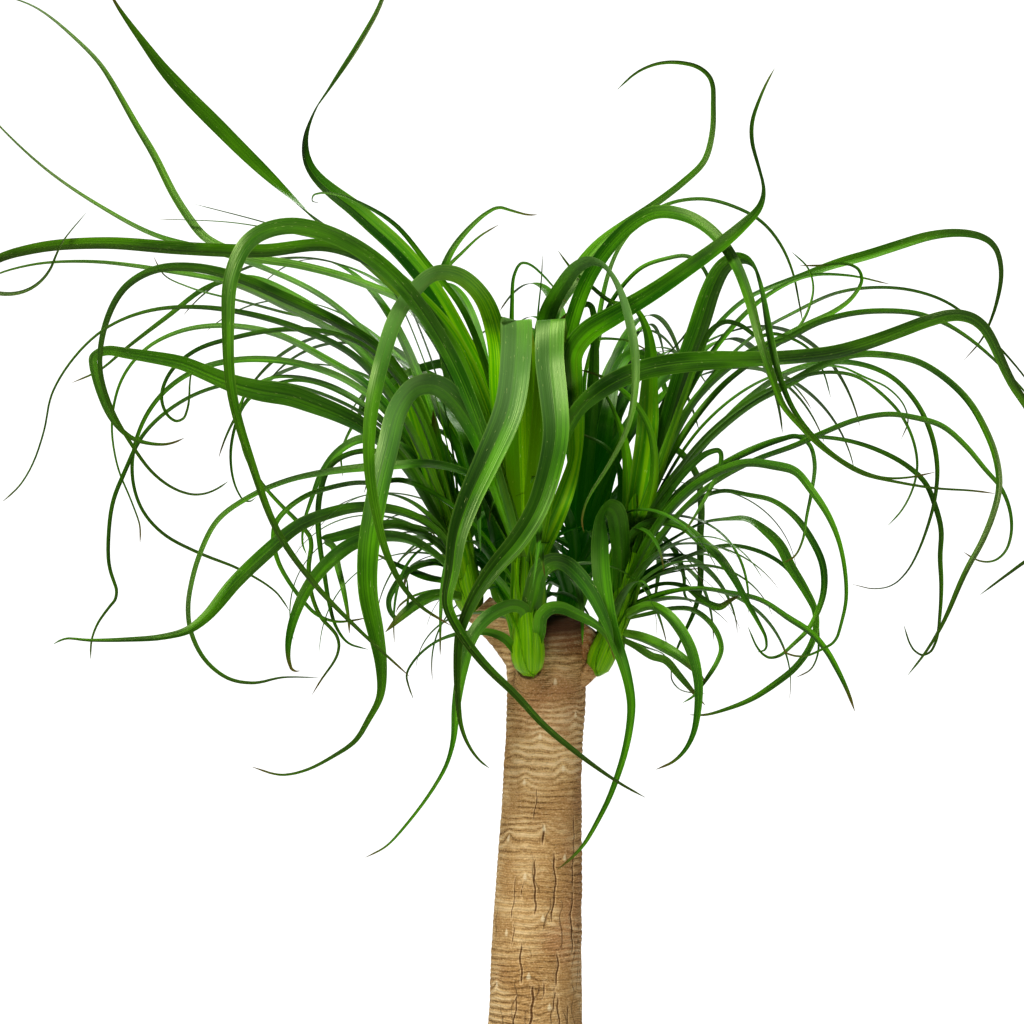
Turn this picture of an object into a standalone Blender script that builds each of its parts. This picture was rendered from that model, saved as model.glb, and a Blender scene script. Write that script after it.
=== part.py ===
# Potted ponytail palm: a cut, ringed trunk with five leafy heads, its soil and a plain tapered pot.
# Metres, +Z up, origin at the centre of the pot's flat base, front towards -Y.
# The leaf tables are in centimetres, as seen in a level front view from VIEW_FROM.

import math
import random

import bmesh
import bpy
import numpy as np
from mathutils import Matrix

CM = 0.01
GAP = 0.0003  # clearance between pieces that touch
CRUMB = 1e-8  # cubic metres
WELD = 1e-6  # metres: corners closer than this become one
SEED = 23

# Pot
POT_HEIGHT = 0.210
POT_RIM_RADIUS = 0.121
POT_BASE_RADIUS = 0.085
POT_FLOOR = 0.012
POT_BAND = 0.034  # height of the band round the rim
POT_BAND_STEP = 0.005
POT_EDGE = 0.003
POT_FILLET = 0.004
POT_HOLLOW_RIM = 0.112
POT_HOLLOW_FOOT = 0.080
POT_SIDES = 40
DRAIN_HOLES = 4
DRAIN_RADIUS = 0.006
DRAIN_CIRCLE = 0.045
DRAIN_SIDES = 16

# Soil: its height at the pot's wall and against the swollen foot
SOIL_EDGE = 0.183
SOIL_CROWN = 0.187

# Trunk, in centimetres: height, centre to the right, radius
TRUNK_STATIONS = (
    (14.5, 0.0, 5.2), (15.3, 0.0, 6.6), (16.8, 0.0, 7.6), (18.7, 0.0, 8.0), (20.5, 0.0, 7.7),
    (23.0, 0.05, 6.6), (26.0, 0.15, 5.2), (29.5, 0.3, 4.2), (34.0, 0.45, 3.6), (39.0, 0.6, 3.42),
    (44.0, 0.75, 3.26), (48.0, 0.9, 3.12), (52.0, 1.12, 2.97), (56.0, 1.25, 2.9), (60.0, 1.36, 2.96),
    (63.0, 1.38, 3.0), (65.4, 1.5, 2.7),
)
BURIED_STATIONS = 4  # how many of them are in the soil, where the foot is plain and round
TRUNK_SIDES = 20
RING_STEP = 1.10
RING_RELIEF = 0.045

# Woody necks and shoulders, in centimetres: x, y, z, radius along each
NECKS = (
    ((0.4, 0.1, 61.6, 1.7), (-1.9, 0.15, 64.1, 1.3), (-3.7, 0.2, 65.9, 1.2)),
    ((0.9, 1.0, 61.6, 1.6), (-0.2, 2.9, 63.6, 1.4), (-0.9, 3.8, 65.0, 1.25)),
    ((1.9, 1.0, 61.6, 1.6), (2.6, 2.9, 63.6, 1.4), (2.95, 3.8, 65.0, 1.25)),
    ((3.0, -0.1, 61.8, 1.5), (4.1, -0.2, 63.4, 1.3), (4.7, -0.3, 64.4, 0.75)),
    ((3.2, -0.4, 59.8, 1.1), (4.4, -0.6, 60.9, 1.05), (5.3, -0.7, 61.5, 0.7)),
    ((0.6, -1.0, 59.8, 1.5), (0.2, -2.3, 60.8, 1.3), (0.1, -3.1, 61.4, 0.9)),
)
NECK_SIDES = 8

# Green cores that the leaves grow from, in centimetres: x, y, z, radius
CORES = {
    "leaf_head_front": (
        (0.1, -3.35, 60.95, 0.45), (0.1, -3.4, 61.4, 0.95), (0.05, -3.5, 62.3, 1.25), (0.0, -3.6, 64.0, 1.15),
        (-0.15, -3.6, 66.0, 1.0), (-0.2, -3.5, 69.0, 0.9), (-0.1, -3.4, 73.0, 0.75), (0.0, -3.3, 77.0, 0.4),
    ),
    "leaf_head_right": (
        (5.0, -0.7, 60.95, 0.4), (5.2, -0.75, 61.4, 0.85), (5.5, -0.8, 62.2, 1.05), (6.1, -0.8, 63.6, 0.95),
        (6.9, -0.7, 66.0, 0.95), (7.4, -0.5, 69.4, 0.95), (8.2, -0.3, 73.5, 0.8), (9.0, -0.1, 77.5, 0.4),
    ),
    "leaf_head_left": (
        (-3.8, 0.2, 65.5, 0.5), (-4.15, 0.2, 66.1, 0.95), (-4.5, 0.2, 67.2, 1.15), (-4.9, 0.25, 69.4, 1.0),
        (-5.7, 0.4, 72.5, 0.85), (-6.7, 0.6, 75.5, 0.4),
    ),
    "leaf_head_back_left": (
        (-0.85, 3.8, 64.8, 0.5), (-1.15, 4.1, 65.8, 1.0), (-2.2, 4.9, 69.0, 1.0), (-3.4, 5.8, 73.0, 0.8),
        (-4.4, 6.6, 76.5, 0.4),
    ),
    "leaf_head_back_right": (
        (2.95, 3.8, 64.8, 0.5), (3.2, 4.1, 65.8, 1.0), (4.0, 4.8, 69.0, 1.0), (4.8, 5.6, 73.0, 0.8),
        (5.4, 6.4, 76.5, 0.4),
    ),
}
CORE_SIDES = 7

# Leaves
VIEW_FROM = (-1.2, -400.0, 73.0)  # the eye that the leaf routes are drawn for, in centimetres
LEAF_SAMPLES = 72
BLADE_THICKNESS = 0.11
BLADE_CHANNEL = 0.10  # depth of the fold along a blade, as a share of its width
WIDE_BLADE = 1.5  # blades at least this wide get a midline on both faces
TURN_PER_STATION = 31.0
LENGTH_PER_STATION = 11.0
ROOT_ZONE = 9.0  # leaves of one head may merge this near their roots
LEAF_CLEARANCE = 0.16
CLEARING_ROUNDS = 160
TRUNK_CLEARANCE = 0.25

# One leaf to an entry: true widths, depths (y) and turns of the blade, each evenly spaced from root
# to tip, then its route (x, z) across the front view. A turn of 0 faces the front.
LEAVES = {
    "leaf_head_front": (
        ((1.3, 1.8, 2.0, 2.0, 2.0, 1.9, 1.7, 1.4, 1.2, 1.2, 1.2, 1.05, 0.55, 0.12),
         (-3.5, -4.5, -7, -9.5, -11), (-65, -45, -30, -30, -30, -85, -150, -160, -155, -150),
         ((-0.2, 67.5), (-1.2, 72.5), (-2.4, 77.5), (-3.9, 82), (-6, 86.3), (-10, 90.5), (-13.8, 93.4),
          (-15.2, 94.5), (-17.1, 96.2), (-19.3, 98.2), (-21.4, 100.2), (-23.4, 102.2), (-25.5, 104.3),
          (-27.4, 106.4), (-28.9, 108.4), (-30, 109.9), (-31, 111.4), (-31.6, 112.6))),
        ((1.2, 1.5, 1.6, 1.5, 1.4, 1.0, 0.7, 0.15), (-3.2, -2, -1, 1, 3, 5),
         (-140, -150, -160, -165, -165, -165, -150, -95, -50, -40, -30),
         ((-0.2, 68.5), (-1.2, 74), (-2.2, 79), (-3.4, 82.8), (-5, 86), (-7.3, 90), (-9.6, 92.8), (-12, 95),
          (-13, 95.9), (-14.6, 97.1), (-15.8, 98.2), (-16.5, 99.3), (-16.7, 101), (-16.2, 102.7),
          (-15, 104.7), (-12.6, 108.4), (-11, 111.4), (-10.5, 113.4), (-10.9, 115.3))),
        ((0.7, 0.7, 0.7, 0.6, 0.4, 0.12), (-3.3, -3, -4, -5), (-120, -140, -150),
         ((-0.2, 69), (-1.5, 77), (-3, 83.5), (-5, 88.5), (-7.5, 91.7), (-10, 94.7), (-12.2, 96.1),
          (-14.2, 96.9), (-15.8, 97), (-16.4, 96.6), (-15.7, 96.3))),
        ((0.8, 0.9, 0.8, 0.7, 0.7, 0.6, 0.4, 0.12), (-3.3, -1, 4, 9, 14), (-130, -150, -160, -120),
         ((-0.2, 70), (-2.4, 78), (-5, 85), (-8, 88.2), (-13, 90.5), (-17, 91.6), (-21, 92.3),
          (-24.2, 93.7), (-25.6, 95.4), (-26.6, 97), (-28.1, 100), (-29.3, 102), (-31, 105), (-32, 106.6),
          (-33.6, 108.3), (-37.2, 111.1), (-39.4, 111.7), (-41, 111.2))),
        ((1.0, 1.2, 1.3, 1.2, 1.1, 1.0, 0.8, 0.4, 0.12), (-3.6, -6, -12, -17, -20, -19),
         (-60, -40, -30, -20, -60),
         ((-0.2, 69.3), (-3, 79), (-6, 86), (-9, 89.6), (-11.5, 91.8), (-15, 93.1), (-20, 92.7), (-26, 92.9),
          (-32, 93.3), (-37, 92.9), (-40.3, 91.8), (-41.4, 90.5), (-40.2, 89.6), (-37.6, 89.7), (-36, 91),
          (-35, 93.2), (-33.1, 95.6))),
        ((1.1, 1.3, 1.3, 1.2, 1.2, 0.9, 0.6, 0.4, 0.12), (-3.6, -6, -13, -18, -20, -20, -19),
         (-60, -30, 10, 30, 20, 0),
         ((-0.2, 69), (-3, 78), (-6.5, 86), (-10.5, 91.2), (-14.5, 93.8), (-18, 94.6), (-20.8, 93.6),
          (-22.2, 91), (-22.5, 87), (-22.2, 82), (-20.7, 76.7), (-18.7, 71.5), (-16, 67.7), (-12.6, 64.2),
          (-8.9, 60.8))),
        ((1.3, 1.9, 1.8, 1.3, 1.2, 1.1, 0.8, 0.5, 0.12), (-3.6, -4.2, -6.5, -11, -14, -15, -15),
         (-30, -15, 0, 10, 0),
         ((-0.2, 70), (-1.4, 76), (-2, 82), (-2.3, 86), (-3.4, 89.2), (-5.3, 90.9), (-7, 91), (-8.3, 90),
          (-9.8, 88), (-11, 84.3), (-11.8, 80.3), (-11.9, 76.4), (-11.4, 73.1), (-10.6, 70), (-9.3, 67.4),
          (-8, 66), (-5.8, 64.6))),
        ((1.3, 1.6, 1.7, 1.6, 1.6, 1.6, 1.3, 0.5, 0.25, 0.12),
         (-3.5, -4.5, -6.5, -9.5, -11, -11, -10.5, -10), (-40, -20, 0, 10, -10, 0, 0),
         ((-0.2, 69), (-2, 74.5), (-3.8, 79), (-5.5, 81.6), (-7, 82.7), (-8.5, 82.5), (-9.7, 81),
          (-10.5, 78), (-11.3, 74.5), (-12, 70), (-12, 67), (-11.4, 64), (-11, 61.5), (-11.1, 59.2),
          (-12, 57.5), (-12.9, 56), (-14.6, 54.8), (-16.8, 53.7), (-18.6, 53.4), (-20.7, 54))),
        ((0.9, 1.0, 0.9, 0.8, 0.5, 0.45, 0.4, 0.35, 0.28, 0.12), (-3.4, -3, -4, -5, -8, -10),
         (-100, -140, -150, -170, -120),
         ((-0.2, 68.5), (-2.2, 72.5), (-4.2, 75.8), (-7, 76.7), (-10.2, 76.6), (-14.6, 76.2), (-18, 75.5),
          (-21, 74.2), (-23.3, 72.5), (-24.6, 70), (-25.2, 68), (-25.5, 66), (-25.3, 64.2), (-24.2, 62),
          (-22.4, 60.6), (-20.5, 60.3), (-18.5, 60.7), (-15.7, 60.7))),
        ((1.2, 2.0, 2.3, 2.3, 2.2, 1.7, 0.75, 0.6, 0.45, 0.12),
         (-3.6, -3.7, -3.9, -4.5, -6.6, -8.2, -10, -11.5, -12.5, -13.2, -13.7, -14, -14.2),
         (0, 0, 0, 0, 10, 20, 20),
         ((-0.2, 68), (-0.6, 76), (-0.8, 83), (-0.9, 87.2), (-0.85, 87.7), (-0.9, 85), (-1.4, 81),
          (-3, 77.1), (-4.3, 74.3), (-5.3, 71.4), (-5.7, 68.5), (-6.1, 66.3), (-5.5, 64.8), (-4.4, 63.1),
          (-2.9, 61.3), (-1, 59.5), (1.1, 57.2), (3.1, 55.5), (5, 54.05), (7, 52.7), (8.8, 51.7))),
        ((1.2, 2.0, 2.2, 2.2, 2.1, 1.8, 1.5, 0.8, 0.45, 0.12),
         (-3.6, -3.65, -3.8, -4.4, -6.2, -7.6, -9, -10.2, -11, -11.4, -11.6, -11.8),
         (0, 0, 0, 0, 0, 10, 10),
         ((-0.2, 68), (0.9, 76), (1.6, 83), (1.8, 87.2), (1.75, 87.6), (1.6, 84.8), (1.9, 81.9),
          (2.1, 79.1), (1.6, 76.2), (0.65, 73.3), (-0.9, 70.8), (-2.4, 69.1), (-3.75, 67.2), (-4.6, 65.5),
          (-5.1, 64.1), (-5.3, 62), (-5.25, 59), (-5, 57), (-4.45, 55.6), (-3.65, 54.5), (-2.9, 53.9))),
        ((0.5, 0.6, 0.55, 0.5, 0.35, 0.2, 0.1), (-3.3, -2.6, -2.4, -3.5, -5), (170, 160),
         ((-0.2, 70), (-0.9, 78), (-1.2, 85), (-1.2, 88.5), (-1, 91), (-0.5, 91.8), (0.1, 91.7), (1, 91),
          (2, 89.9), (3, 88.7))),
        ((0.35, 0.35, 0.3, 0.12), (-3.3, -2.2, -2), (150, 120),
         ((-0.2, 70), (0.4, 78), (0.6, 85), (0.75, 88), (1, 90.5), (1.1, 92.4))),
        ((1.2, 1.9, 1.9, 1.4, 0.4), (-3.4, -3.5, -3.3, -3), (0, 5),
         ((-0.2, 67), (-0.1, 72.4), (0.2, 76.2), (0.3, 80), (0.2, 83.6), (0.3, 86.6))),
        ((1.2, 1.6, 1.7, 1.7, 1.6, 1.5, 1.3, 1.0, 0.6, 0.12), (-3.6, -4.4, -5.6, -8, -10.5, -12, -12),
         (20, 25, 62, 30, -20, -35, -35, -40, -85, -50, -40),
         ((-0.1, 67.5), (1.3, 71), (2.6, 74), (3.5, 77), (3.6, 79.5), (3.3, 83), (3.3, 85), (4.3, 86.5),
          (6.7, 88), (9.2, 89.5), (11.7, 91.2), (14.2, 93), (16.2, 94.7), (17.4, 96), (17.7, 97.2),
          (17.3, 99), (16.8, 100.9), (16.8, 102.3), (17.45, 104.3), (18, 105.5), (18.5, 106.4))),
        ((1.1, 1.4, 1.6, 1.6, 1.5, 1.3, 0.6, 0.5, 0.4, 0.3, 0.12), (-3.2, -2.4, -2, -1, 1, 2),
         (150, 160, 165, 170),
         ((-0.1, 68), (0.6, 76), (1.1, 84), (1.8, 88.3), (3.4, 90.6), (5.4, 93.1), (7.9, 95.1), (9.9, 96.5),
          (11.7, 97.9), (13.2, 99.4), (13.8, 101.4), (13.9, 103.4), (13.7, 105.6), (12.9, 106.4),
          (11.5, 106.8), (9.8, 106.75), (8.2, 106.1), (6.7, 104.8))),
        ((1.2, 1.6, 1.9, 1.9, 1.4, 1.1, 0.9, 0.7, 0.45, 0.3, 0.12), (-3.5, -3.2, -2.9, -2.8, -2.9, -4, -8, -11.5, -14, -16, -17, -17.4, -17.5),
         (0, 0, 10, 10, 20, 30),
         ((-0.1, 68.5), (0.5, 76), (0.9, 83), (1.5, 88), (2.6, 90.1), (3.7, 91.5), (4.7, 91.95),
          (5.6, 91.7), (6.4, 90.7), (7.1, 89.2), (7.7, 87), (8.05, 84.8), (8.05, 82.6), (7.8, 80.7),
          (7.3, 79), (6.5, 77.4), (5.6, 75.9), (4.7, 74.5), (4.15, 73.2), (4.05, 72.2), (4.2, 71.6))),
        ((0.9, 1.0, 1.0, 0.9, 0.65, 0.32, 0.25, 0.2, 0.1), (-3.6, -5.4, -6.8, -7.8, -8.2, -8.2), (0, 10, 0),
         ((0, 62.5), (-0.2, 64.3), (-0.2, 65.7), (-0.9, 66.1), (-2.1, 65.8), (-3.2, 65.1), (-4.2, 63.8),
          (-4.9, 61.5), (-5.4, 58.5), (-5.6, 56), (-6.1, 54.2), (-7.1, 52.4), (-9.1, 49.7), (-10.7, 48),
          (-12.2, 47.2))),
        ((0.9, 1.0, 1.0, 0.9, 0.7, 0.4, 0.12), (-3.6, -5.2, -5.8, -6.1, -6.2), (0, 10, 10),
         ((0.1, 62.3), (0.8, 64), (1.0, 65.3), (1.7, 65.9), (2.6, 65.9), (3.5, 65.5), (4.7, 64.9),
          (5.5, 64.3), (6.2, 63.2), (6.5, 62))),
        ((0.6, 0.7, 0.4, 0.2, 0.18, 0.1), (-3.6, -4.9, -5.8, -6.2), (10, 20, 10),
         ((0, 61.9), (-1, 62.8), (-1.7, 63.6), (-2.9, 64.1), (-4.3, 64.05), (-5.6, 63.9), (-7.2, 63.2),
          (-8.6, 61.9), (-9.1, 60.9), (-8.9, 59.9), (-8.6, 59.1))),
        ((1.3, 1.5, 1.5, 1.3, 1.1, 0.8, 0.3), (-3.6, -4.8, -6, -6.8, -6.6, -6.2), (0, 20, 20, 10, 0),
         ((0, 64.5), (0.4, 67), (0.9, 68.7), (1.8, 69.4), (2.7, 69.3), (3.8, 68.4), (4.8, 67), (5.5, 65.6),
          (6.1, 64.2), (6.4, 63.2))),
        ((0.7, 0.7, 0.7, 0.7, 0.5, 0.5, 0.5, 0.4, 0.3, 0.1), (-3.3, -2.6, -3, -3, -2), (-100, -140, -160),
         ((-0.2, 66.5), (-1.6, 68.8), (-3, 71), (-5.2, 73.2), (-7.6, 74.8), (-9.5, 75.5), (-11.5, 75.3),
          (-13, 75.3), (-15, 74.9), (-16.5, 74.4), (-18, 73.4), (-18.9, 72.3), (-19.1, 71), (-18.7, 69.3),
          (-18, 68), (-17, 66.6), (-15.8, 65.4), (-14.4, 64.9), (-13, 65), (-12, 65.2))),
        ((1.1, 1.3, 1.5, 1.7, 1.6, 1.4, 1.0, 0.85, 0.7, 0.6, 0.4, 0.12),
         (-3.5, -4.6, -6.8, -9, -11, -12, -11, -9), (30, 50, 40, 15, 55, 30, -5, -15, -20, -20, -20),
         ((-0.1, 67.5), (1, 72), (2, 76.8), (3.6, 80.6), (5.6, 82.4), (8, 83.6), (10.6, 84.2), (14, 84.5),
          (17.5, 84.6), (20.5, 84.8), (23, 85.1), (25.5, 85.8), (28, 86.7), (30.5, 87.6), (32.4, 87.9),
          (33.9, 87.3), (34.8, 86), (35.6, 84.2), (36.4, 82.6), (37.6, 80.8), (38.9, 78), (39.6, 75),
          (39.2, 72), (38.3, 70.2), (37, 69.2), (35.5, 68.1), (33.9, 66.9))),
        ((1.0, 1.2, 1.3, 1.3, 1.1, 0.9, 0.75, 0.5, 0.28, 0.2, 0.12), (-3.3, -2.6, -3.5, -9, -15.5, -16, -15),
         (140, 150, 165, 190, 180),
         ((-0.1, 69), (1.5, 78), (2.8, 85.5), (4.6, 90.8), (7, 94), (9.4, 95.6), (11.3, 95.5), (12.8, 94.9),
          (14.3, 93.7), (15.6, 91.8), (16.5, 89.4), (17.4, 86), (18.2, 83.6), (19.2, 81), (20.4, 79.6),
          (21.4, 78.5), (23, 77.2), (25, 76), (27.5, 75.4), (30.5, 74.9), (33.5, 74.7), (35, 74.5))),
    ),
    "leaf_head_right": (
        ((0.9, 1.2, 1.5, 1.6, 1.4, 1.3, 1.0, 0.75, 0.6, 0.5, 0.4, 0.3, 0.12),
         (-0.8, -2, -4.8, -6.8, -8, -8.6, -8.6), (20, 0, 0, 0, 15, 20, 10, 0),
         ((6.5, 65), (6.9, 68), (6.9, 71), (6.5, 73.2), (6, 73.6), (5.6, 73), (5.4, 71), (5.45, 69),
          (5.7, 67), (6.1, 65), (6.65, 63.2), (7.2, 61.6), (7.55, 60.2), (7.75, 58.7), (7.6, 56.8),
          (7.2, 54.9), (6.7, 53.3), (6.1, 51.7), (5.2, 49.9), (4.2, 48.2), (3.3, 47.2), (2.2, 46.3))),
        ((0.9, 1.3, 1.6, 1.7, 1.7, 1.3, 0.9, 0.45, 0.3, 0.2, 0.12), (-0.6, -1, -2, -6, -13.5, -15, -14),
         (60, 40, 20, 10, 0, 10),
         ((7.4, 68.5), (8.9, 74), (10.5, 80), (11.7, 84), (12.8, 87), (13.8, 90), (14.7, 91.6),
          (15.8, 92.2), (16.8, 91.8), (17.4, 90.3), (17.8, 88.4), (18.1, 86.6), (18.8, 83.5), (19.9, 80.8),
          (21.6, 78.6), (24, 76.7), (26.5, 75.7), (28.5, 75.7), (30.5, 76.1))),
        ((0.7, 0.7, 0.6, 0.6, 0.45, 0.5, 0.9, 0.8, 0.6, 0.4, 0.12), (-0.5, 2, 7, 11, 14, 15),
         (110, 130, 150, 165, 120),
         ((7.4, 69), (9, 76), (11, 82), (13.5, 86.3), (16.2, 89), (18.5, 90.1), (20.5, 90.8), (23, 91.7),
          (25.5, 92.4), (28, 93.2), (30, 93.8), (32.2, 94.05), (33.9, 93.8), (34.9, 93.2), (35.4, 92),
          (35.5, 90.8), (35.2, 89), (34.8, 87.7), (34, 86), (32.7, 84.5))),
        ((0.4, 0.4, 0.35, 0.35, 0.3, 0.12), (-0.5, 4, 10, 16, 20), (120, 140, 150),
         ((7.4, 69), (10, 77), (13.5, 83), (17, 86.4), (20, 88.1), (23, 89.5), (26, 89.95), (29, 89.7),
          (31.5, 88.8), (33.5, 87.3), (35.5, 85.3), (37.2, 83.3), (38.8, 81))),
        ((0.7, 0.8, 0.7, 0.7, 0.6, 0.5, 0.3, 0.12), (-0.6, -2, -4, -6, -7, -7), (70, 50, 40, 50),
         ((7.4, 69), (10, 76.5), (13, 82), (16.5, 85), (19.2, 86), (21.7, 87.3), (24.2, 88), (26.7, 88.2),
          (29.2, 88), (31.2, 87.3), (33, 86.2), (34.8, 84.7), (36, 83.5), (37.7, 81.6), (38.8, 80))),
        ((0.9, 1.0, 0.9, 0.8, 0.6, 0.3, 0.12), (-0.5, 1, 3, 4, 4), (110, 130, 150, 160),
         ((7.4, 69), (9.5, 76), (12.5, 81.5), (16, 84.7), (18.7, 86), (21, 87.2), (23.2, 88.3),
          (24.4, 89.3), (25.05, 90.6), (24.7, 91.4), (23.6, 91.75), (22, 91.6), (20.4, 91.6))),
        ((0.8, 0.9, 0.8, 0.7, 0.6, 0.6, 0.5, 0.4, 0.12), (-0.6, -3, -6, -8, -13, -18, -20, -19),
         (60, 40, 30, 20, 30),
         ((7.2, 68.5), (10, 74.5), (14, 79), (17, 81.4), (19.3, 82.6), (21.8, 84), (24.3, 84.9),
          (26.8, 84.9), (29.2, 84.4), (31.1, 83.3), (33, 81.5), (34.2, 79.5), (35.1, 77.2), (35.35, 75),
          (34.9, 73), (34, 70.8), (33, 69), (32.3, 67.5), (31.6, 65.8), (30.7, 64), (29.6, 62.3),
          (28.5, 60.9))),
        ((0.7, 0.8, 0.7, 0.6, 0.5, 0.5, 0.3, 0.12), (-0.4, 3, 8, 12, 14), (120, 140, 150, 120),
         ((7.2, 68.5), (10, 74), (13.5, 78.5), (16.5, 81.6), (19.5, 83.6), (22.5, 84.35), (25, 84.2),
          (27.2, 83.3), (29, 81.5), (30.2, 79.1), (30.7, 76.5), (30.5, 74), (30, 72.1), (29.2, 70),
          (28.4, 68.6), (27.3, 67.6), (25.9, 67.35), (24.3, 67.7))),
        ((0.7, 0.7, 0.6, 0.5, 0.4, 0.45, 0.5, 0.4, 0.25, 0.12), (-0.4, 4, 10, 15, 18, 18),
         (120, 130, 150, 170, 150),
         ((7.2, 67.5), (9.5, 72.5), (12, 75.3), (14.3, 76.6), (16.8, 77.9), (19.3, 78.7), (21.8, 78.75),
          (24.3, 78.4), (26.6, 77.6), (28.4, 76.6), (29.8, 75.3), (30.5, 73.7), (31, 71.7), (30.9, 69.8),
          (31, 67.8), (30.9, 65.5), (30.6, 63.4), (30, 62.4), (29.3, 62.4), (28.7, 63.1), (28.2, 64.6))),
        ((0.6, 0.6, 0.5, 0.4, 0.35, 0.25, 0.12), (-0.6, -3, -7, -10, -11), (60, 50, 40, 30),
         ((7.2, 68), (9.5, 73.5), (13, 78.5), (17, 81.7), (20.3, 83.2), (22.5, 83.6), (24.6, 83.3),
          (26.5, 82), (28, 80.4), (28.9, 78.5), (29.2, 76.5), (28.8, 74.7), (28, 73.2), (27, 72.1))),
        ((0.5, 0.5, 0.4, 0.3, 0.25, 0.12), (-0.5, 1, 2, 3, 3), (110, 130, 140),
         ((7.2, 68), (9.5, 74), (13, 79.5), (17, 82.7), (20.5, 83.9), (23.4, 84), (25.3, 83.2), (27, 82.4),
          (28.2, 81.1), (28.5, 79.9), (28, 78.6))),
        ((0.7, 0.7, 0.6, 0.5, 0.5, 0.3, 0.12), (-0.6, -4, -9, -13, -15), (60, 45, 30, 20),
         ((7.2, 67.5), (10, 71.5), (13.5, 75), (17, 77), (20, 78.1), (22, 79), (24.5, 80), (27, 80.45),
          (29, 80.2), (31, 79.6), (32.8, 78.1), (34.3, 76.3), (35.5, 74.9), (36.2, 73), (36.2, 71.2),
          (35.7, 70), (34.8, 69.4), (33.7, 69.5), (32.7, 70.1))),
        ((0.8, 1.0, 1.0, 0.8, 0.8, 0.6, 0.35, 0.28, 0.2, 0.12), (-0.7, -4, -8, -11, -12, -12),
         (60, 40, 20, 10, 10),
         ((7.1, 67), (9.3, 71.5), (11.8, 74.5), (14, 76), (16.3, 76.8), (18.5, 76.6), (20, 76.2),
          (21.3, 74.7), (22.5, 72.9), (23.3, 71), (23.8, 68.5), (23.85, 66.5), (23.5, 64.8), (23, 63.4),
          (22, 62.8), (20.8, 62.3), (19.7, 62.4), (19.2, 62.7), (19.1, 63.1))),
        ((0.7, 0.8, 0.6, 0.5, 0.5, 0.65, 0.6, 0.4, 0.25, 0.12), (-0.6, -1, -3, -5, -6, -6),
         (60, 50, 40, 20, 30),
         ((7.1, 66.5), (9.5, 70.5), (12.3, 73.8), (14.6, 74.7), (16.5, 74.4), (18.3, 74), (20, 72.8),
          (21.3, 71), (22.1, 69.2), (22.2, 67.3), (21.8, 65.8), (21, 64.3), (19.9, 63.2), (18.8, 62.3),
          (18, 62.2), (17.3, 62.8), (16.5, 64.5))),
        ((0.7, 0.8, 0.6, 1.0, 1.2, 0.9, 0.5, 0.5, 0.5, 0.35, 0.12), (-0.6, 1, 2, 1, -1, -2),
         (110, 100, 160, 170, 150),
         ((7.1, 66.8), (9, 69.8), (11.3, 71.4), (13.3, 72.4), (15, 72.6), (16.4, 72.6), (17.7, 71.8),
          (18.9, 70.6), (19.7, 69), (20.7, 67.4), (21.5, 65.8), (21.6, 64.4), (21.1, 62.9), (20, 61.4),
          (18.5, 60.2), (16.8, 59.1), (14.8, 58.3), (13.3, 57.9), (12.1, 57.9))),
        ((0.6, 0.6, 0.6, 0.5, 0.3, 0.12), (-0.4, 2, 5, 6, 6), (110, 130, 140),
         ((7.1, 66.6), (9.5, 68.6), (12, 69.8), (15, 70.6), (17.5, 70.1), (19.3, 69), (20.6, 67.2),
          (21.6, 65.2), (21.8, 63.6), (21.7, 62.3), (21.2, 61.3), (20.1, 60.7))),
        ((0.6, 0.6, 0.5, 0.5, 0.6, 0.5, 0.2), (-0.7, -3, -7, -9, -10), (60, 40, 30),
         ((6.7, 65.2), (8.4, 66.3), (10.5, 67.1), (12.8, 67.4), (15, 67.1), (17.5, 66.5), (19.5, 65.2),
          (21.3, 64), (22.4, 62.7), (23.2, 61.3), (24, 59.6), (24.5, 58.2))),
        ((0.5, 0.6, 0.5, 0.7, 0.6, 0.12), (-0.5, 0.5, 2, 2.5), (110, 130, 180),
         ((7, 66.2), (8.5, 67.2), (10.2, 67.75), (11.8, 67.5), (12.9, 66.7), (13.6, 66.2), (14.4, 66),
          (15.2, 66.5), (16, 66.9))),
        ((0.7, 0.8, 0.8, 0.8, 0.7, 0.5, 0.3, 0.12), (-0.7, -3, -5.5, -7, -7.5), (20, 30, 20, 10),
         ((7.3, 69), (7.6, 71), (8.5, 72), (9.8, 72.4), (11.7, 72), (12.9, 71), (14.2, 69.9), (15.3, 68.4),
          (16.4, 66.4), (17.3, 64.8), (17.85, 63.6), (17.8, 62.8), (17.2, 62.6))),
        ((0.7, 0.8, 0.9, 0.9, 0.7, 0.5, 0.3, 0.12), (-0.8, -3.5, -5, -5.5, -5), (30, 20, 10, 0),
         ((6.6, 64.8), (8.1, 65.8), (9.3, 66.1), (10.4, 65.5), (11.3, 64.5), (12.1, 63.1), (12.6, 61.5),
          (12.8, 60), (12.7, 58), (12.4, 56.5), (11.8, 55.3), (10.9, 54.4), (9.6, 53.8))),
        ((0.5, 0.6, 0.6, 0.5, 0.4, 0.12), (-0.8, -1.5, -2, -2.5, -2.5), (70, 40, 30),
         ((6.7, 65), (9, 65.5), (11, 65.9), (12.3, 65.8), (13.5, 65), (14.3, 63.8), (14.5, 62.8),
          (14.2, 61.9), (13.6, 60.9), (13.1, 60.2), (12.4, 59.3), (11.6, 58.8))),
        ((0.8, 0.9, 0.9, 0.7, 0.2), (-0.8, -1.8, -3.5, -4), (50, 20, 10),
         ((6.3, 64.2), (8.5, 63.75), (10.2, 63), (11.5, 62.2), (12.6, 61.2), (13.3, 60.4))),
        ((0.6, 0.8, 0.7, 0.5, 0.12), (-0.8, -1, -1, -0.5), (60, 30, 20),
         ((6.2, 63.9), (8, 63.1), (9.3, 62.3), (10.3, 62), (11.3, 60.9), (12.4, 59.6), (13.3, 58.6))),
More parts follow.
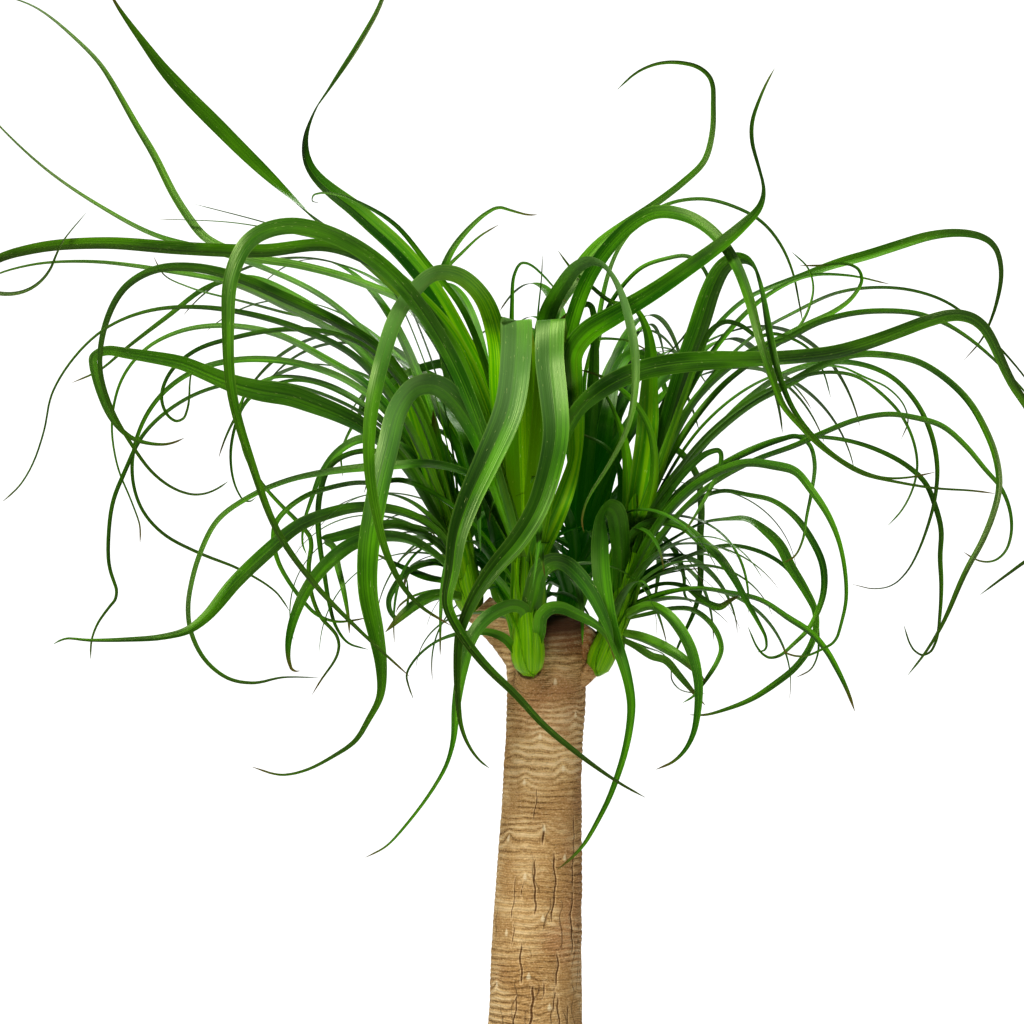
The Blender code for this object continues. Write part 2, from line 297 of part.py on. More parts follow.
        ((0.4, 0.4, 0.3, 0.25, 0.1), (-0.7, 0.8, 1.4, 1.5), (100, 120),
         ((6.2, 64), (8.8, 63), (10.2, 62.4), (10.7, 61.5), (10.8, 60.5), (11.4, 59.8), (12.3, 59.55),
          (13.3, 59.5))),
        ((0.3, 0.3, 0.2, 0.1), (-0.5, 2, 4), (110, 130),
         ((7, 66.5), (8.5, 67.8), (10, 68.4), (11.6, 68.75), (13.2, 68.9))),
        ((1.0, 1.5, 1.7, 1.6, 1.0, 0.4, 0.3, 0.1), (-0.6, -1, -1.5, -2, -2), (10, 0, 0, -10),
         ((7.4, 69), (8.2, 74), (8.9, 79), (9.1, 82.5), (9.2, 85.2), (8.8, 87.1), (8, 88.4), (6.2, 88.9),
          (4.65, 90.1), (3.3, 91.3), (2.25, 92.7))),
        ((0.8, 0.9, 0.7, 0.5, 0.4, 0.12), (-0.6, -2.5, -4, -4.5), (0, -20, -30),
         ((7.5, 69.5), (8.9, 73), (9.5, 76.5), (9.1, 79.4), (8, 81.3), (6.6, 82.6), (5.2, 83.4),
          (3.8, 83.8))),
        ((0.7, 0.8, 0.6, 0.4, 0.12), (-0.4, 1, 2), (180, 200),
         ((7.2, 68), (7, 73), (6.8, 76.4), (5.8, 78), (4.6, 78.7), (3.6, 79.1))),
        ((1.0, 1.2, 1.0, 0.7, 0.3, 0.12), (-0.6, -1.5, -2.5), (-10, -20),
         ((7.3, 69), (7.6, 74), (7.2, 78.5), (6.3, 81), (5.6, 82.2), (4.8, 83))),
        ((0.9, 1.0, 0.9, 0.6, 0.5, 0.5, 0.4, 0.3, 0.2, 0.1), (-0.5, -3, -5, -6, -6), (20, 20, 30, 40),
         ((7.5, 70), (9.7, 76), (11.6, 81.5), (12.9, 85), (13.7, 86.7), (14.8, 87.4), (16, 87.1),
          (17.2, 86.3), (18.4, 86.5), (19.6, 86.2), (20.6, 85.7), (21.4, 85), (22.2, 83.5), (22.7, 81.7))),
        ((0.7, 0.7, 0.6, 0.5, 0.35, 0.25, 0.12), (-0.6, -2, -5, -7, -8), (60, 40, 10, 0),
         ((7.2, 67.8), (10, 73), (13.5, 76), (16.5, 77.6), (18.8, 78.5), (20.2, 78.8), (21.1, 78.2),
          (21.5, 76.8), (21.3, 74.8), (20.9, 72.8), (20.6, 71), (20, 69.8), (19.2, 69.3))),
        ((0.9, 0.9, 0.7, 0.4, 0.3, 0.12), (-0.7, -3, -5, -6, -6.5), (30, 10, 0),
         ((7.4, 69), (9.7, 73.5), (12, 76.4), (13.6, 77.6), (14.4, 77.7), (14.5, 77), (14.1, 75.7),
          (13.3, 74.1), (12.4, 72.6), (11.6, 71.4))),
        ((0.7, 0.8, 0.6, 0.5, 0.35, 0.12), (-0.4, 4, 8, 11), (120, 140, 150),
         ((7.4, 70), (10.5, 79), (14.5, 86), (18, 89.4), (21, 90.8), (24, 90.85), (27.1, 90.2))),
        ((0.9, 0.9, 0.8, 0.6, 0.4, 0.2, 0.1), (-0.4, 1, 3, 5, 6), (120, 140, 170),
         ((7.4, 69.5), (10.5, 77), (14.5, 82.5), (18, 85.2), (20, 86.6), (21, 88.2), (21.4, 90), (21, 91.4),
          (19.8, 92.6))),
    ),
    "leaf_head_left": (
        ((0.9, 1.1, 1.1, 1.0, 0.9, 0.6, 0.38, 0.25, 0.12), (0.2, -3, -9, -14, -16, -16),
         (-60, -40, -30, -20, 0),
         ((-4.7, 68), (-6, 74), (-8, 80.5), (-11, 85.2), (-14, 87.2), (-18, 89.1), (-22, 90.8),
          (-25.5, 91.5), (-28, 91.3), (-30.2, 90), (-31.6, 87.5), (-32.1, 84), (-31.3, 81), (-30, 78.6),
          (-28, 75.9), (-26.2, 74.7), (-24.8, 74.4), (-23.6, 74.7), (-22.5, 75.4))),
        ((0.8, 0.9, 0.8, 0.7, 0.5, 0.3, 0.12), (0.3, 3, 8, 12, 15), (-120, -140, -150),
         ((-4.7, 68), (-6.5, 75), (-10, 82), (-13.5, 86), (-18, 88.4), (-22, 90.2), (-27, 91.2),
          (-33, 91.9), (-37.5, 91.6), (-40.5, 90.6), (-42, 89.3))),
        ((0.7, 0.8, 0.7, 0.6, 0.5, 0.3, 0.12), (0.3, 5, 11, 17, 21), (-120, -140, -150),
         ((-4.7, 69), (-6.5, 77), (-10, 84), (-15, 89), (-20, 91.5), (-24, 92.8), (-28, 93.9), (-32, 96),
          (-36, 98.7), (-39.2, 101.6), (-41, 103.6))),
        ((0.9, 1.0, 0.9, 0.7, 0.4, 0.22, 0.15, 0.12), (0.2, -4, -11, -17, -20, -20), (-60, -45, -30, -20),
         ((-4.8, 69), (-6.8, 75), (-9.5, 80.5), (-13, 84.8), (-17, 86.8), (-21, 88), (-25, 88.5),
          (-28.5, 88.2), (-31.5, 87), (-33.8, 85), (-35.7, 82), (-36.3, 79.2), (-37.2, 76.6), (-38.2, 75),
          (-39.4, 73.9))),
        ((0.8, 0.9, 0.8, 0.6, 0.35, 0.18, 0.12), (0.3, 2, 5, 7, 8), (-120, -140, -150, -170),
         ((-4.8, 69), (-6.5, 74), (-9, 79), (-12, 82.6), (-15, 84.5), (-19, 86.5), (-23, 87.1), (-26, 86.7),
          (-28.6, 85.4), (-30.4, 83.2), (-31.2, 80), (-30.8, 76.6), (-29.7, 73.8), (-29.1, 72),
          (-29.1, 70.8))),
        ((0.9, 1.0, 1.2, 1.5, 1.8, 1.2, 0.9, 0.6, 0.4, 0.12), (0.2, -3, -8, -12, -13, -12),
         (-60, -30, -15, -10, 20),
         ((-4.9, 68.5), (-7, 73), (-9.3, 76.8), (-12, 79.3), (-14, 80.4), (-16, 81.2), (-18, 81.9),
          (-20, 82.2), (-22, 82.7), (-24, 83.5), (-26, 84.3), (-28, 84.7), (-30, 85), (-31.8, 85.2),
          (-32.6, 84.7), (-32.5, 83.6), (-32.2, 82.4), (-31.2, 80.1), (-29.8, 78.7), (-28, 78.2),
          (-26.8, 78.25), (-25.8, 78.65))),
        ((0.8, 0.8, 0.7, 0.6, 0.4, 0.27, 0.25, 0.12), (0.3, 5, 10, 14, 15, 14), (-120, -150, -170, -180),
         ((-5, 69), (-7, 74), (-9, 78.5), (-11.5, 81.5), (-14, 83.2), (-18, 84.4), (-22, 84.5), (-25, 83.7),
          (-27.1, 82.3), (-28.6, 80.4), (-29.6, 77.6), (-29.6, 75.2), (-28.9, 73.2), (-27.4, 71.5),
          (-24.6, 70), (-21.6, 68.8), (-18.8, 67), (-17.9, 65.7))),
        ((0.7, 0.7, 0.6, 0.5, 0.4, 0.4, 0.3, 0.12), (0.2, -2, -5, -7, -8), (-70, -60, -40, -20),
         ((-5, 69.5), (-7.5, 75), (-11, 79.5), (-15, 81.8), (-19, 82.8), (-23, 82.6), (-26, 81.4),
          (-28.8, 79), (-30.3, 76), (-31.1, 74), (-31.45, 71.5), (-31.4, 69), (-30.9, 67.4), (-30.8, 66.8),
          (-31.4, 66), (-32.3, 64.7), (-32.75, 63.4), (-32.8, 62.1))),
        ((0.9, 1.0, 0.9, 0.7, 0.5, 0.12), (0.3, 7, 13, 19, 23), (-120, -140, -150),
         ((-4.7, 68.5), (-6.3, 75), (-9, 81), (-13, 86), (-17.5, 89.3), (-21, 90.7), (-24, 90), (-27, 87.8),
          (-30, 85.5), (-32.2, 83.7), (-34.2, 82.8))),
        ((0.7, 0.7, 0.6, 0.5, 0.4, 0.25, 0.1), (0.2, -3, -7, -9, -9, -8), (-60, -50, -30, 0),
         ((-4.9, 69.5), (-6.5, 76), (-9, 82), (-12, 85.4), (-15, 86.6), (-18.5, 86.8), (-22, 86.2),
          (-25, 85.2), (-26.9, 83.5), (-27.5, 81.6), (-26.8, 80.1), (-26, 79.9), (-25.5, 81), (-25.35, 83),
          (-25.1, 84.4))),
        ((0.5, 0.5, 0.4, 0.3, 0.1), (0.3, 4, 9, 12), (-120, -140),
         ((-4.8, 69.5), (-6, 76.5), (-9, 83), (-13.5, 87), (-18, 88), (-21, 88.8), (-25.5, 90),
          (-27.3, 90.9), (-28.1, 92.3))),
        ((0.8, 0.9, 0.9, 0.6, 0.15), (0.3, 8, 14, 17), (-120, -140),
         ((-4.8, 69.5), (-6, 75.5), (-8.5, 81), (-11, 84.4), (-14, 86.2), (-17, 88), (-19.5, 89.2),
          (-21.7, 89.9))),
        ((0.5, 0.5, 0.4, 0.3, 0.1), (0.3, -1, -3, -4), (-90, -60),
         ((-4.8, 69), (-5.8, 77), (-8, 85), (-10.7, 90.5), (-14, 93.3), (-17, 94), (-20, 94.9),
          (-25, 96.2))),
        ((0.5, 0.5, 0.4, 0.3, 0.1), (0.3, 1.5, 4, 6), (-100, -120),
         ((-4.8, 69.5), (-5.6, 77.5), (-7.6, 85.5), (-10.5, 91), (-14.5, 93.2), (-18, 94.1), (-22, 94.8),
          (-28, 95.1))),
        ((0.7, 0.9, 0.9, 1.0, 1.1, 1.0, 0.5, 0.3, 0.12), (0.2, -4, -9, -12, -13, -12),
         (-60, -20, -10, 10, 10),
         ((-4.7, 68), (-6.8, 71.7), (-9, 73), (-12.4, 73.5), (-15, 73), (-17.2, 72.1), (-19.5, 70.2),
          (-22, 67.8), (-24.2, 65.2), (-25.5, 64.25), (-27.4, 63.75), (-30, 63.55), (-33, 63.5),
          (-34.8, 63.6), (-35.6, 63.2))),
        ((0.7, 0.8, 1.0, 1.1, 0.9, 0.6, 0.12), (0.2, -3, -6, -8, -8), (-60, -20, 0, 0),
         ((-4.6, 67.5), (-7, 70), (-9, 71.1), (-11, 71.3), (-13, 70.8), (-15, 69.3), (-16.6, 67.3),
          (-17.6, 65), (-18, 63), (-17.9, 61.8), (-17.6, 61.2), (-17.1, 61.2))),
        ((0.6, 0.8, 0.8, 0.8, 0.6, 0.4, 0.12), (0.2, -1.5, -3.5, -5.6, -7, -7.2), (-60, -20, 0, 0),
         ((-4.8, 68.5), (-7.5, 71.3), (-10, 72.2), (-12.6, 71.7), (-14.6, 71.2), (-15.4, 71.0),
          (-14.7, 70.6), (-14.3, 69), (-13.9, 67.5), (-13.6, 66), (-13.45, 65), (-13.4, 64))),
        ((0.8, 0.9, 0.9, 0.7, 0.15), (0.2, -1.5, -3, -3.5), (-40, -10, 0),
         ((-4.2, 66.3), (-5.3, 66.8), (-6.9, 66.9), (-8.25, 66.3), (-9.4, 65.4), (-10.2, 64.6),
          (-10.7, 64.1))),
        ((0.5, 0.6, 0.5, 0.3), (0.2, 0.5, 0.8), (-90, -120),
         ((-4.4, 66.8), (-6.2, 67.3), (-7.8, 67.1), (-9, 66.6), (-9.7, 66), (-9.9, 65.6))),
        ((0.5, 0.5, 0.6, 0.6, 0.4, 0.2, 0.1), (0.3, 2, 3.5, 4, 4.2, 5), (-120, -150, -180),
         ((-4.6, 68), (-6.6, 69.2), (-8, 69.1), (-9.2, 68.5), (-10, 67.5), (-10.45, 66.4), (-10.3, 65.6),
          (-9.8, 65.1), (-9.2, 65.5), (-9, 66.6), (-9.1, 68.3))),
        ((0.7, 0.7, 0.7, 0.4, 0.12), (0.3, 4, 7, 9), (-120, -140),
         ((-4.5, 67.4), (-6, 67.9), (-7.5, 68.2), (-9, 68.8), (-10.3, 69.4), (-11.6, 70.1))),
        ((0.8, 0.9, 0.9, 0.9, 0.6, 0.3, 0.12), (0.3, 3, 5, 6, 6), (-120, -150, -170),
         ((-5, 70), (-7, 75), (-9.5, 78), (-12.5, 78.6), (-14.3, 77.6), (-15.5, 76), (-16.2, 74.2),
          (-16.8, 72.3), (-16.9, 70.7), (-16.6, 69.9))),
        ((0.6, 0.6, 0.6, 0.5, 0.5, 0.4, 0.3, 0.1), (0.2, -1, -1.5, -2, -2), (-60, -30, 0),
         ((-4.9, 69.3), (-7.2, 74.5), (-10, 77.3), (-13, 77.6), (-14.8, 76.6), (-15.6, 74.5),
          (-15.75, 72.5), (-15.6, 70.5), (-15.25, 68.3), (-14.9, 66.2), (-14.4, 64.5), (-13.5, 63.3),
          (-12, 62.8))),
        ((0.6, 0.6, 0.5, 0.4, 0.3, 0.3, 0.4, 0.3, 0.1), (0.3, 6, 11, 12, 11, 10), (-120, -150, -180),
         ((-5, 70), (-8, 76.5), (-12, 81), (-16, 83), (-19.5, 83.1), (-21.3, 81.8), (-21.6, 79.6),
          (-21.2, 77.4), (-20, 75.3), (-18.5, 73.6), (-17.1, 72.2), (-16.3, 71.1), (-16.45, 69),
          (-16.2, 66.8), (-15.4, 65), (-14.4, 64), (-14.15, 62.9), (-14.6, 61.8), (-15.4, 60.7),
          (-16.2, 59.4))),
        ((0.5, 0.5, 0.5, 0.4, 0.3, 0.25, 0.1), (0.3, 7, 14, 18, 19), (-120, -150, -180),
         ((-5, 69.5), (-8.5, 77), (-13, 81.5), (-17.5, 83), (-21, 81.5), (-22.2, 78.5), (-22.2, 76),
          (-21.7, 74.5), (-21.1, 73.8), (-20.4, 74.2))),
    ),
    "leaf_head_back_left": (
        ((0.9, 1.0, 1.0, 0.8, 0.7, 0.4, 0.12), (5, 7, 8, 9, 9), (180, 170, 160),
         ((-2, 68.5), (-4.5, 78), (-6.5, 86), (-6.8, 89.5), (-6.4, 91.2), (-5.6, 92.9), (-4.2, 94.6),
          (-3, 95.6), (-2.2, 95.95), (-1.2, 95.7), (0, 95.4), (0.7, 95.4))),
        ((0.5, 0.6, 0.5, 0.4, 0.1), (5, 9, 11, 13), (180, 170),
         ((-2.2, 69), (-4.8, 79), (-6.6, 86.5), (-6.7, 90), (-6, 91.5), (-5, 92.5), (-3.6, 93.8),
          (-2.2, 94.65))),
        ((0.8, 1.0, 1.0, 0.9, 0.6, 0.3, 0.12), (5, 6.5, 8, 8, 8), (180, 190, 200),
         ((-2, 68), (-3.2, 76), (-4, 82), (-5.5, 84.2), (-8, 83.9), (-10.5, 82.6), (-12.8, 80.2),
          (-14, 77.5), (-13.9, 75.8))),
    ),
    "leaf_head_back_right": (
        ((0.5, 0.5, 0.4, 0.4, 0.3, 0.3, 0.25, 0.1), (5, 7, 9, 10, 10), (170, 160, 170),
         ((4, 69), (4.2, 76), (5, 86), (7, 93.2), (10, 96), (13, 96.6), (15.5, 96), (17.5, 94.9),
          (19, 93.1), (19.9, 91), (20.3, 89), (20.6, 87.3))),
        ((0.5, 0.5, 0.45, 0.4, 0.35, 0.35, 0.3, 0.1), (5, 8, 8, 6, 5), (170, 160, 150),
         ((4.1, 69.5), (4.4, 77), (5, 84.5), (6, 88.4), (7.2, 90.2), (8.6, 91.5), (10.3, 92.1), (12, 92.3),
          (13, 91.6), (13.6, 90.3), (13.3, 88.7), (12.3, 87.1), (11.3, 85.8), (10.2, 84.7))),
        ((0.6, 0.6, 0.5, 0.35, 0.25, 0.1), (5, 5, 4, 3.5), (180, 160),
         ((4, 69), (4.2, 77), (4.4, 84), (5.2, 86), (6.3, 86.1), (7.6, 85.9), (9.2, 85.1))),
        ((0.9, 1.2, 1.3, 1.1, 0.9, 0.6, 0.12), (5, 7, 8, 10, 12), (180, 180, 170),
         ((4, 69), (5.3, 76), (6, 81), (6.7, 83.8), (7.6, 84.9), (8.8, 84.8), (9.6, 84), (10.3, 82.4),
          (10.9, 80))),
        ((0.9, 1.1, 1.1, 1.0, 0.8, 0.5, 0.3), (4.8, 4, 3, 0.5, -0.5), (170, 175, 180),
         ((3.8, 68.3), (4.3, 75), (4.8, 81), (5, 85.5), (4.95, 87.8), (4.6, 88.7), (3.9, 88.5), (3, 87.9),
          (2.2, 87.4))),
        ((0.7, 0.8, 0.6, 0.6, 0.6, 0.4, 0.12), (5, 8, 9, 9, 9), (170, 150, 180),
         ((4.2, 70), (7.5, 75.5), (10.8, 77.9), (12.6, 76), (13, 73.5), (12.9, 71), (12.95, 68.5),
          (12.85, 67), (12.4, 65.5), (11.7, 64), (11.2, 62.9), (10.9, 62))),
        ((0.5, 0.5, 0.5, 0.4, 0.15), (5, 6, 7, 7), (150, 160),
         ((4, 69), (7.5, 71.8), (9.8, 71.4), (11.2, 69.9), (11.7, 68.2), (11.8, 66.8), (12.3, 66.3))),
    ),
}

# Leaves that the front view hides, by rule: count, headings and lengths in degrees and centimetres
HIDDEN_LEAVES = {
    "leaf_head_back_left": (14, 170, 240, 30, 44),
    "leaf_head_back_right": (14, 120, 190, 30, 44),
    "leaf_head_left": (1, 200, 220, 34, 44),
    "leaf_head_right": (1, 130, 150, 34, 44),
}

LEAF_COLOUR = (0.055, 0.21, 0.02, 1)
BARK_COLOUR = (0.42, 0.27, 0.14, 1)
SOIL_COLOUR = (0.045, 0.03, 0.02, 1)
POT_COLOUR = (0.50, 0.20, 0.10, 1)


def clear_scene():
    for item in list(bpy.data.objects):
        bpy.data.objects.remove(item, do_unlink=True)


def material(name, colour, roughness):
    made = bpy.data.materials.new(name)
    made.use_nodes = True
    shader = made.node_tree.nodes["Principled BSDF"]
    shader.inputs["Base Color"].default_value = colour
    shader.inputs["Roughness"].default_value = roughness
    return made


def add_object(name, points, faces, finish, sharp_angle=35):
    mesh = bpy.data.meshes.new(name)
    mesh.from_pydata([tuple(point) for point in points], [], faces)
    mesh.validate()
    mesh.materials.append(finish)
    mesh.shade_smooth()
    mesh.set_sharp_from_angle(angle=math.radians(sharp_angle))
    made = bpy.data.objects.new(name, mesh)
    bpy.context.scene.collection.objects.link(made)
    return made


def point_normals_out(item):
    sheet = bmesh.new()
    sheet.from_mesh(item.data)
    bmesh.ops.recalc_face_normals(sheet, faces=sheet.faces)
    if sheet.calc_volume(signed=True) < 0:
        bmesh.ops.reverse_faces(sheet, faces=sheet.faces)
    sheet.to_mesh(item.data)
    sheet.free()


def ring_faces(rings, around):
    """Quads between rings of points, and a fan-free cap at both ends."""
    faces = []
    for row in range(rings - 1):
        for side in range(around):
            after = (side + 1) % around
            faces.append((row * around + side, row * around + after,
                          (row + 1) * around + after, (row + 1) * around + side))
    faces.append(tuple(reversed(range(around))))
    faces.append(tuple((rings - 1) * around + side for side in range(around)))
    return faces


def turned(name, profile, sides, finish):
    """A closed solid turned about Z from (radius, height) points whose ends lie on the axis."""
    points = [(0, 0, profile[0][1])]
    for radius, height in profile[1:-1]:
        for side in range(sides):
            angle = math.tau * side / sides
            points.append((radius * math.cos(angle), radius * math.sin(angle), height))
    points.append((0, 0, profile[-1][1]))
    last = len(points) - 1
    faces = []
    rows = len(profile) - 2
    for side in range(sides):
        after = (side + 1) % sides
        faces.append((0, 1 + after, 1 + side))
        for row in range(rows - 1):
            low = 1 + row * sides
            high = low + sides
            faces.append((low + side, low + after, high + after, high + side))
        top = 1 + (rows - 1) * sides
        faces.append((top + side, top + after, last))
    made = add_object(name, points, faces, finish)
    point_normals_out(made)
    return made


def apply_boolean(item, operation, helpers, solver):
    """Joins or cuts with every helper at once, then removes the helpers."""
    group = bpy.data.collections.new(item.name + "_helpers")
    bpy.context.scene.collection.children.link(group)
    for helper in helpers:
        bpy.context.scene.collection.objects.unlink(helper)
        group.objects.link(helper)
    modifier = item.modifiers.new(operation.lower(), "BOOLEAN")
    modifier.operation = operation
    modifier.operand_type = "COLLECTION"
    modifier.collection = group
    modifier.solver = solver
    graph = bpy.context.evaluated_depsgraph_get()
    result = bpy.data.meshes.new_from_object(item.evaluated_get(graph))
    item.modifiers.clear()
    item.data = result
    for helper in helpers:
        bpy.data.objects.remove(helper, do_unlink=True)
    bpy.data.collections.remove(group)


def drop_pockets(item):
    """Removes the pockets, crumbs and doubled corners that a Boolean leaves, so that one solid remains."""
    sheet = bmesh.new()
    sheet.from_mesh(item.data)
    sheet.faces.ensure_lookup_table()
    seen = set()
    dropped = []
    for start in sheet.faces:
        if start in seen:
            continue
        seen.add(start)
        shell = [start]
        for face in shell:
            for edge in face.edges:
                for beside in edge.link_faces:
                    if beside not in seen:
                        seen.add(beside)
                        shell.append(beside)
        volume = sum(face.calc_center_median().dot(face.normal) * face.calc_area() for face in shell) / 3
        if volume < CRUMB:
            dropped.extend(shell)
    bmesh.ops.delete(sheet, geom=dropped, context="FACES")
    bmesh.ops.remove_doubles(sheet, verts=sheet.verts, dist=WELD)
    sheet.to_mesh(item.data)
    sheet.free()


def curve_through(keys, values, wanted):
    """Values at the wanted keys on a smooth curve through the given ones."""
    keys = np.asarray(keys, float)
    values = np.asarray(values, float)
    slopes = np.gradient(values, keys, axis=0)
    place = np.clip(np.searchsorted(keys, wanted, side="right") - 1, 0, len(keys) - 2)
    span = keys[place + 1] - keys[place]
    share = (wanted - keys[place]) / span
    if values.ndim == 2:
        span = span[:, None]
        share = share[:, None]
    square = share * share
    cube = square * share
    return ((2 * cube - 3 * square + 1) * values[place] + (cube - 2 * square + share) * span * slopes[place]
            + (3 * square - 2 * cube) * values[place + 1] + (cube - square) * span * slopes[place + 1])


def even_values(values, shares):
    return np.interp(shares, np.linspace(0, 1, len(values)), values)


def lengths_along(points):
    steps = np.linalg.norm(np.diff(points, axis=0), axis=1)
    return np.concatenate(([0.0], np.cumsum(steps)))


def evenly(points, count):
    run = lengths_along(points)
    wanted = np.linspace(0, run[-1], count)
    return np.stack([np.interp(wanted, run, column) for column in points.T], axis=1)


def smooth_route(route, count):
    route = np.asarray(route, float)
    keys = np.concatenate(([0.0], np.cumsum(np.linalg.norm(np.diff(route, axis=0), axis=1) ** 0.7)))
    dense = curve_through(keys, route, np.linspace(0, keys[-1], count * 6))
    return evenly(dense, count)


def core_at(head, height):
    """Centre of a head's core at this height."""
    core = np.array(CORES[head])
    return np.array([np.interp(height, core[:, 2], core[:, axis]) for axis in range(3)])


def unit(rows):
    return rows / np.maximum(np.linalg.norm(rows, axis=-1, keepdims=True), 1e-9)


def settle_across(points, wanted, start):
    """Carries the blade's width direction along the leaf, easing towards the wanted one."""
    tangents = unit(np.gradient(points, axis=0))
    across = np.zeros_like(points)
    held = start
    for place, tangent in enumerate(tangents):
        held = held - tangent * held.dot(tangent)
        held = held / max(np.linalg.norm(held), 1e-9)
        goal = wanted[place] - tangent * wanted[place].dot(tangent)
        size = np.linalg.norm(goal)
        if size > 1e-6:
            goal = goal / size
            if goal.dot(held) < 0:
                goal = -goal
            sideways = tangent[0] ** 2 + tangent[2] ** 2
            ease = 0.35 * sideways ** 2 * min(1.0, size)
            held = unit(held * (1 - ease) + goal * ease)
        across[place] = held
    return across


class Leaf:
    """A blade's midline, width direction and widths, in centimetres, held at a few stations."""

    def __init__(self, head, points, across, widths):
        self.head = head
        self.places = blade_stations(points, across)
        index = np.arange(len(points))
        self.hold = np.zeros((len(points), len(points)))
        for number, place in enumerate(self.places):
            low = min(int(place), len(points) - 2)
            hat = np.interp(index, self.places, np.eye(len(self.places))[number])
            self.hold[:, low] += hat * (1 - (place - low))
            self.hold[:, low + 1] += hat * (place - low)
        self.points = self.hold @ points
        self.across = unit(self.hold @ across)
        self.widths = self.hold @ widths
        self.root_run = lengths_along(self.points)

    def at_stations(self, rows):
        index = np.arange(len(rows))
        if rows.ndim == 1:
            return np.interp(self.places, index, rows)
        return np.stack([np.interp(self.places, index, column) for column in rows.T], axis=1)


def seen_leaf(head, widths, depths, turns, route):
    root = core_at(head, route[0][1])
    route = ((root[0], root[2]),) + tuple(route[1:])
    flat = smooth_route(route, LEAF_SAMPLES)
    shares = np.linspace(0, 1, LEAF_SAMPLES)
    depth = curve_through(np.linspace(0, 1, len(depths)), depths, shares)
    depth = depth + (root[1] - depth[0]) * np.clip(1 - shares * 5, 0, 1)
    nearer = (depth - VIEW_FROM[1]) / -VIEW_FROM[1]
    points = np.stack((VIEW_FROM[0] + (flat[:, 0] - VIEW_FROM[0]) * nearer, depth,
                       VIEW_FROM[2] + (flat[:, 1] - VIEW_FROM[2]) * nearer), axis=1)
    slopes = np.gradient(flat, axis=0)
    normal = unit(np.stack((slopes[:, 1], np.zeros(LEAF_SAMPLES), -slopes[:, 0]), axis=1))
    turn = np.radians(even_values(turns, shares))[:, None]
    wanted = np.cos(turn) * normal + np.sin(turn) * np.array((0.0, 1.0, 0.0))
    run = lengths_along(points)
    even = np.linspace(0, run[-1], LEAF_SAMPLES)
    wanted = np.stack([np.interp(even, run, column) for column in wanted.T], axis=1)
    width = np.interp(even, run, even_values(widths, shares))
    points = evenly(points, LEAF_SAMPLES)
    return Leaf(head, points, settle_across(points, wanted, wanted[0]), width)


def hidden_leaf(head, draw, heading, length):
    """An arching leaf by rule: it leaves its core steeply and bends over under its own weight."""
    foot = core_at(head, draw.uniform(66.5, 71.5))
    lift = math.radians(draw.uniform(66, 84))
    drop = math.radians(draw.uniform(95, 165))
    swing = math.radians(draw.uniform(-25, 25))
    broad = draw.uniform(0.7, 1.5)
    heading = math.radians(heading)
    step = length / (LEAF_SAMPLES - 1)
    points = [foot]
    wanted = []
    for place in range(LEAF_SAMPLES):
        share = place / (LEAF_SAMPLES - 1)
        rise = lift - drop * (0.25 * share + 0.75 * share ** 1.7)
        way = heading + swing * share
        forward = np.array((math.sin(way) * math.cos(rise), -math.cos(way) * math.cos(rise), math.sin(rise)))
        wanted.append((math.cos(way), math.sin(way), 0.25 * math.sin(5 * share + heading)))
        points.append(points[-1] + forward * step)
    shares = np.linspace(0, 1, LEAF_SAMPLES)
    width = broad * even_values((0.8, 1, 1, 0.9, 0.7, 0.4, 0.1), shares)
    points = np.array(points[:-1])
    wanted = np.array(wanted)
    return Leaf(head, points, settle_across(points, wanted, wanted[0]), width)


def all_leaves():
    draw = random.Random(SEED)
    leaves = []
    for head, rows in LEAVES.items():
        for row in rows:
            leaves.append(seen_leaf(head, *row))
    for head, (count, low, high, short, long) in HIDDEN_LEAVES.items():
        for place in range(count):
            heading = low + (high - low) * (place + draw.uniform(0.2, 0.8)) / count
            leaves.append(hidden_leaf(head, draw, heading, draw.uniform(short, long)))
    return leaves


def obstacles():
    """Round pieces that leaves keep clear of: (head or trunk, centres, radii)."""
    found = []
    trunk = np.array(TRUNK_STATIONS)
    heights = np.arange(40.0, 65.5, 1.0)
    centres = np.stack((np.interp(heights, trunk[:, 0], trunk[:, 1]), np.zeros(len(heights)), heights), axis=1)
    found.append(("trunk", centres, np.interp(heights, trunk[:, 0], trunk[:, 2]) + TRUNK_CLEARANCE))
    for neck in NECKS:
        found.append(("trunk",) + even_tube(neck, TRUNK_CLEARANCE))
    for head, core in CORES.items():
        found.append((head,) + even_tube(core, 0.0))
    return found


def even_tube(stations, extra):
    stations = np.asarray(stations, float)
    run = lengths_along(stations[:, :3])
    wanted = np.arange(0, run[-1], 0.7)
    rows = np.stack([np.interp(wanted, run, column) for column in stations.T], axis=1)
    return rows[:, :3], rows[:, 3] + extra


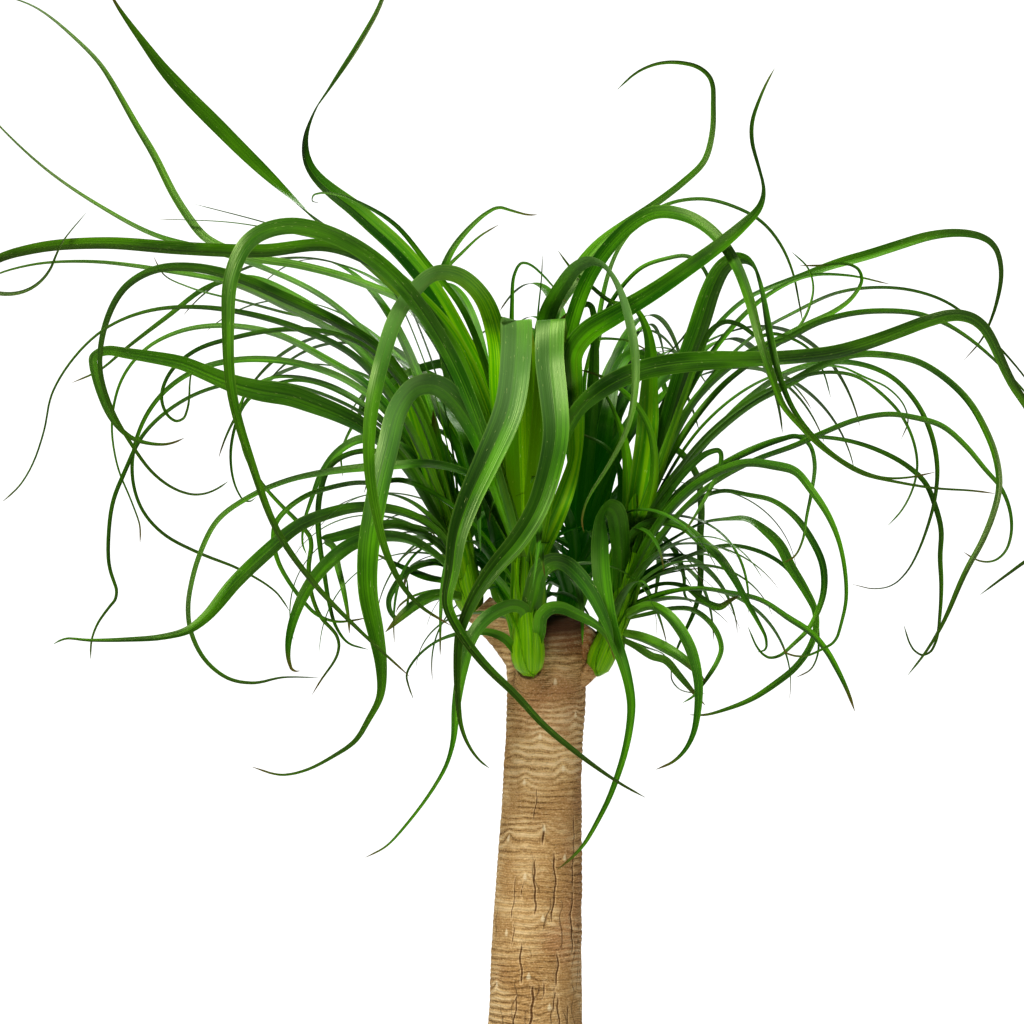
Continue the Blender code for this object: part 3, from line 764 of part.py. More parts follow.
def clear_leaves(leaves):
    """Bends leaves towards or away from the front until no two cross, with their roots held."""
    heads = {name: number for number, name in enumerate(list(CORES) + ["trunk"])}
    blocks = obstacles()
    points = np.concatenate([leaf.points for leaf in leaves] + [block[1] for block in blocks])
    counts = [len(leaf.points) for leaf in leaves] + [len(block[1]) for block in blocks]
    owner = np.repeat(np.arange(len(counts)), counts)
    head = np.repeat([heads[leaf.head] for leaf in leaves] + [heads[block[0]] for block in blocks], counts)
    run = np.concatenate([leaf.root_run for leaf in leaves] + [np.zeros(len(block[1])) for block in blocks])
    flat = np.concatenate(
        [0.5 * leaf.widths * np.hypot(leaf.across[:, 0], leaf.across[:, 2]) + 0.1 for leaf in leaves]
        + [block[2] for block in blocks])
    deep = np.concatenate(
        [0.5 * leaf.widths * np.abs(leaf.across[:, 1]) + 0.14 for leaf in leaves]
        + [block[2] for block in blocks])
    solid = owner >= len(leaves)
    free = np.where(solid, 0.0, np.clip((run - 1.5) / 9.0, 0, 1) ** 1.5)
    first, second = near_pairs(points, flat, owner, head, run, solid)
    need = deep[first] + deep[second] + LEAF_CLEARANCE * np.where(head[first] == head[second], 0.5, 1.0)
    depth = points[:, 1].copy()
    group = crossing_numbers(owner, first, second)
    order = np.bincount(group, weights=depth[first] - depth[second])
    side = np.where(order[group] >= 0, 1.0, -1.0)
    share = free[first] / np.maximum(free[first] + free[second], 1e-6)
    kernels = smoothing_kernels(leaves)
    shift = np.zeros(len(depth))
    settled = depth.copy()
    for _ in range(CLEARING_ROUNDS):
        lack = np.maximum(need - side * (depth[first] - depth[second]), 0)
        push = np.zeros(len(depth))
        pull = np.zeros(len(depth))
        forward = lack * share
        backward = lack * (1 - share)
        np.maximum.at(push, first[side > 0], forward[side > 0])
        np.maximum.at(pull, first[side < 0], forward[side < 0])
        np.maximum.at(pull, second[side > 0], backward[side > 0])
        np.maximum.at(push, second[side < 0], backward[side < 0])
        move = (push - pull) * free
        start = 0
        for leaf, kernel in zip(leaves, kernels):
            rows = slice(start, start + len(leaf.points))
            shift[rows] += 0.8 * (kernel @ move[rows]) * free[rows]
            depth[rows] = settled[rows] + leaf.hold @ shift[rows]
            start = rows.stop
    start = 0
    for leaf in leaves:
        rows = slice(start, start + len(leaf.points))
        leaf.points = np.stack((leaf.points[:, 0], depth[rows], leaf.points[:, 2]), axis=1)
        start = rows.stop


def near_pairs(points, flat, owner, head, run, solid):
    """Pairs of samples whose front views overlap and that don't belong to one root zone."""
    firsts = []
    seconds = []
    for number in range(owner.max() + 1):
        rows = np.nonzero(owner == number)[0]
        others = np.nonzero(owner >= number)[0]
        apart = np.hypot(points[rows, None, 0] - points[None, others, 0], points[rows, None, 2] - points[None, others, 2])
        close = apart < flat[rows][:, None] + flat[others][None]
        one = owner[others][None] == number
        close &= ~one | (run[others][None] - run[rows][:, None] > 5.0)
        rooted = (run[rows][:, None] < ROOT_ZONE) & (run[others][None] < ROOT_ZONE)
        kin = head[others][None] == head[rows][:, None]
        close &= ~(kin & (rooted | solid[others][None] | solid[rows][:, None]))
        close &= ~(solid[others][None] & solid[rows][:, None])
        place, other = np.nonzero(close)
        firsts.append(rows[place])
        seconds.append(others[other])
    return np.concatenate(firsts), np.concatenate(seconds)


def crossing_numbers(owner, first, second):
    """Numbers each place where two leaves pass, so that each keeps one order of its own."""
    pair = owner[first] * (owner.max() + 1) + owner[second]
    order = np.lexsort((first, pair))
    fresh = (np.diff(pair[order]) != 0) | (np.diff(first[order]) > 3)
    numbers = np.empty(len(order), int)
    numbers[order] = np.concatenate(([0], np.cumsum(fresh)))
    return numbers


def smoothing_kernels(leaves):
    kernels = []
    for leaf in leaves:
        apart = leaf.root_run[:, None] - leaf.root_run[None]
        kernel = np.exp(-0.5 * (apart / 1.6) ** 2)
        kernels.append(kernel / kernel.max(axis=1, keepdims=True) / 2.2)
    return kernels


def blade_stations(points, across):
    """Places along the leaf, closer together where it bends or turns."""
    tangents = unit(np.gradient(points, axis=0))
    bend = np.degrees(np.arccos(np.clip(np.sum(tangents[1:] * tangents[:-1], axis=1), -1, 1)))
    twist = np.degrees(np.arccos(np.clip(np.sum(across[1:] * across[:-1], axis=1), -1, 1)))
    step = np.diff(lengths_along(points))
    cost = np.hypot(bend, 0.6 * twist) / TURN_PER_STATION + step / LENGTH_PER_STATION
    total = np.concatenate(([0.0], np.cumsum(cost)))
    count = max(4, int(math.ceil(total[-1])) + 1)
    return np.interp(np.linspace(0, total[-1], count), total, np.arange(len(total)))


def blade_mesh(leaf):
    """Rings of points along the blade: two edges, a sunk midline and a keel, or no midline if narrow."""
    points = leaf.at_stations(leaf.points)
    across = unit(leaf.at_stations(leaf.across))
    widths = leaf.at_stations(leaf.widths)
    tangents = unit(np.gradient(points, axis=0))
    across = unit(across - tangents * np.sum(across * tangents, axis=1, keepdims=True))
    upper = np.cross(tangents, across)
    wide = leaf.widths.max() >= WIDE_BLADE
    rings = []
    for point, aside, up, width in zip(points, across, upper, widths):
        middle = point - up * BLADE_CHANNEL * width
        ring = [point - aside * width / 2]
        if wide:
            ring.append(middle)
        ring.append(point + aside * width / 2)
        ring.append(middle - up * BLADE_THICKNESS)
        rings.extend(ring)
    around = 4 if wide else 3
    faces = []
    for face in ring_faces(len(points), around):
        if len(face) == 4 and face[0] + around == face[3]:
            faces.extend(split_alike(face, around, wide))
        else:
            faces.append(face)
    return np.array(rings) * CM, faces


def split_alike(face, around, wide):
    """Both faces of a blade split from its edges towards its middle, so that they can't cross."""
    side = face[0] % around
    from_edge = side in ((0, 2) if wide else (0, 1))
    if from_edge:
        return (face[0], face[1], face[2]), (face[0], face[2], face[3])
    return (face[0], face[1], face[3]), (face[1], face[2], face[3])


def tube_mesh(stations, sides, extra=0.0):
    """A closed tube along stations of (x, y, z, radius) in centimetres."""
    stations = np.asarray(stations, float)
    centres = stations[:, :3].copy()
    tangents = unit(np.gradient(centres, axis=0))
    centres[0] -= tangents[0] * extra
    points = []
    for centre, tangent, radius in zip(centres, tangents, stations[:, 3]):
        right = unit(np.cross(tangent, (0.0, 1.0, 0.0)))
        back = np.cross(right, tangent)
        for side in range(sides):
            angle = math.tau * side / sides
            points.append(centre + (right * math.cos(angle) + back * math.sin(angle)) * (radius + extra))
    return np.array(points) * CM, ring_faces(len(stations), sides)


def make_head(name, leaves, finish):
    core_points, core_faces = tube_mesh(CORES[name], CORE_SIDES)
    head = add_object(name, core_points, core_faces, finish, 50)
    point_normals_out(head)
    blades = []
    for number, leaf in enumerate(leaves):
        points, faces = blade_mesh(leaf)
        blade = add_object(f"blade_{number}", points, faces, finish)
        point_normals_out(blade)
        blades.append(blade)
    apply_boolean(head, "UNION", blades, "MANIFOLD")
    drop_pockets(head)
    return head


def bark_relief(height, angle, row):
    """Ring ridges, with a gentle wave round the trunk."""
    ridge = RING_RELIEF * (1 if row % 2 else -1)
    return ridge + 0.05 * math.sin(3 * angle + height * 0.21) + 0.03 * math.sin(5 * angle - height * 0.5)


def make_trunk(finish):
    stations = np.array(TRUNK_STATIONS)
    buried = stations[:BURIED_STATIONS, 0]
    rings = int((stations[-1, 0] - buried[-1]) / RING_STEP)
    heights = np.concatenate((buried, np.linspace(buried[-1], stations[-1, 0], rings + 1)[1:]))
    middles = curve_through(stations[:, 0], stations[:, 1], heights)
    radii = curve_through(stations[:, 0], stations[:, 2], heights)
    points = []
    for row, (height, middle, base) in enumerate(zip(heights, middles, radii)):
        for side in range(TRUNK_SIDES):
            angle = math.tau * side / TRUNK_SIDES
            radius = base
            if row >= BURIED_STATIONS:
                radius += bark_relief(height, angle, row)
            points.append((CM * (middle + radius * math.cos(angle)), CM * radius * math.sin(angle), CM * height))
    trunk = add_object("trunk", points, ring_faces(len(heights), TRUNK_SIDES), finish)
    point_normals_out(trunk)
    necks = []
    for number, neck in enumerate(NECKS):
        neck_points, neck_faces = tube_mesh(neck, NECK_SIDES)
        made = add_object(f"neck_{number}", neck_points, neck_faces, finish)
        point_normals_out(made)
        necks.append(made)
    apply_boolean(trunk, "UNION", necks, "MANIFOLD")
    sockets = []
    for name, core in CORES.items():
        socket_points, socket_faces = tube_mesh(core, CORE_SIDES, GAP / CM)
        made = add_object(name + "_socket", socket_points, socket_faces, finish)
        point_normals_out(made)
        sockets.append(made)
    apply_boolean(trunk, "DIFFERENCE", sockets, "MANIFOLD")
    drop_pockets(trunk)
    return trunk


def pot_outer(height):
    """Outer radius of the pot's tapered body at this height."""
    body_top = POT_RIM_RADIUS - POT_BAND_STEP
    return POT_BASE_RADIUS + (body_top - POT_BASE_RADIUS) * height / POT_HEIGHT


def make_pot(finish):
    band_low = POT_HEIGHT - POT_BAND
    profile = (
        (0, 0), (POT_BASE_RADIUS - POT_EDGE, 0), (POT_BASE_RADIUS, POT_EDGE),
        (pot_outer(band_low), band_low), (pot_outer(band_low) + POT_BAND_STEP, band_low + POT_EDGE),
        (POT_RIM_RADIUS, POT_HEIGHT - POT_EDGE), (POT_RIM_RADIUS - POT_EDGE, POT_HEIGHT),
        (POT_HOLLOW_RIM + POT_FILLET / 2, POT_HEIGHT), (POT_HOLLOW_RIM, POT_HEIGHT - POT_FILLET / 2),
        (POT_HOLLOW_FOOT, POT_FLOOR + POT_FILLET), (POT_HOLLOW_FOOT - POT_FILLET, POT_FLOOR), (0, POT_FLOOR),
    )
    pot = turned("pot", profile, POT_SIDES, finish)
    drill_profile = (
        (0, -POT_FLOOR), (DRAIN_RADIUS, -POT_FLOOR), (DRAIN_RADIUS, 3 * POT_FLOOR), (0, 3 * POT_FLOOR),
    )
    drills = []
    for number in range(DRAIN_HOLES):
        angle = math.tau * (number + 0.5) / DRAIN_HOLES
        drill = turned(f"drill_{number}", drill_profile, DRAIN_SIDES, finish)
        shift = (DRAIN_CIRCLE * math.cos(angle), DRAIN_CIRCLE * math.sin(angle), 0)
        drill.data.transform(Matrix.Translation(shift))
        drills.append(drill)
    apply_boolean(pot, "DIFFERENCE", drills, "EXACT")
    return pot


def inner_radius(height):
    """Radius of the pot's hollow at this height."""
    low = POT_FLOOR + POT_FILLET
    share = (height - low) / (POT_HEIGHT - POT_FILLET / 2 - low)
    return POT_HOLLOW_FOOT + (POT_HOLLOW_RIM - POT_HOLLOW_FOOT) * share


def make_soil(finish):
    """Fills the pot to below its rim, with a plain hole that the swollen foot stands in."""
    foot = np.array(TRUNK_STATIONS[:BURIED_STATIONS]) * CM
    round_out = 1 / math.cos(math.pi / POT_SIDES)
    bottom = POT_FLOOR + GAP
    profile = [(0, bottom), (POT_HOLLOW_FOOT - POT_FILLET, bottom)]
    for height in (POT_FLOOR + POT_FILLET + GAP, SOIL_EDGE):
        profile.append((inner_radius(height) - GAP, height))
    profile.append(((inner_radius(SOIL_EDGE) + foot[-1, 2]) / 2, SOIL_CROWN))
    for height, _, radius in reversed(foot[1:]):
        profile.append(((radius + GAP) * round_out, height))
    profile.append((foot[0, 2] * round_out, foot[0, 0] - GAP))
    profile.append((0, foot[0, 0] - GAP))
    return turned("soil", profile, POT_SIDES, finish)


def main():
    clear_scene()
    leaf_finish = material("leaf", LEAF_COLOUR, 0.35)
    bark = material("bark", BARK_COLOUR, 0.85)
    earth = material("soil", SOIL_COLOUR, 0.95)
    clay = material("pot", POT_COLOUR, 0.7)
    leaves = all_leaves()
    clear_leaves(leaves)
    for name in CORES:
        make_head(name, [leaf for leaf in leaves if leaf.head == name], leaf_finish)
    make_trunk(bark)
    make_soil(earth)
    make_pot(clay)


main()
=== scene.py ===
# Looks of the potted ponytail palm: fine leaves, ringed bark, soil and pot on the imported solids.
# Leaf and trunk numbers are centimetres, as in the part; meshes are in metres.

import math
import random

import bmesh
import bpy
import numpy as np
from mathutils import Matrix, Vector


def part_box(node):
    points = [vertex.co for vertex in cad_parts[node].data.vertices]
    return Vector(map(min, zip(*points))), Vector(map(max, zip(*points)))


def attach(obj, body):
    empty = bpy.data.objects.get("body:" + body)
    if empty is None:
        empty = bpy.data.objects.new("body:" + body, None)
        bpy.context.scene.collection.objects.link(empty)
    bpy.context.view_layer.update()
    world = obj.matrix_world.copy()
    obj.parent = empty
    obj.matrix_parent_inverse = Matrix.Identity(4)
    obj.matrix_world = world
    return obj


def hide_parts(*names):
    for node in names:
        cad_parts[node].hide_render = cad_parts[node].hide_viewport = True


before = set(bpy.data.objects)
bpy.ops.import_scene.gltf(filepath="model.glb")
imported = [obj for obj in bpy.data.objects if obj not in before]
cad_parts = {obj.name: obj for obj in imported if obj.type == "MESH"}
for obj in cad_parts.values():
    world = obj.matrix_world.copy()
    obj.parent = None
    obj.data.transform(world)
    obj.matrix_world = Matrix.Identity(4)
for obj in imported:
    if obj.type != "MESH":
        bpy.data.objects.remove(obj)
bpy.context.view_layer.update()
cm = 0.01


# Shader sums written as plain sums

def plug(tree, target, value):
    if isinstance(value, Wire):
        tree.links.new(value.socket, target)
    elif hasattr(target.default_value, "__len__") and not hasattr(value, "__len__"):
        target.default_value = [value] * len(target.default_value)
    else:
        target.default_value = value


def makeNode(tree, kind, settings=None, values=None):
    made = tree.nodes.new(kind)
    for key, value in (settings or {}).items():
        setattr(made, key, value)
    for key, value in (values or {}).items():
        plug(tree, made.inputs[key], value)
    return made


def mathNode(tree, operation, *values):
    made = makeNode(tree, "ShaderNodeMath", {"operation": operation}, dict(enumerate(values)))
    return Wire(tree, made.outputs[0])


class Wire:
    # A node's output that takes part in sums
    def __init__(self, tree, socket):
        self.tree = tree
        self.socket = socket

    def __add__(self, other):
        return mathNode(self.tree, "ADD", self, other)

    def __radd__(self, other):
        return mathNode(self.tree, "ADD", other, self)

    def __sub__(self, other):
        return mathNode(self.tree, "SUBTRACT", self, other)

    def __rsub__(self, other):
        return mathNode(self.tree, "SUBTRACT", other, self)

    def __mul__(self, other):
        return mathNode(self.tree, "MULTIPLY", self, other)

    def __rmul__(self, other):
        return mathNode(self.tree, "MULTIPLY", other, self)

    def __pow__(self, other):
        return mathNode(self.tree, "POWER", self, other)

    def abs(self):
        return mathNode(self.tree, "ABSOLUTE", self)

    def sin(self):
        return mathNode(self.tree, "SINE", self)

    def angle(self, other):
        return mathNode(self.tree, "ARCTAN2", self, other)

    def clamp(self):
        return mathNode(self.tree, "MINIMUM", mathNode(self.tree, "MAXIMUM", self, 0.0), 1.0)


class Finish:
    # One material and the nodes that feed it
    def __init__(self, name, **constants):
        self.material = bpy.data.materials.new(name)
        self.material.use_nodes = True
        self.tree = self.material.node_tree
        self.shader = self.tree.nodes["Principled BSDF"]
        for socketName, value in constants.items():
            self.shader.inputs[socketName.replace("_", " ")].default_value = value

    def node(self, kind, settings=None, values=None, output=0):
        return Wire(self.tree, makeNode(self.tree, kind, settings, values).outputs[output])

    def attribute(self, name):
        return self.node("ShaderNodeAttribute", {"attribute_name": name}, output="Fac")

    def place(self, scale=(1, 1, 1)):
        coords = self.node("ShaderNodeTexCoord", output="Object")
        return self.node("ShaderNodeMapping", None, {"Vector": coords, "Scale": scale})

    def axes(self, vector):
        made = makeNode(self.tree, "ShaderNodeSeparateXYZ", None, {"Vector": vector})
        return [Wire(self.tree, socket) for socket in made.outputs]

    def join(self, x, y, z):
        return self.node("ShaderNodeCombineXYZ", None, {"X": x, "Y": y, "Z": z})

    def noise(self, vector, scale, detail=3.0, roughness=0.5):
        values = {"Vector": vector, "Scale": scale, "Detail": detail, "Roughness": roughness}
        return self.node("ShaderNodeTexNoise", None, values)

    def step(self, value, low, high):
        settings = {"interpolation_type": "SMOOTHSTEP"}
        values = {"Value": value, "From Min": low, "From Max": high}
        return self.node("ShaderNodeMapRange", settings, values)

    def mix(self, factor, first, second):
        # The colour sockets of the Mix node are its seventh and eighth
        values = {0: factor, 6: first, 7: second}
        return self.node("ShaderNodeMix", {"data_type": "RGBA"}, values, output=2)

    def bump(self, height, distance, strength):
        values = {"Height": height, "Distance": distance, "Strength": strength}
        return self.node("ShaderNodeBump", None, values)

    def feed(self, **wires):
        for socketName, wire in wires.items():
            plug(self.tree, self.shader.inputs[socketName.replace("_", " ")], wire)


def colour(red, green, blue):
    # A linear colour from display values out of 255
    return tuple(((value / 255 + 0.055) / 1.055) ** 2.4 if value > 10 else value / 255 / 12.92
                 for value in (red, green, blue)) + (1.0,)


# Camera and light

# The eye that the leaves are laid out for, how far above it the camera stands, and the width it sees
view = {"eye": (-1.2, -400.0, 73.0), "raised": 0.11, "width": 76.8, "sensor": 36.0}


def setCamera():
    lens = bpy.data.cameras.new("photoCamera")
    lens.sensor_width = view["sensor"]
    lens.lens = view["sensor"] * -view["eye"][1] / view["width"]
    lens.clip_end = 50
    camera = bpy.data.objects.new("photoCamera", lens)
    camera.location = [value * cm for value in view["eye"]]
    camera.location.z += view["raised"] * cm
    camera.rotation_euler = (math.radians(90), 0, 0)
    bpy.context.scene.collection.objects.link(camera)
    bpy.context.scene.camera = camera


# Each lamp's name, place in metres, size and power
studio = {
    "lamps": (
        ("keyLamp", (-1.3, -2.1, 3.0), 1.0, 104),
        ("fillLamp", (2.6, -2.4, 1.0), 1.4, 18),
        ("topLamp", (0.2, 0.6, 3.2), 1.4, 30),
        ("backLamp", (0.9, 2.6, 2.0), 1.2, 18),
    ),
    "aim": (0.0, 0.0, 0.78),
    "skyLight": 0.09,
    "skySeen": 1.0,
    "floorSize": 1.9,
}


def setLights():
    for name, spot, size, power in studio["lamps"]:
        lamp = bpy.data.lights.new(name, "AREA")
        lamp.shape = "DISK"
        lamp.size = size
        lamp.energy = power
        item = bpy.data.objects.new(name, lamp)
        item.location = spot
        reach = np.array(studio["aim"]) - np.array(spot)
        across = math.hypot(reach[0], reach[1])
        item.rotation_euler = (math.atan2(across, -reach[2]), 0, math.atan2(-reach[0], reach[1]))
        bpy.context.scene.collection.objects.link(item)
    sky = bpy.data.worlds.new("studioSky")
    sky.use_nodes = True
    nodes = sky.node_tree.nodes
    ground = nodes["Background"]
    ground.inputs["Color"].default_value = (1, 1, 1, 1)
    seen = nodes.new("ShaderNodeLightPath")
    strength = nodes.new("ShaderNodeMapRange")
    strength.inputs["To Min"].default_value = studio["skyLight"]
    strength.inputs["To Max"].default_value = studio["skySeen"]
    sky.node_tree.links.new(seen.outputs["Is Camera Ray"], strength.inputs["Value"])
    sky.node_tree.links.new(strength.outputs[0], ground.inputs["Strength"])
    bpy.context.scene.world = sky
    bpy.context.scene.view_settings.view_transform = "Standard"
    bpy.context.scene.view_settings.look = "Medium High Contrast"


def setFloor():
    finish = Finish("paleFloor", Roughness=0.8)
    grain = finish.noise(finish.place(), 3.0)
    finish.feed(Base_Color=finish.mix(grain, (0.86, 0.86, 0.85, 1), (0.90, 0.90, 0.89, 1)))
    sheet = bmesh.new()
    bmesh.ops.create_circle(sheet, cap_ends=True, segments=96, radius=studio["floorSize"])
    showMesh("floor", sheetMesh("floor", sheet), finish.material)


def sheetMesh(name, sheet):
    mesh = bpy.data.meshes.new(name)
    sheet.to_mesh(mesh)
    sheet.free()
    return mesh


def mergeMeshes(name, meshes):
    sheet = bmesh.new()
    for mesh in meshes:
        sheet.from_mesh(mesh)
    return sheetMesh(name, sheet)


def showMesh(name, mesh, material):
    mesh.materials.clear()
    mesh.materials.append(material)
    item = bpy.data.objects.new(name, mesh)
    bpy.context.scene.collection.objects.link(item)
    return item


def gridMesh(name, rows):
    # A skin over rings of points (rows, around, 3) in metres, closed at both ends
    count, around, _ = rows.shape
    faces = []
    for row in range(count - 1):
        for side in range(around):
            after = (side + 1) % around
            faces.append((row * around + side, row * around + after,
                          (row + 1) * around + after, (row + 1) * around + side))
    points = list(rows.reshape(-1, 3)) + [rows[0].mean(axis=0), rows[-1].mean(axis=0)]
    low = count * around
    for side in range(around):
        after = (side + 1) % around
        faces.append((low, after, side))
        faces.append((low + 1, low - around + side, low - around + after))
    mesh = bpy.data.meshes.new(name)
    mesh.from_pydata([tuple(point) for point in points], [], faces)
    mesh.shade_smooth()
    return mesh


def pointNormalsOut(mesh):
    sheet = bmesh.new()
    sheet.from_mesh(mesh)
    bmesh.ops.recalc_face_normals(sheet, faces=sheet.faces)
    sheet.to_mesh(mesh)
    sheet.free()


def addValues(mesh, name, values):
    store = mesh.attributes.new(name, "FLOAT", "POINT")
    full = np.zeros(len(mesh.vertices), np.float32)
    full[:len(values)] = values
    store.data.foreach_set("value", full)


# Leaves: the part's own routes, smoothed, and bent clear of each other in the same way

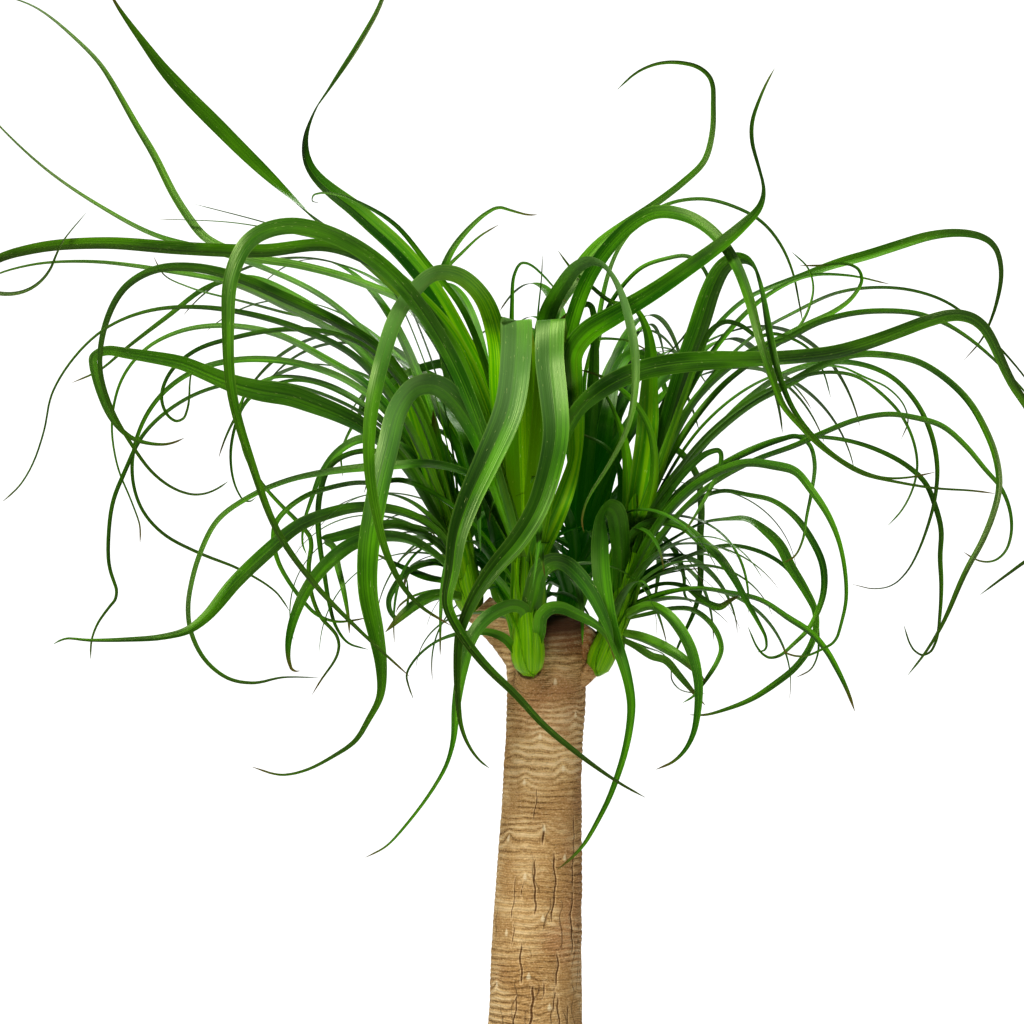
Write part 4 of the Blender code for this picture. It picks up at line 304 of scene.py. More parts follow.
# One leaf to an entry: true widths, depths (y) and turns of the blade, each evenly spaced from root
# to tip, then its route (x, z) across the front view. A turn of 0 faces the front.
leafRoutes = {
    "leaf_head_front": (
        ((1.3, 1.8, 2.0, 2.0, 2.0, 1.9, 1.7, 1.4, 1.2, 1.2, 1.2, 1.05, 0.55, 0.12),
         (-3.5, -4.5, -7, -9.5, -11), (-65, -45, -30, -30, -30, -85, -150, -160, -155, -150),
         ((-0.2, 67.5), (-1.2, 72.5), (-2.4, 77.5), (-3.9, 82), (-6, 86.3), (-10, 90.5), (-13.8, 93.4),
          (-15.2, 94.5), (-17.1, 96.2), (-19.3, 98.2), (-21.4, 100.2), (-23.4, 102.2), (-25.5, 104.3),
          (-27.4, 106.4), (-28.9, 108.4), (-30, 109.9), (-31, 111.4), (-31.6, 112.6))),
        ((1.2, 1.5, 1.6, 1.5, 1.4, 1.0, 0.7, 0.15), (-3.2, -2, -1, 1, 3, 5),
         (-140, -150, -160, -165, -165, -165, -150, -95, -50, -40, -30),
         ((-0.2, 68.5), (-1.2, 74), (-2.2, 79), (-3.4, 82.8), (-5, 86), (-7.3, 90), (-9.6, 92.8), (-12, 95),
          (-13, 95.9), (-14.6, 97.1), (-15.8, 98.2), (-16.5, 99.3), (-16.7, 101), (-16.2, 102.7),
          (-15, 104.7), (-12.6, 108.4), (-11, 111.4), (-10.5, 113.4), (-10.9, 115.3))),
        ((0.7, 0.7, 0.7, 0.6, 0.4, 0.12), (-3.3, -3, -4, -5), (-120, -140, -150),
         ((-0.2, 69), (-1.5, 77), (-3, 83.5), (-5, 88.5), (-7.5, 91.7), (-10, 94.7), (-12.2, 96.1),
          (-14.2, 96.9), (-15.8, 97), (-16.4, 96.6), (-15.7, 96.3))),
        ((0.8, 0.9, 0.8, 0.7, 0.7, 0.6, 0.4, 0.12), (-3.3, -1, 4, 9, 14), (-130, -150, -160, -120),
         ((-0.2, 70), (-2.4, 78), (-5, 85), (-8, 88.2), (-13, 90.5), (-17, 91.6), (-21, 92.3),
          (-24.2, 93.7), (-25.6, 95.4), (-26.6, 97), (-28.1, 100), (-29.3, 102), (-31, 105), (-32, 106.6),
          (-33.6, 108.3), (-37.2, 111.1), (-39.4, 111.7), (-41, 111.2))),
        ((1.0, 1.2, 1.3, 1.2, 1.1, 1.0, 0.8, 0.4, 0.12), (-3.6, -6, -12, -17, -20, -19),
         (-60, -40, -30, -20, -60),
         ((-0.2, 69.3), (-3, 79), (-6, 86), (-9, 89.6), (-11.5, 91.8), (-15, 93.1), (-20, 92.7), (-26, 92.9),
          (-32, 93.3), (-37, 92.9), (-40.3, 91.8), (-41.4, 90.5), (-40.2, 89.6), (-37.6, 89.7), (-36, 91),
          (-35, 93.2), (-33.1, 95.6))),
        ((1.1, 1.3, 1.3, 1.2, 1.2, 0.9, 0.6, 0.4, 0.12), (-3.6, -6, -13, -18, -20, -20, -19),
         (-60, -30, 10, 30, 20, 0),
         ((-0.2, 69), (-3, 78), (-6.5, 86), (-10.5, 91.2), (-14.5, 93.8), (-18, 94.6), (-20.8, 93.6),
          (-22.2, 91), (-22.5, 87), (-22.2, 82), (-20.7, 76.7), (-18.7, 71.5), (-16, 67.7), (-12.6, 64.2),
          (-8.9, 60.8))),
        ((1.3, 1.9, 1.8, 1.3, 1.2, 1.1, 0.8, 0.5, 0.12), (-3.6, -4.2, -6.5, -11, -14, -15, -15),
         (-30, -15, 0, 10, 0),
         ((-0.2, 70), (-1.4, 76), (-2, 82), (-2.3, 86), (-3.4, 89.2), (-5.3, 90.9), (-7, 91), (-8.3, 90),
          (-9.8, 88), (-11, 84.3), (-11.8, 80.3), (-11.9, 76.4), (-11.4, 73.1), (-10.6, 70), (-9.3, 67.4),
          (-8, 66), (-5.8, 64.6))),
        ((1.3, 1.6, 1.7, 1.6, 1.6, 1.6, 1.3, 0.5, 0.25, 0.12),
         (-3.5, -4.5, -6.5, -9.5, -11, -11, -10.5, -10), (-40, -20, 0, 10, -10, 0, 0),
         ((-0.2, 69), (-2, 74.5), (-3.8, 79), (-5.5, 81.6), (-7, 82.7), (-8.5, 82.5), (-9.7, 81),
          (-10.5, 78), (-11.3, 74.5), (-12, 70), (-12, 67), (-11.4, 64), (-11, 61.5), (-11.1, 59.2),
          (-12, 57.5), (-12.9, 56), (-14.6, 54.8), (-16.8, 53.7), (-18.6, 53.4), (-20.7, 54))),
        ((0.9, 1.0, 0.9, 0.8, 0.5, 0.45, 0.4, 0.35, 0.28, 0.12), (-3.4, -3, -4, -5, -8, -10),
         (-100, -140, -150, -170, -120),
         ((-0.2, 68.5), (-2.2, 72.5), (-4.2, 75.8), (-7, 76.7), (-10.2, 76.6), (-14.6, 76.2), (-18, 75.5),
          (-21, 74.2), (-23.3, 72.5), (-24.6, 70), (-25.2, 68), (-25.5, 66), (-25.3, 64.2), (-24.2, 62),
          (-22.4, 60.6), (-20.5, 60.3), (-18.5, 60.7), (-15.7, 60.7))),
        ((1.2, 2.0, 2.3, 2.3, 2.2, 1.7, 0.75, 0.6, 0.45, 0.12),
         (-3.6, -3.7, -3.9, -4.5, -6.6, -8.2, -10, -11.5, -12.5, -13.2, -13.7, -14, -14.2),
         (0, 0, 0, 0, 10, 20, 20),
         ((-0.2, 68), (-0.6, 76), (-0.8, 83), (-0.9, 87.2), (-0.85, 87.7), (-0.9, 85), (-1.4, 81),
          (-3, 77.1), (-4.3, 74.3), (-5.3, 71.4), (-5.7, 68.5), (-6.1, 66.3), (-5.5, 64.8), (-4.4, 63.1),
          (-2.9, 61.3), (-1, 59.5), (1.1, 57.2), (3.1, 55.5), (5, 54.05), (7, 52.7), (8.8, 51.7))),
        ((1.2, 2.0, 2.2, 2.2, 2.1, 1.8, 1.5, 0.8, 0.45, 0.12),
         (-3.6, -3.65, -3.8, -4.4, -6.2, -7.6, -9, -10.2, -11, -11.4, -11.6, -11.8),
         (0, 0, 0, 0, 0, 10, 10),
         ((-0.2, 68), (0.9, 76), (1.6, 83), (1.8, 87.2), (1.75, 87.6), (1.6, 84.8), (1.9, 81.9),
          (2.1, 79.1), (1.6, 76.2), (0.65, 73.3), (-0.9, 70.8), (-2.4, 69.1), (-3.75, 67.2), (-4.6, 65.5),
          (-5.1, 64.1), (-5.3, 62), (-5.25, 59), (-5, 57), (-4.45, 55.6), (-3.65, 54.5), (-2.9, 53.9))),
        ((0.5, 0.6, 0.55, 0.5, 0.35, 0.2, 0.1), (-3.3, -2.6, -2.4, -3.5, -5), (170, 160),
         ((-0.2, 70), (-0.9, 78), (-1.2, 85), (-1.2, 88.5), (-1, 91), (-0.5, 91.8), (0.1, 91.7), (1, 91),
          (2, 89.9), (3, 88.7))),
        ((0.35, 0.35, 0.3, 0.12), (-3.3, -2.2, -2), (150, 120),
         ((-0.2, 70), (0.4, 78), (0.6, 85), (0.75, 88), (1, 90.5), (1.1, 92.4))),
        ((1.2, 1.9, 1.9, 1.4, 0.4), (-3.4, -3.5, -3.3, -3), (0, 5),
         ((-0.2, 67), (-0.1, 72.4), (0.2, 76.2), (0.3, 80), (0.2, 83.6), (0.3, 86.6))),
        ((1.2, 1.6, 1.7, 1.7, 1.6, 1.5, 1.3, 1.0, 0.6, 0.12), (-3.6, -4.4, -5.6, -8, -10.5, -12, -12),
         (20, 25, 62, 30, -20, -35, -35, -40, -85, -50, -40),
         ((-0.1, 67.5), (1.3, 71), (2.6, 74), (3.5, 77), (3.6, 79.5), (3.3, 83), (3.3, 85), (4.3, 86.5),
          (6.7, 88), (9.2, 89.5), (11.7, 91.2), (14.2, 93), (16.2, 94.7), (17.4, 96), (17.7, 97.2),
          (17.3, 99), (16.8, 100.9), (16.8, 102.3), (17.45, 104.3), (18, 105.5), (18.5, 106.4))),
        ((1.1, 1.4, 1.6, 1.6, 1.5, 1.3, 0.6, 0.5, 0.4, 0.3, 0.12), (-3.2, -2.4, -2, -1, 1, 2),
         (150, 160, 165, 170),
         ((-0.1, 68), (0.6, 76), (1.1, 84), (1.8, 88.3), (3.4, 90.6), (5.4, 93.1), (7.9, 95.1), (9.9, 96.5),
          (11.7, 97.9), (13.2, 99.4), (13.8, 101.4), (13.9, 103.4), (13.7, 105.6), (12.9, 106.4),
          (11.5, 106.8), (9.8, 106.75), (8.2, 106.1), (6.7, 104.8))),
        ((1.2, 1.6, 1.9, 1.9, 1.4, 1.1, 0.9, 0.7, 0.45, 0.3, 0.12),
         (-3.5, -3.2, -2.9, -2.8, -2.9, -4, -8, -11.5, -14, -16, -17, -17.4, -17.5),
         (0, 0, 10, 10, 20, 30),
         ((-0.1, 68.5), (0.5, 76), (0.9, 83), (1.5, 88), (2.6, 90.1), (3.7, 91.5), (4.7, 91.95),
          (5.6, 91.7), (6.4, 90.7), (7.1, 89.2), (7.7, 87), (8.05, 84.8), (8.05, 82.6), (7.8, 80.7),
          (7.3, 79), (6.5, 77.4), (5.6, 75.9), (4.7, 74.5), (4.15, 73.2), (4.05, 72.2), (4.2, 71.6))),
        ((0.9, 1.0, 1.0, 0.9, 0.65, 0.32, 0.25, 0.2, 0.1), (-3.6, -5.4, -6.8, -7.8, -8.2, -8.2), (0, 10, 0),
         ((0, 62.5), (-0.2, 64.3), (-0.2, 65.7), (-0.9, 66.1), (-2.1, 65.8), (-3.2, 65.1), (-4.2, 63.8),
          (-4.9, 61.5), (-5.4, 58.5), (-5.6, 56), (-6.1, 54.2), (-7.1, 52.4), (-9.1, 49.7), (-10.7, 48),
          (-12.2, 47.2))),
        ((0.9, 1.0, 1.0, 0.9, 0.7, 0.4, 0.12), (-3.6, -5.2, -5.8, -6.1, -6.2), (0, 10, 10),
         ((0.1, 62.3), (0.8, 64), (1.0, 65.3), (1.7, 65.9), (2.6, 65.9), (3.5, 65.5), (4.7, 64.9),
          (5.5, 64.3), (6.2, 63.2), (6.5, 62))),
        ((0.6, 0.7, 0.4, 0.2, 0.18, 0.1), (-3.6, -4.9, -5.8, -6.2), (10, 20, 10),
         ((0, 61.9), (-1, 62.8), (-1.7, 63.6), (-2.9, 64.1), (-4.3, 64.05), (-5.6, 63.9), (-7.2, 63.2),
          (-8.6, 61.9), (-9.1, 60.9), (-8.9, 59.9), (-8.6, 59.1))),
        ((1.3, 1.5, 1.5, 1.3, 1.1, 0.8, 0.3), (-3.6, -4.8, -6, -6.8, -6.6, -6.2), (0, 20, 20, 10, 0),
         ((0, 64.5), (0.4, 67), (0.9, 68.7), (1.8, 69.4), (2.7, 69.3), (3.8, 68.4), (4.8, 67), (5.5, 65.6),
          (6.1, 64.2), (6.4, 63.2))),
        ((0.7, 0.7, 0.7, 0.7, 0.5, 0.5, 0.5, 0.4, 0.3, 0.1), (-3.3, -2.6, -3, -3, -2), (-100, -140, -160),
         ((-0.2, 66.5), (-1.6, 68.8), (-3, 71), (-5.2, 73.2), (-7.6, 74.8), (-9.5, 75.5), (-11.5, 75.3),
          (-13, 75.3), (-15, 74.9), (-16.5, 74.4), (-18, 73.4), (-18.9, 72.3), (-19.1, 71), (-18.7, 69.3),
          (-18, 68), (-17, 66.6), (-15.8, 65.4), (-14.4, 64.9), (-13, 65), (-12, 65.2))),
        ((1.1, 1.3, 1.5, 1.7, 1.6, 1.4, 1.0, 0.85, 0.7, 0.6, 0.4, 0.12),
         (-3.5, -4.6, -6.8, -9, -11, -12, -11, -9), (30, 50, 40, 15, 55, 30, -5, -15, -20, -20, -20),
         ((-0.1, 67.5), (1, 72), (2, 76.8), (3.6, 80.6), (5.6, 82.4), (8, 83.6), (10.6, 84.2), (14, 84.5),
          (17.5, 84.6), (20.5, 84.8), (23, 85.1), (25.5, 85.8), (28, 86.7), (30.5, 87.6), (32.4, 87.9),
          (33.9, 87.3), (34.8, 86), (35.6, 84.2), (36.4, 82.6), (37.6, 80.8), (38.9, 78), (39.6, 75),
          (39.2, 72), (38.3, 70.2), (37, 69.2), (35.5, 68.1), (33.9, 66.9))),
        ((1.0, 1.2, 1.3, 1.3, 1.1, 0.9, 0.75, 0.5, 0.28, 0.2, 0.12), (-3.3, -2.6, -3.5, -9, -15.5, -16, -15),
         (140, 150, 165, 190, 180),
         ((-0.1, 69), (1.5, 78), (2.8, 85.5), (4.6, 90.8), (7, 94), (9.4, 95.6), (11.3, 95.5), (12.8, 94.9),
          (14.3, 93.7), (15.6, 91.8), (16.5, 89.4), (17.4, 86), (18.2, 83.6), (19.2, 81), (20.4, 79.6),
          (21.4, 78.5), (23, 77.2), (25, 76), (27.5, 75.4), (30.5, 74.9), (33.5, 74.7), (35, 74.5))),
    ),
    "leaf_head_right": (
        ((0.9, 1.2, 1.5, 1.6, 1.4, 1.3, 1.0, 0.75, 0.6, 0.5, 0.4, 0.3, 0.12),
         (-0.8, -2, -4.8, -6.8, -8, -8.6, -8.6), (20, 0, 0, 0, 15, 20, 10, 0),
         ((6.5, 65), (6.9, 68), (6.9, 71), (6.5, 73.2), (6, 73.6), (5.6, 73), (5.4, 71), (5.45, 69),
          (5.7, 67), (6.1, 65), (6.65, 63.2), (7.2, 61.6), (7.55, 60.2), (7.75, 58.7), (7.6, 56.8),
          (7.2, 54.9), (6.7, 53.3), (6.1, 51.7), (5.2, 49.9), (4.2, 48.2), (3.3, 47.2), (2.2, 46.3))),
        ((0.9, 1.3, 1.6, 1.7, 1.7, 1.3, 0.9, 0.45, 0.3, 0.2, 0.12), (-0.6, -1, -2, -6, -13.5, -15, -14),
         (60, 40, 20, 10, 0, 10),
         ((7.4, 68.5), (8.9, 74), (10.5, 80), (11.7, 84), (12.8, 87), (13.8, 90), (14.7, 91.6),
          (15.8, 92.2), (16.8, 91.8), (17.4, 90.3), (17.8, 88.4), (18.1, 86.6), (18.8, 83.5), (19.9, 80.8),
          (21.6, 78.6), (24, 76.7), (26.5, 75.7), (28.5, 75.7), (30.5, 76.1))),
        ((0.7, 0.7, 0.6, 0.6, 0.45, 0.5, 0.9, 0.8, 0.6, 0.4, 0.12), (-0.5, 2, 7, 11, 14, 15),
         (110, 130, 150, 165, 120),
         ((7.4, 69), (9, 76), (11, 82), (13.5, 86.3), (16.2, 89), (18.5, 90.1), (20.5, 90.8), (23, 91.7),
          (25.5, 92.4), (28, 93.2), (30, 93.8), (32.2, 94.05), (33.9, 93.8), (34.9, 93.2), (35.4, 92),
          (35.5, 90.8), (35.2, 89), (34.8, 87.7), (34, 86), (32.7, 84.5))),
        ((0.4, 0.4, 0.35, 0.35, 0.3, 0.12), (-0.5, 4, 10, 16, 20), (120, 140, 150),
         ((7.4, 69), (10, 77), (13.5, 83), (17, 86.4), (20, 88.1), (23, 89.5), (26, 89.95), (29, 89.7),
          (31.5, 88.8), (33.5, 87.3), (35.5, 85.3), (37.2, 83.3), (38.8, 81))),
        ((0.7, 0.8, 0.7, 0.7, 0.6, 0.5, 0.3, 0.12), (-0.6, -2, -4, -6, -7, -7), (70, 50, 40, 50),
         ((7.4, 69), (10, 76.5), (13, 82), (16.5, 85), (19.2, 86), (21.7, 87.3), (24.2, 88), (26.7, 88.2),
          (29.2, 88), (31.2, 87.3), (33, 86.2), (34.8, 84.7), (36, 83.5), (37.7, 81.6), (38.8, 80))),
        ((0.9, 1.0, 0.9, 0.8, 0.6, 0.3, 0.12), (-0.5, 1, 3, 4, 4), (110, 130, 150, 160),
         ((7.4, 69), (9.5, 76), (12.5, 81.5), (16, 84.7), (18.7, 86), (21, 87.2), (23.2, 88.3),
          (24.4, 89.3), (25.05, 90.6), (24.7, 91.4), (23.6, 91.75), (22, 91.6), (20.4, 91.6))),
        ((0.8, 0.9, 0.8, 0.7, 0.6, 0.6, 0.5, 0.4, 0.12), (-0.6, -3, -6, -8, -13, -18, -20, -19),
         (60, 40, 30, 20, 30),
         ((7.2, 68.5), (10, 74.5), (14, 79), (17, 81.4), (19.3, 82.6), (21.8, 84), (24.3, 84.9),
          (26.8, 84.9), (29.2, 84.4), (31.1, 83.3), (33, 81.5), (34.2, 79.5), (35.1, 77.2), (35.35, 75),
          (34.9, 73), (34, 70.8), (33, 69), (32.3, 67.5), (31.6, 65.8), (30.7, 64), (29.6, 62.3),
          (28.5, 60.9))),
        ((0.7, 0.8, 0.7, 0.6, 0.5, 0.5, 0.3, 0.12), (-0.4, 3, 8, 12, 14), (120, 140, 150, 120),
         ((7.2, 68.5), (10, 74), (13.5, 78.5), (16.5, 81.6), (19.5, 83.6), (22.5, 84.35), (25, 84.2),
          (27.2, 83.3), (29, 81.5), (30.2, 79.1), (30.7, 76.5), (30.5, 74), (30, 72.1), (29.2, 70),
          (28.4, 68.6), (27.3, 67.6), (25.9, 67.35), (24.3, 67.7))),
        ((0.7, 0.7, 0.6, 0.5, 0.4, 0.45, 0.5, 0.4, 0.25, 0.12), (-0.4, 4, 10, 15, 18, 18),
         (120, 130, 150, 170, 150),
         ((7.2, 67.5), (9.5, 72.5), (12, 75.3), (14.3, 76.6), (16.8, 77.9), (19.3, 78.7), (21.8, 78.75),
          (24.3, 78.4), (26.6, 77.6), (28.4, 76.6), (29.8, 75.3), (30.5, 73.7), (31, 71.7), (30.9, 69.8),
          (31, 67.8), (30.9, 65.5), (30.6, 63.4), (30, 62.4), (29.3, 62.4), (28.7, 63.1), (28.2, 64.6))),
        ((0.6, 0.6, 0.5, 0.4, 0.35, 0.25, 0.12), (-0.6, -3, -7, -10, -11), (60, 50, 40, 30),
         ((7.2, 68), (9.5, 73.5), (13, 78.5), (17, 81.7), (20.3, 83.2), (22.5, 83.6), (24.6, 83.3),
          (26.5, 82), (28, 80.4), (28.9, 78.5), (29.2, 76.5), (28.8, 74.7), (28, 73.2), (27, 72.1))),
        ((0.5, 0.5, 0.4, 0.3, 0.25, 0.12), (-0.5, 1, 2, 3, 3), (110, 130, 140),
         ((7.2, 68), (9.5, 74), (13, 79.5), (17, 82.7), (20.5, 83.9), (23.4, 84), (25.3, 83.2), (27, 82.4),
          (28.2, 81.1), (28.5, 79.9), (28, 78.6))),
        ((0.7, 0.7, 0.6, 0.5, 0.5, 0.3, 0.12), (-0.6, -4, -9, -13, -15), (60, 45, 30, 20),
         ((7.2, 67.5), (10, 71.5), (13.5, 75), (17, 77), (20, 78.1), (22, 79), (24.5, 80), (27, 80.45),
          (29, 80.2), (31, 79.6), (32.8, 78.1), (34.3, 76.3), (35.5, 74.9), (36.2, 73), (36.2, 71.2),
          (35.7, 70), (34.8, 69.4), (33.7, 69.5), (32.7, 70.1))),
        ((0.8, 1.0, 1.0, 0.8, 0.8, 0.6, 0.35, 0.28, 0.2, 0.12), (-0.7, -4, -8, -11, -12, -12),
         (60, 40, 20, 10, 10),
         ((7.1, 67), (9.3, 71.5), (11.8, 74.5), (14, 76), (16.3, 76.8), (18.5, 76.6), (20, 76.2),
          (21.3, 74.7), (22.5, 72.9), (23.3, 71), (23.8, 68.5), (23.85, 66.5), (23.5, 64.8), (23, 63.4),
          (22, 62.8), (20.8, 62.3), (19.7, 62.4), (19.2, 62.7), (19.1, 63.1))),
        ((0.7, 0.8, 0.6, 0.5, 0.5, 0.65, 0.6, 0.4, 0.25, 0.12), (-0.6, -1, -3, -5, -6, -6),
         (60, 50, 40, 20, 30),
         ((7.1, 66.5), (9.5, 70.5), (12.3, 73.8), (14.6, 74.7), (16.5, 74.4), (18.3, 74), (20, 72.8),
          (21.3, 71), (22.1, 69.2), (22.2, 67.3), (21.8, 65.8), (21, 64.3), (19.9, 63.2), (18.8, 62.3),
          (18, 62.2), (17.3, 62.8), (16.5, 64.5))),
        ((0.7, 0.8, 0.6, 1.0, 1.2, 0.9, 0.5, 0.5, 0.5, 0.35, 0.12), (-0.6, 1, 2, 1, -1, -2),
         (110, 100, 160, 170, 150),
         ((7.1, 66.8), (9, 69.8), (11.3, 71.4), (13.3, 72.4), (15, 72.6), (16.4, 72.6), (17.7, 71.8),
          (18.9, 70.6), (19.7, 69), (20.7, 67.4), (21.5, 65.8), (21.6, 64.4), (21.1, 62.9), (20, 61.4),
          (18.5, 60.2), (16.8, 59.1), (14.8, 58.3), (13.3, 57.9), (12.1, 57.9))),
        ((0.6, 0.6, 0.6, 0.5, 0.3, 0.12), (-0.4, 2, 5, 6, 6), (110, 130, 140),
         ((7.1, 66.6), (9.5, 68.6), (12, 69.8), (15, 70.6), (17.5, 70.1), (19.3, 69), (20.6, 67.2),
          (21.6, 65.2), (21.8, 63.6), (21.7, 62.3), (21.2, 61.3), (20.1, 60.7))),
        ((0.6, 0.6, 0.5, 0.5, 0.6, 0.5, 0.2), (-0.7, -3, -7, -9, -10), (60, 40, 30),
         ((6.7, 65.2), (8.4, 66.3), (10.5, 67.1), (12.8, 67.4), (15, 67.1), (17.5, 66.5), (19.5, 65.2),
          (21.3, 64), (22.4, 62.7), (23.2, 61.3), (24, 59.6), (24.5, 58.2))),
        ((0.5, 0.6, 0.5, 0.7, 0.6, 0.12), (-0.5, 0.5, 2, 2.5), (110, 130, 180),
         ((7, 66.2), (8.5, 67.2), (10.2, 67.75), (11.8, 67.5), (12.9, 66.7), (13.6, 66.2), (14.4, 66),
          (15.2, 66.5), (16, 66.9))),
        ((0.7, 0.8, 0.8, 0.8, 0.7, 0.5, 0.3, 0.12), (-0.7, -3, -5.5, -7, -7.5), (20, 30, 20, 10),
         ((7.3, 69), (7.6, 71), (8.5, 72), (9.8, 72.4), (11.7, 72), (12.9, 71), (14.2, 69.9), (15.3, 68.4),
          (16.4, 66.4), (17.3, 64.8), (17.85, 63.6), (17.8, 62.8), (17.2, 62.6))),
        ((0.7, 0.8, 0.9, 0.9, 0.7, 0.5, 0.3, 0.12), (-0.8, -3.5, -5, -5.5, -5), (30, 20, 10, 0),
         ((6.6, 64.8), (8.1, 65.8), (9.3, 66.1), (10.4, 65.5), (11.3, 64.5), (12.1, 63.1), (12.6, 61.5),
          (12.8, 60), (12.7, 58), (12.4, 56.5), (11.8, 55.3), (10.9, 54.4), (9.6, 53.8))),
        ((0.5, 0.6, 0.6, 0.5, 0.4, 0.12), (-0.8, -1.5, -2, -2.5, -2.5), (70, 40, 30),
         ((6.7, 65), (9, 65.5), (11, 65.9), (12.3, 65.8), (13.5, 65), (14.3, 63.8), (14.5, 62.8),
          (14.2, 61.9), (13.6, 60.9), (13.1, 60.2), (12.4, 59.3), (11.6, 58.8))),
        ((0.8, 0.9, 0.9, 0.7, 0.2), (-0.8, -1.8, -3.5, -4), (50, 20, 10),
         ((6.3, 64.2), (8.5, 63.75), (10.2, 63), (11.5, 62.2), (12.6, 61.2), (13.3, 60.4))),
        ((0.6, 0.8, 0.7, 0.5, 0.12), (-0.8, -1, -1, -0.5), (60, 30, 20),
         ((6.2, 63.9), (8, 63.1), (9.3, 62.3), (10.3, 62), (11.3, 60.9), (12.4, 59.6), (13.3, 58.6))),
        ((0.4, 0.4, 0.3, 0.25, 0.1), (-0.7, 0.8, 1.4, 1.5), (100, 120),
         ((6.2, 64), (8.8, 63), (10.2, 62.4), (10.7, 61.5), (10.8, 60.5), (11.4, 59.8), (12.3, 59.55),
          (13.3, 59.5))),
        ((0.3, 0.3, 0.2, 0.1), (-0.5, 2, 4), (110, 130),
         ((7, 66.5), (8.5, 67.8), (10, 68.4), (11.6, 68.75), (13.2, 68.9))),
        ((1.0, 1.5, 1.7, 1.6, 1.0, 0.4, 0.3, 0.1), (-0.6, -1, -1.5, -2, -2), (10, 0, 0, -10),
         ((7.4, 69), (8.2, 74), (8.9, 79), (9.1, 82.5), (9.2, 85.2), (8.8, 87.1), (8, 88.4), (6.2, 88.9),
          (4.65, 90.1), (3.3, 91.3), (2.25, 92.7))),
        ((0.8, 0.9, 0.7, 0.5, 0.4, 0.12), (-0.6, -2.5, -4, -4.5), (0, -20, -30),
         ((7.5, 69.5), (8.9, 73), (9.5, 76.5), (9.1, 79.4), (8, 81.3), (6.6, 82.6), (5.2, 83.4),
          (3.8, 83.8))),
        ((0.7, 0.8, 0.6, 0.4, 0.12), (-0.4, 1, 2), (180, 200),
         ((7.2, 68), (7, 73), (6.8, 76.4), (5.8, 78), (4.6, 78.7), (3.6, 79.1))),
        ((1.0, 1.2, 1.0, 0.7, 0.3, 0.12), (-0.6, -1.5, -2.5), (-10, -20),
         ((7.3, 69), (7.6, 74), (7.2, 78.5), (6.3, 81), (5.6, 82.2), (4.8, 83))),
        ((0.9, 1.0, 0.9, 0.6, 0.5, 0.5, 0.4, 0.3, 0.2, 0.1), (-0.5, -3, -5, -6, -6), (20, 20, 30, 40),
         ((7.5, 70), (9.7, 76), (11.6, 81.5), (12.9, 85), (13.7, 86.7), (14.8, 87.4), (16, 87.1),
          (17.2, 86.3), (18.4, 86.5), (19.6, 86.2), (20.6, 85.7), (21.4, 85), (22.2, 83.5), (22.7, 81.7))),
        ((0.7, 0.7, 0.6, 0.5, 0.35, 0.25, 0.12), (-0.6, -2, -5, -7, -8), (60, 40, 10, 0),
         ((7.2, 67.8), (10, 73), (13.5, 76), (16.5, 77.6), (18.8, 78.5), (20.2, 78.8), (21.1, 78.2),
          (21.5, 76.8), (21.3, 74.8), (20.9, 72.8), (20.6, 71), (20, 69.8), (19.2, 69.3))),
        ((0.9, 0.9, 0.7, 0.4, 0.3, 0.12), (-0.7, -3, -5, -6, -6.5), (30, 10, 0),
         ((7.4, 69), (9.7, 73.5), (12, 76.4), (13.6, 77.6), (14.4, 77.7), (14.5, 77), (14.1, 75.7),
          (13.3, 74.1), (12.4, 72.6), (11.6, 71.4))),
        ((0.7, 0.8, 0.6, 0.5, 0.35, 0.12), (-0.4, 4, 8, 11), (120, 140, 150),
         ((7.4, 70), (10.5, 79), (14.5, 86), (18, 89.4), (21, 90.8), (24, 90.85), (27.1, 90.2))),
        ((0.9, 0.9, 0.8, 0.6, 0.4, 0.2, 0.1), (-0.4, 1, 3, 5, 6), (120, 140, 170),
         ((7.4, 69.5), (10.5, 77), (14.5, 82.5), (18, 85.2), (20, 86.6), (21, 88.2), (21.4, 90), (21, 91.4),
          (19.8, 92.6))),
    ),
    "leaf_head_left": (
        ((0.9, 1.1, 1.1, 1.0, 0.9, 0.6, 0.38, 0.25, 0.12), (0.2, -3, -9, -14, -16, -16),
         (-60, -40, -30, -20, 0),
         ((-4.7, 68), (-6, 74), (-8, 80.5), (-11, 85.2), (-14, 87.2), (-18, 89.1), (-22, 90.8),
          (-25.5, 91.5), (-28, 91.3), (-30.2, 90), (-31.6, 87.5), (-32.1, 84), (-31.3, 81), (-30, 78.6),
          (-28, 75.9), (-26.2, 74.7), (-24.8, 74.4), (-23.6, 74.7), (-22.5, 75.4))),
        ((0.8, 0.9, 0.8, 0.7, 0.5, 0.3, 0.12), (0.3, 3, 8, 12, 15), (-120, -140, -150),
         ((-4.7, 68), (-6.5, 75), (-10, 82), (-13.5, 86), (-18, 88.4), (-22, 90.2), (-27, 91.2),
          (-33, 91.9), (-37.5, 91.6), (-40.5, 90.6), (-42, 89.3))),
        ((0.7, 0.8, 0.7, 0.6, 0.5, 0.3, 0.12), (0.3, 5, 11, 17, 21), (-120, -140, -150),
         ((-4.7, 69), (-6.5, 77), (-10, 84), (-15, 89), (-20, 91.5), (-24, 92.8), (-28, 93.9), (-32, 96),
          (-36, 98.7), (-39.2, 101.6), (-41, 103.6))),
        ((0.9, 1.0, 0.9, 0.7, 0.4, 0.22, 0.15, 0.12), (0.2, -4, -11, -17, -20, -20), (-60, -45, -30, -20),
         ((-4.8, 69), (-6.8, 75), (-9.5, 80.5), (-13, 84.8), (-17, 86.8), (-21, 88), (-25, 88.5),
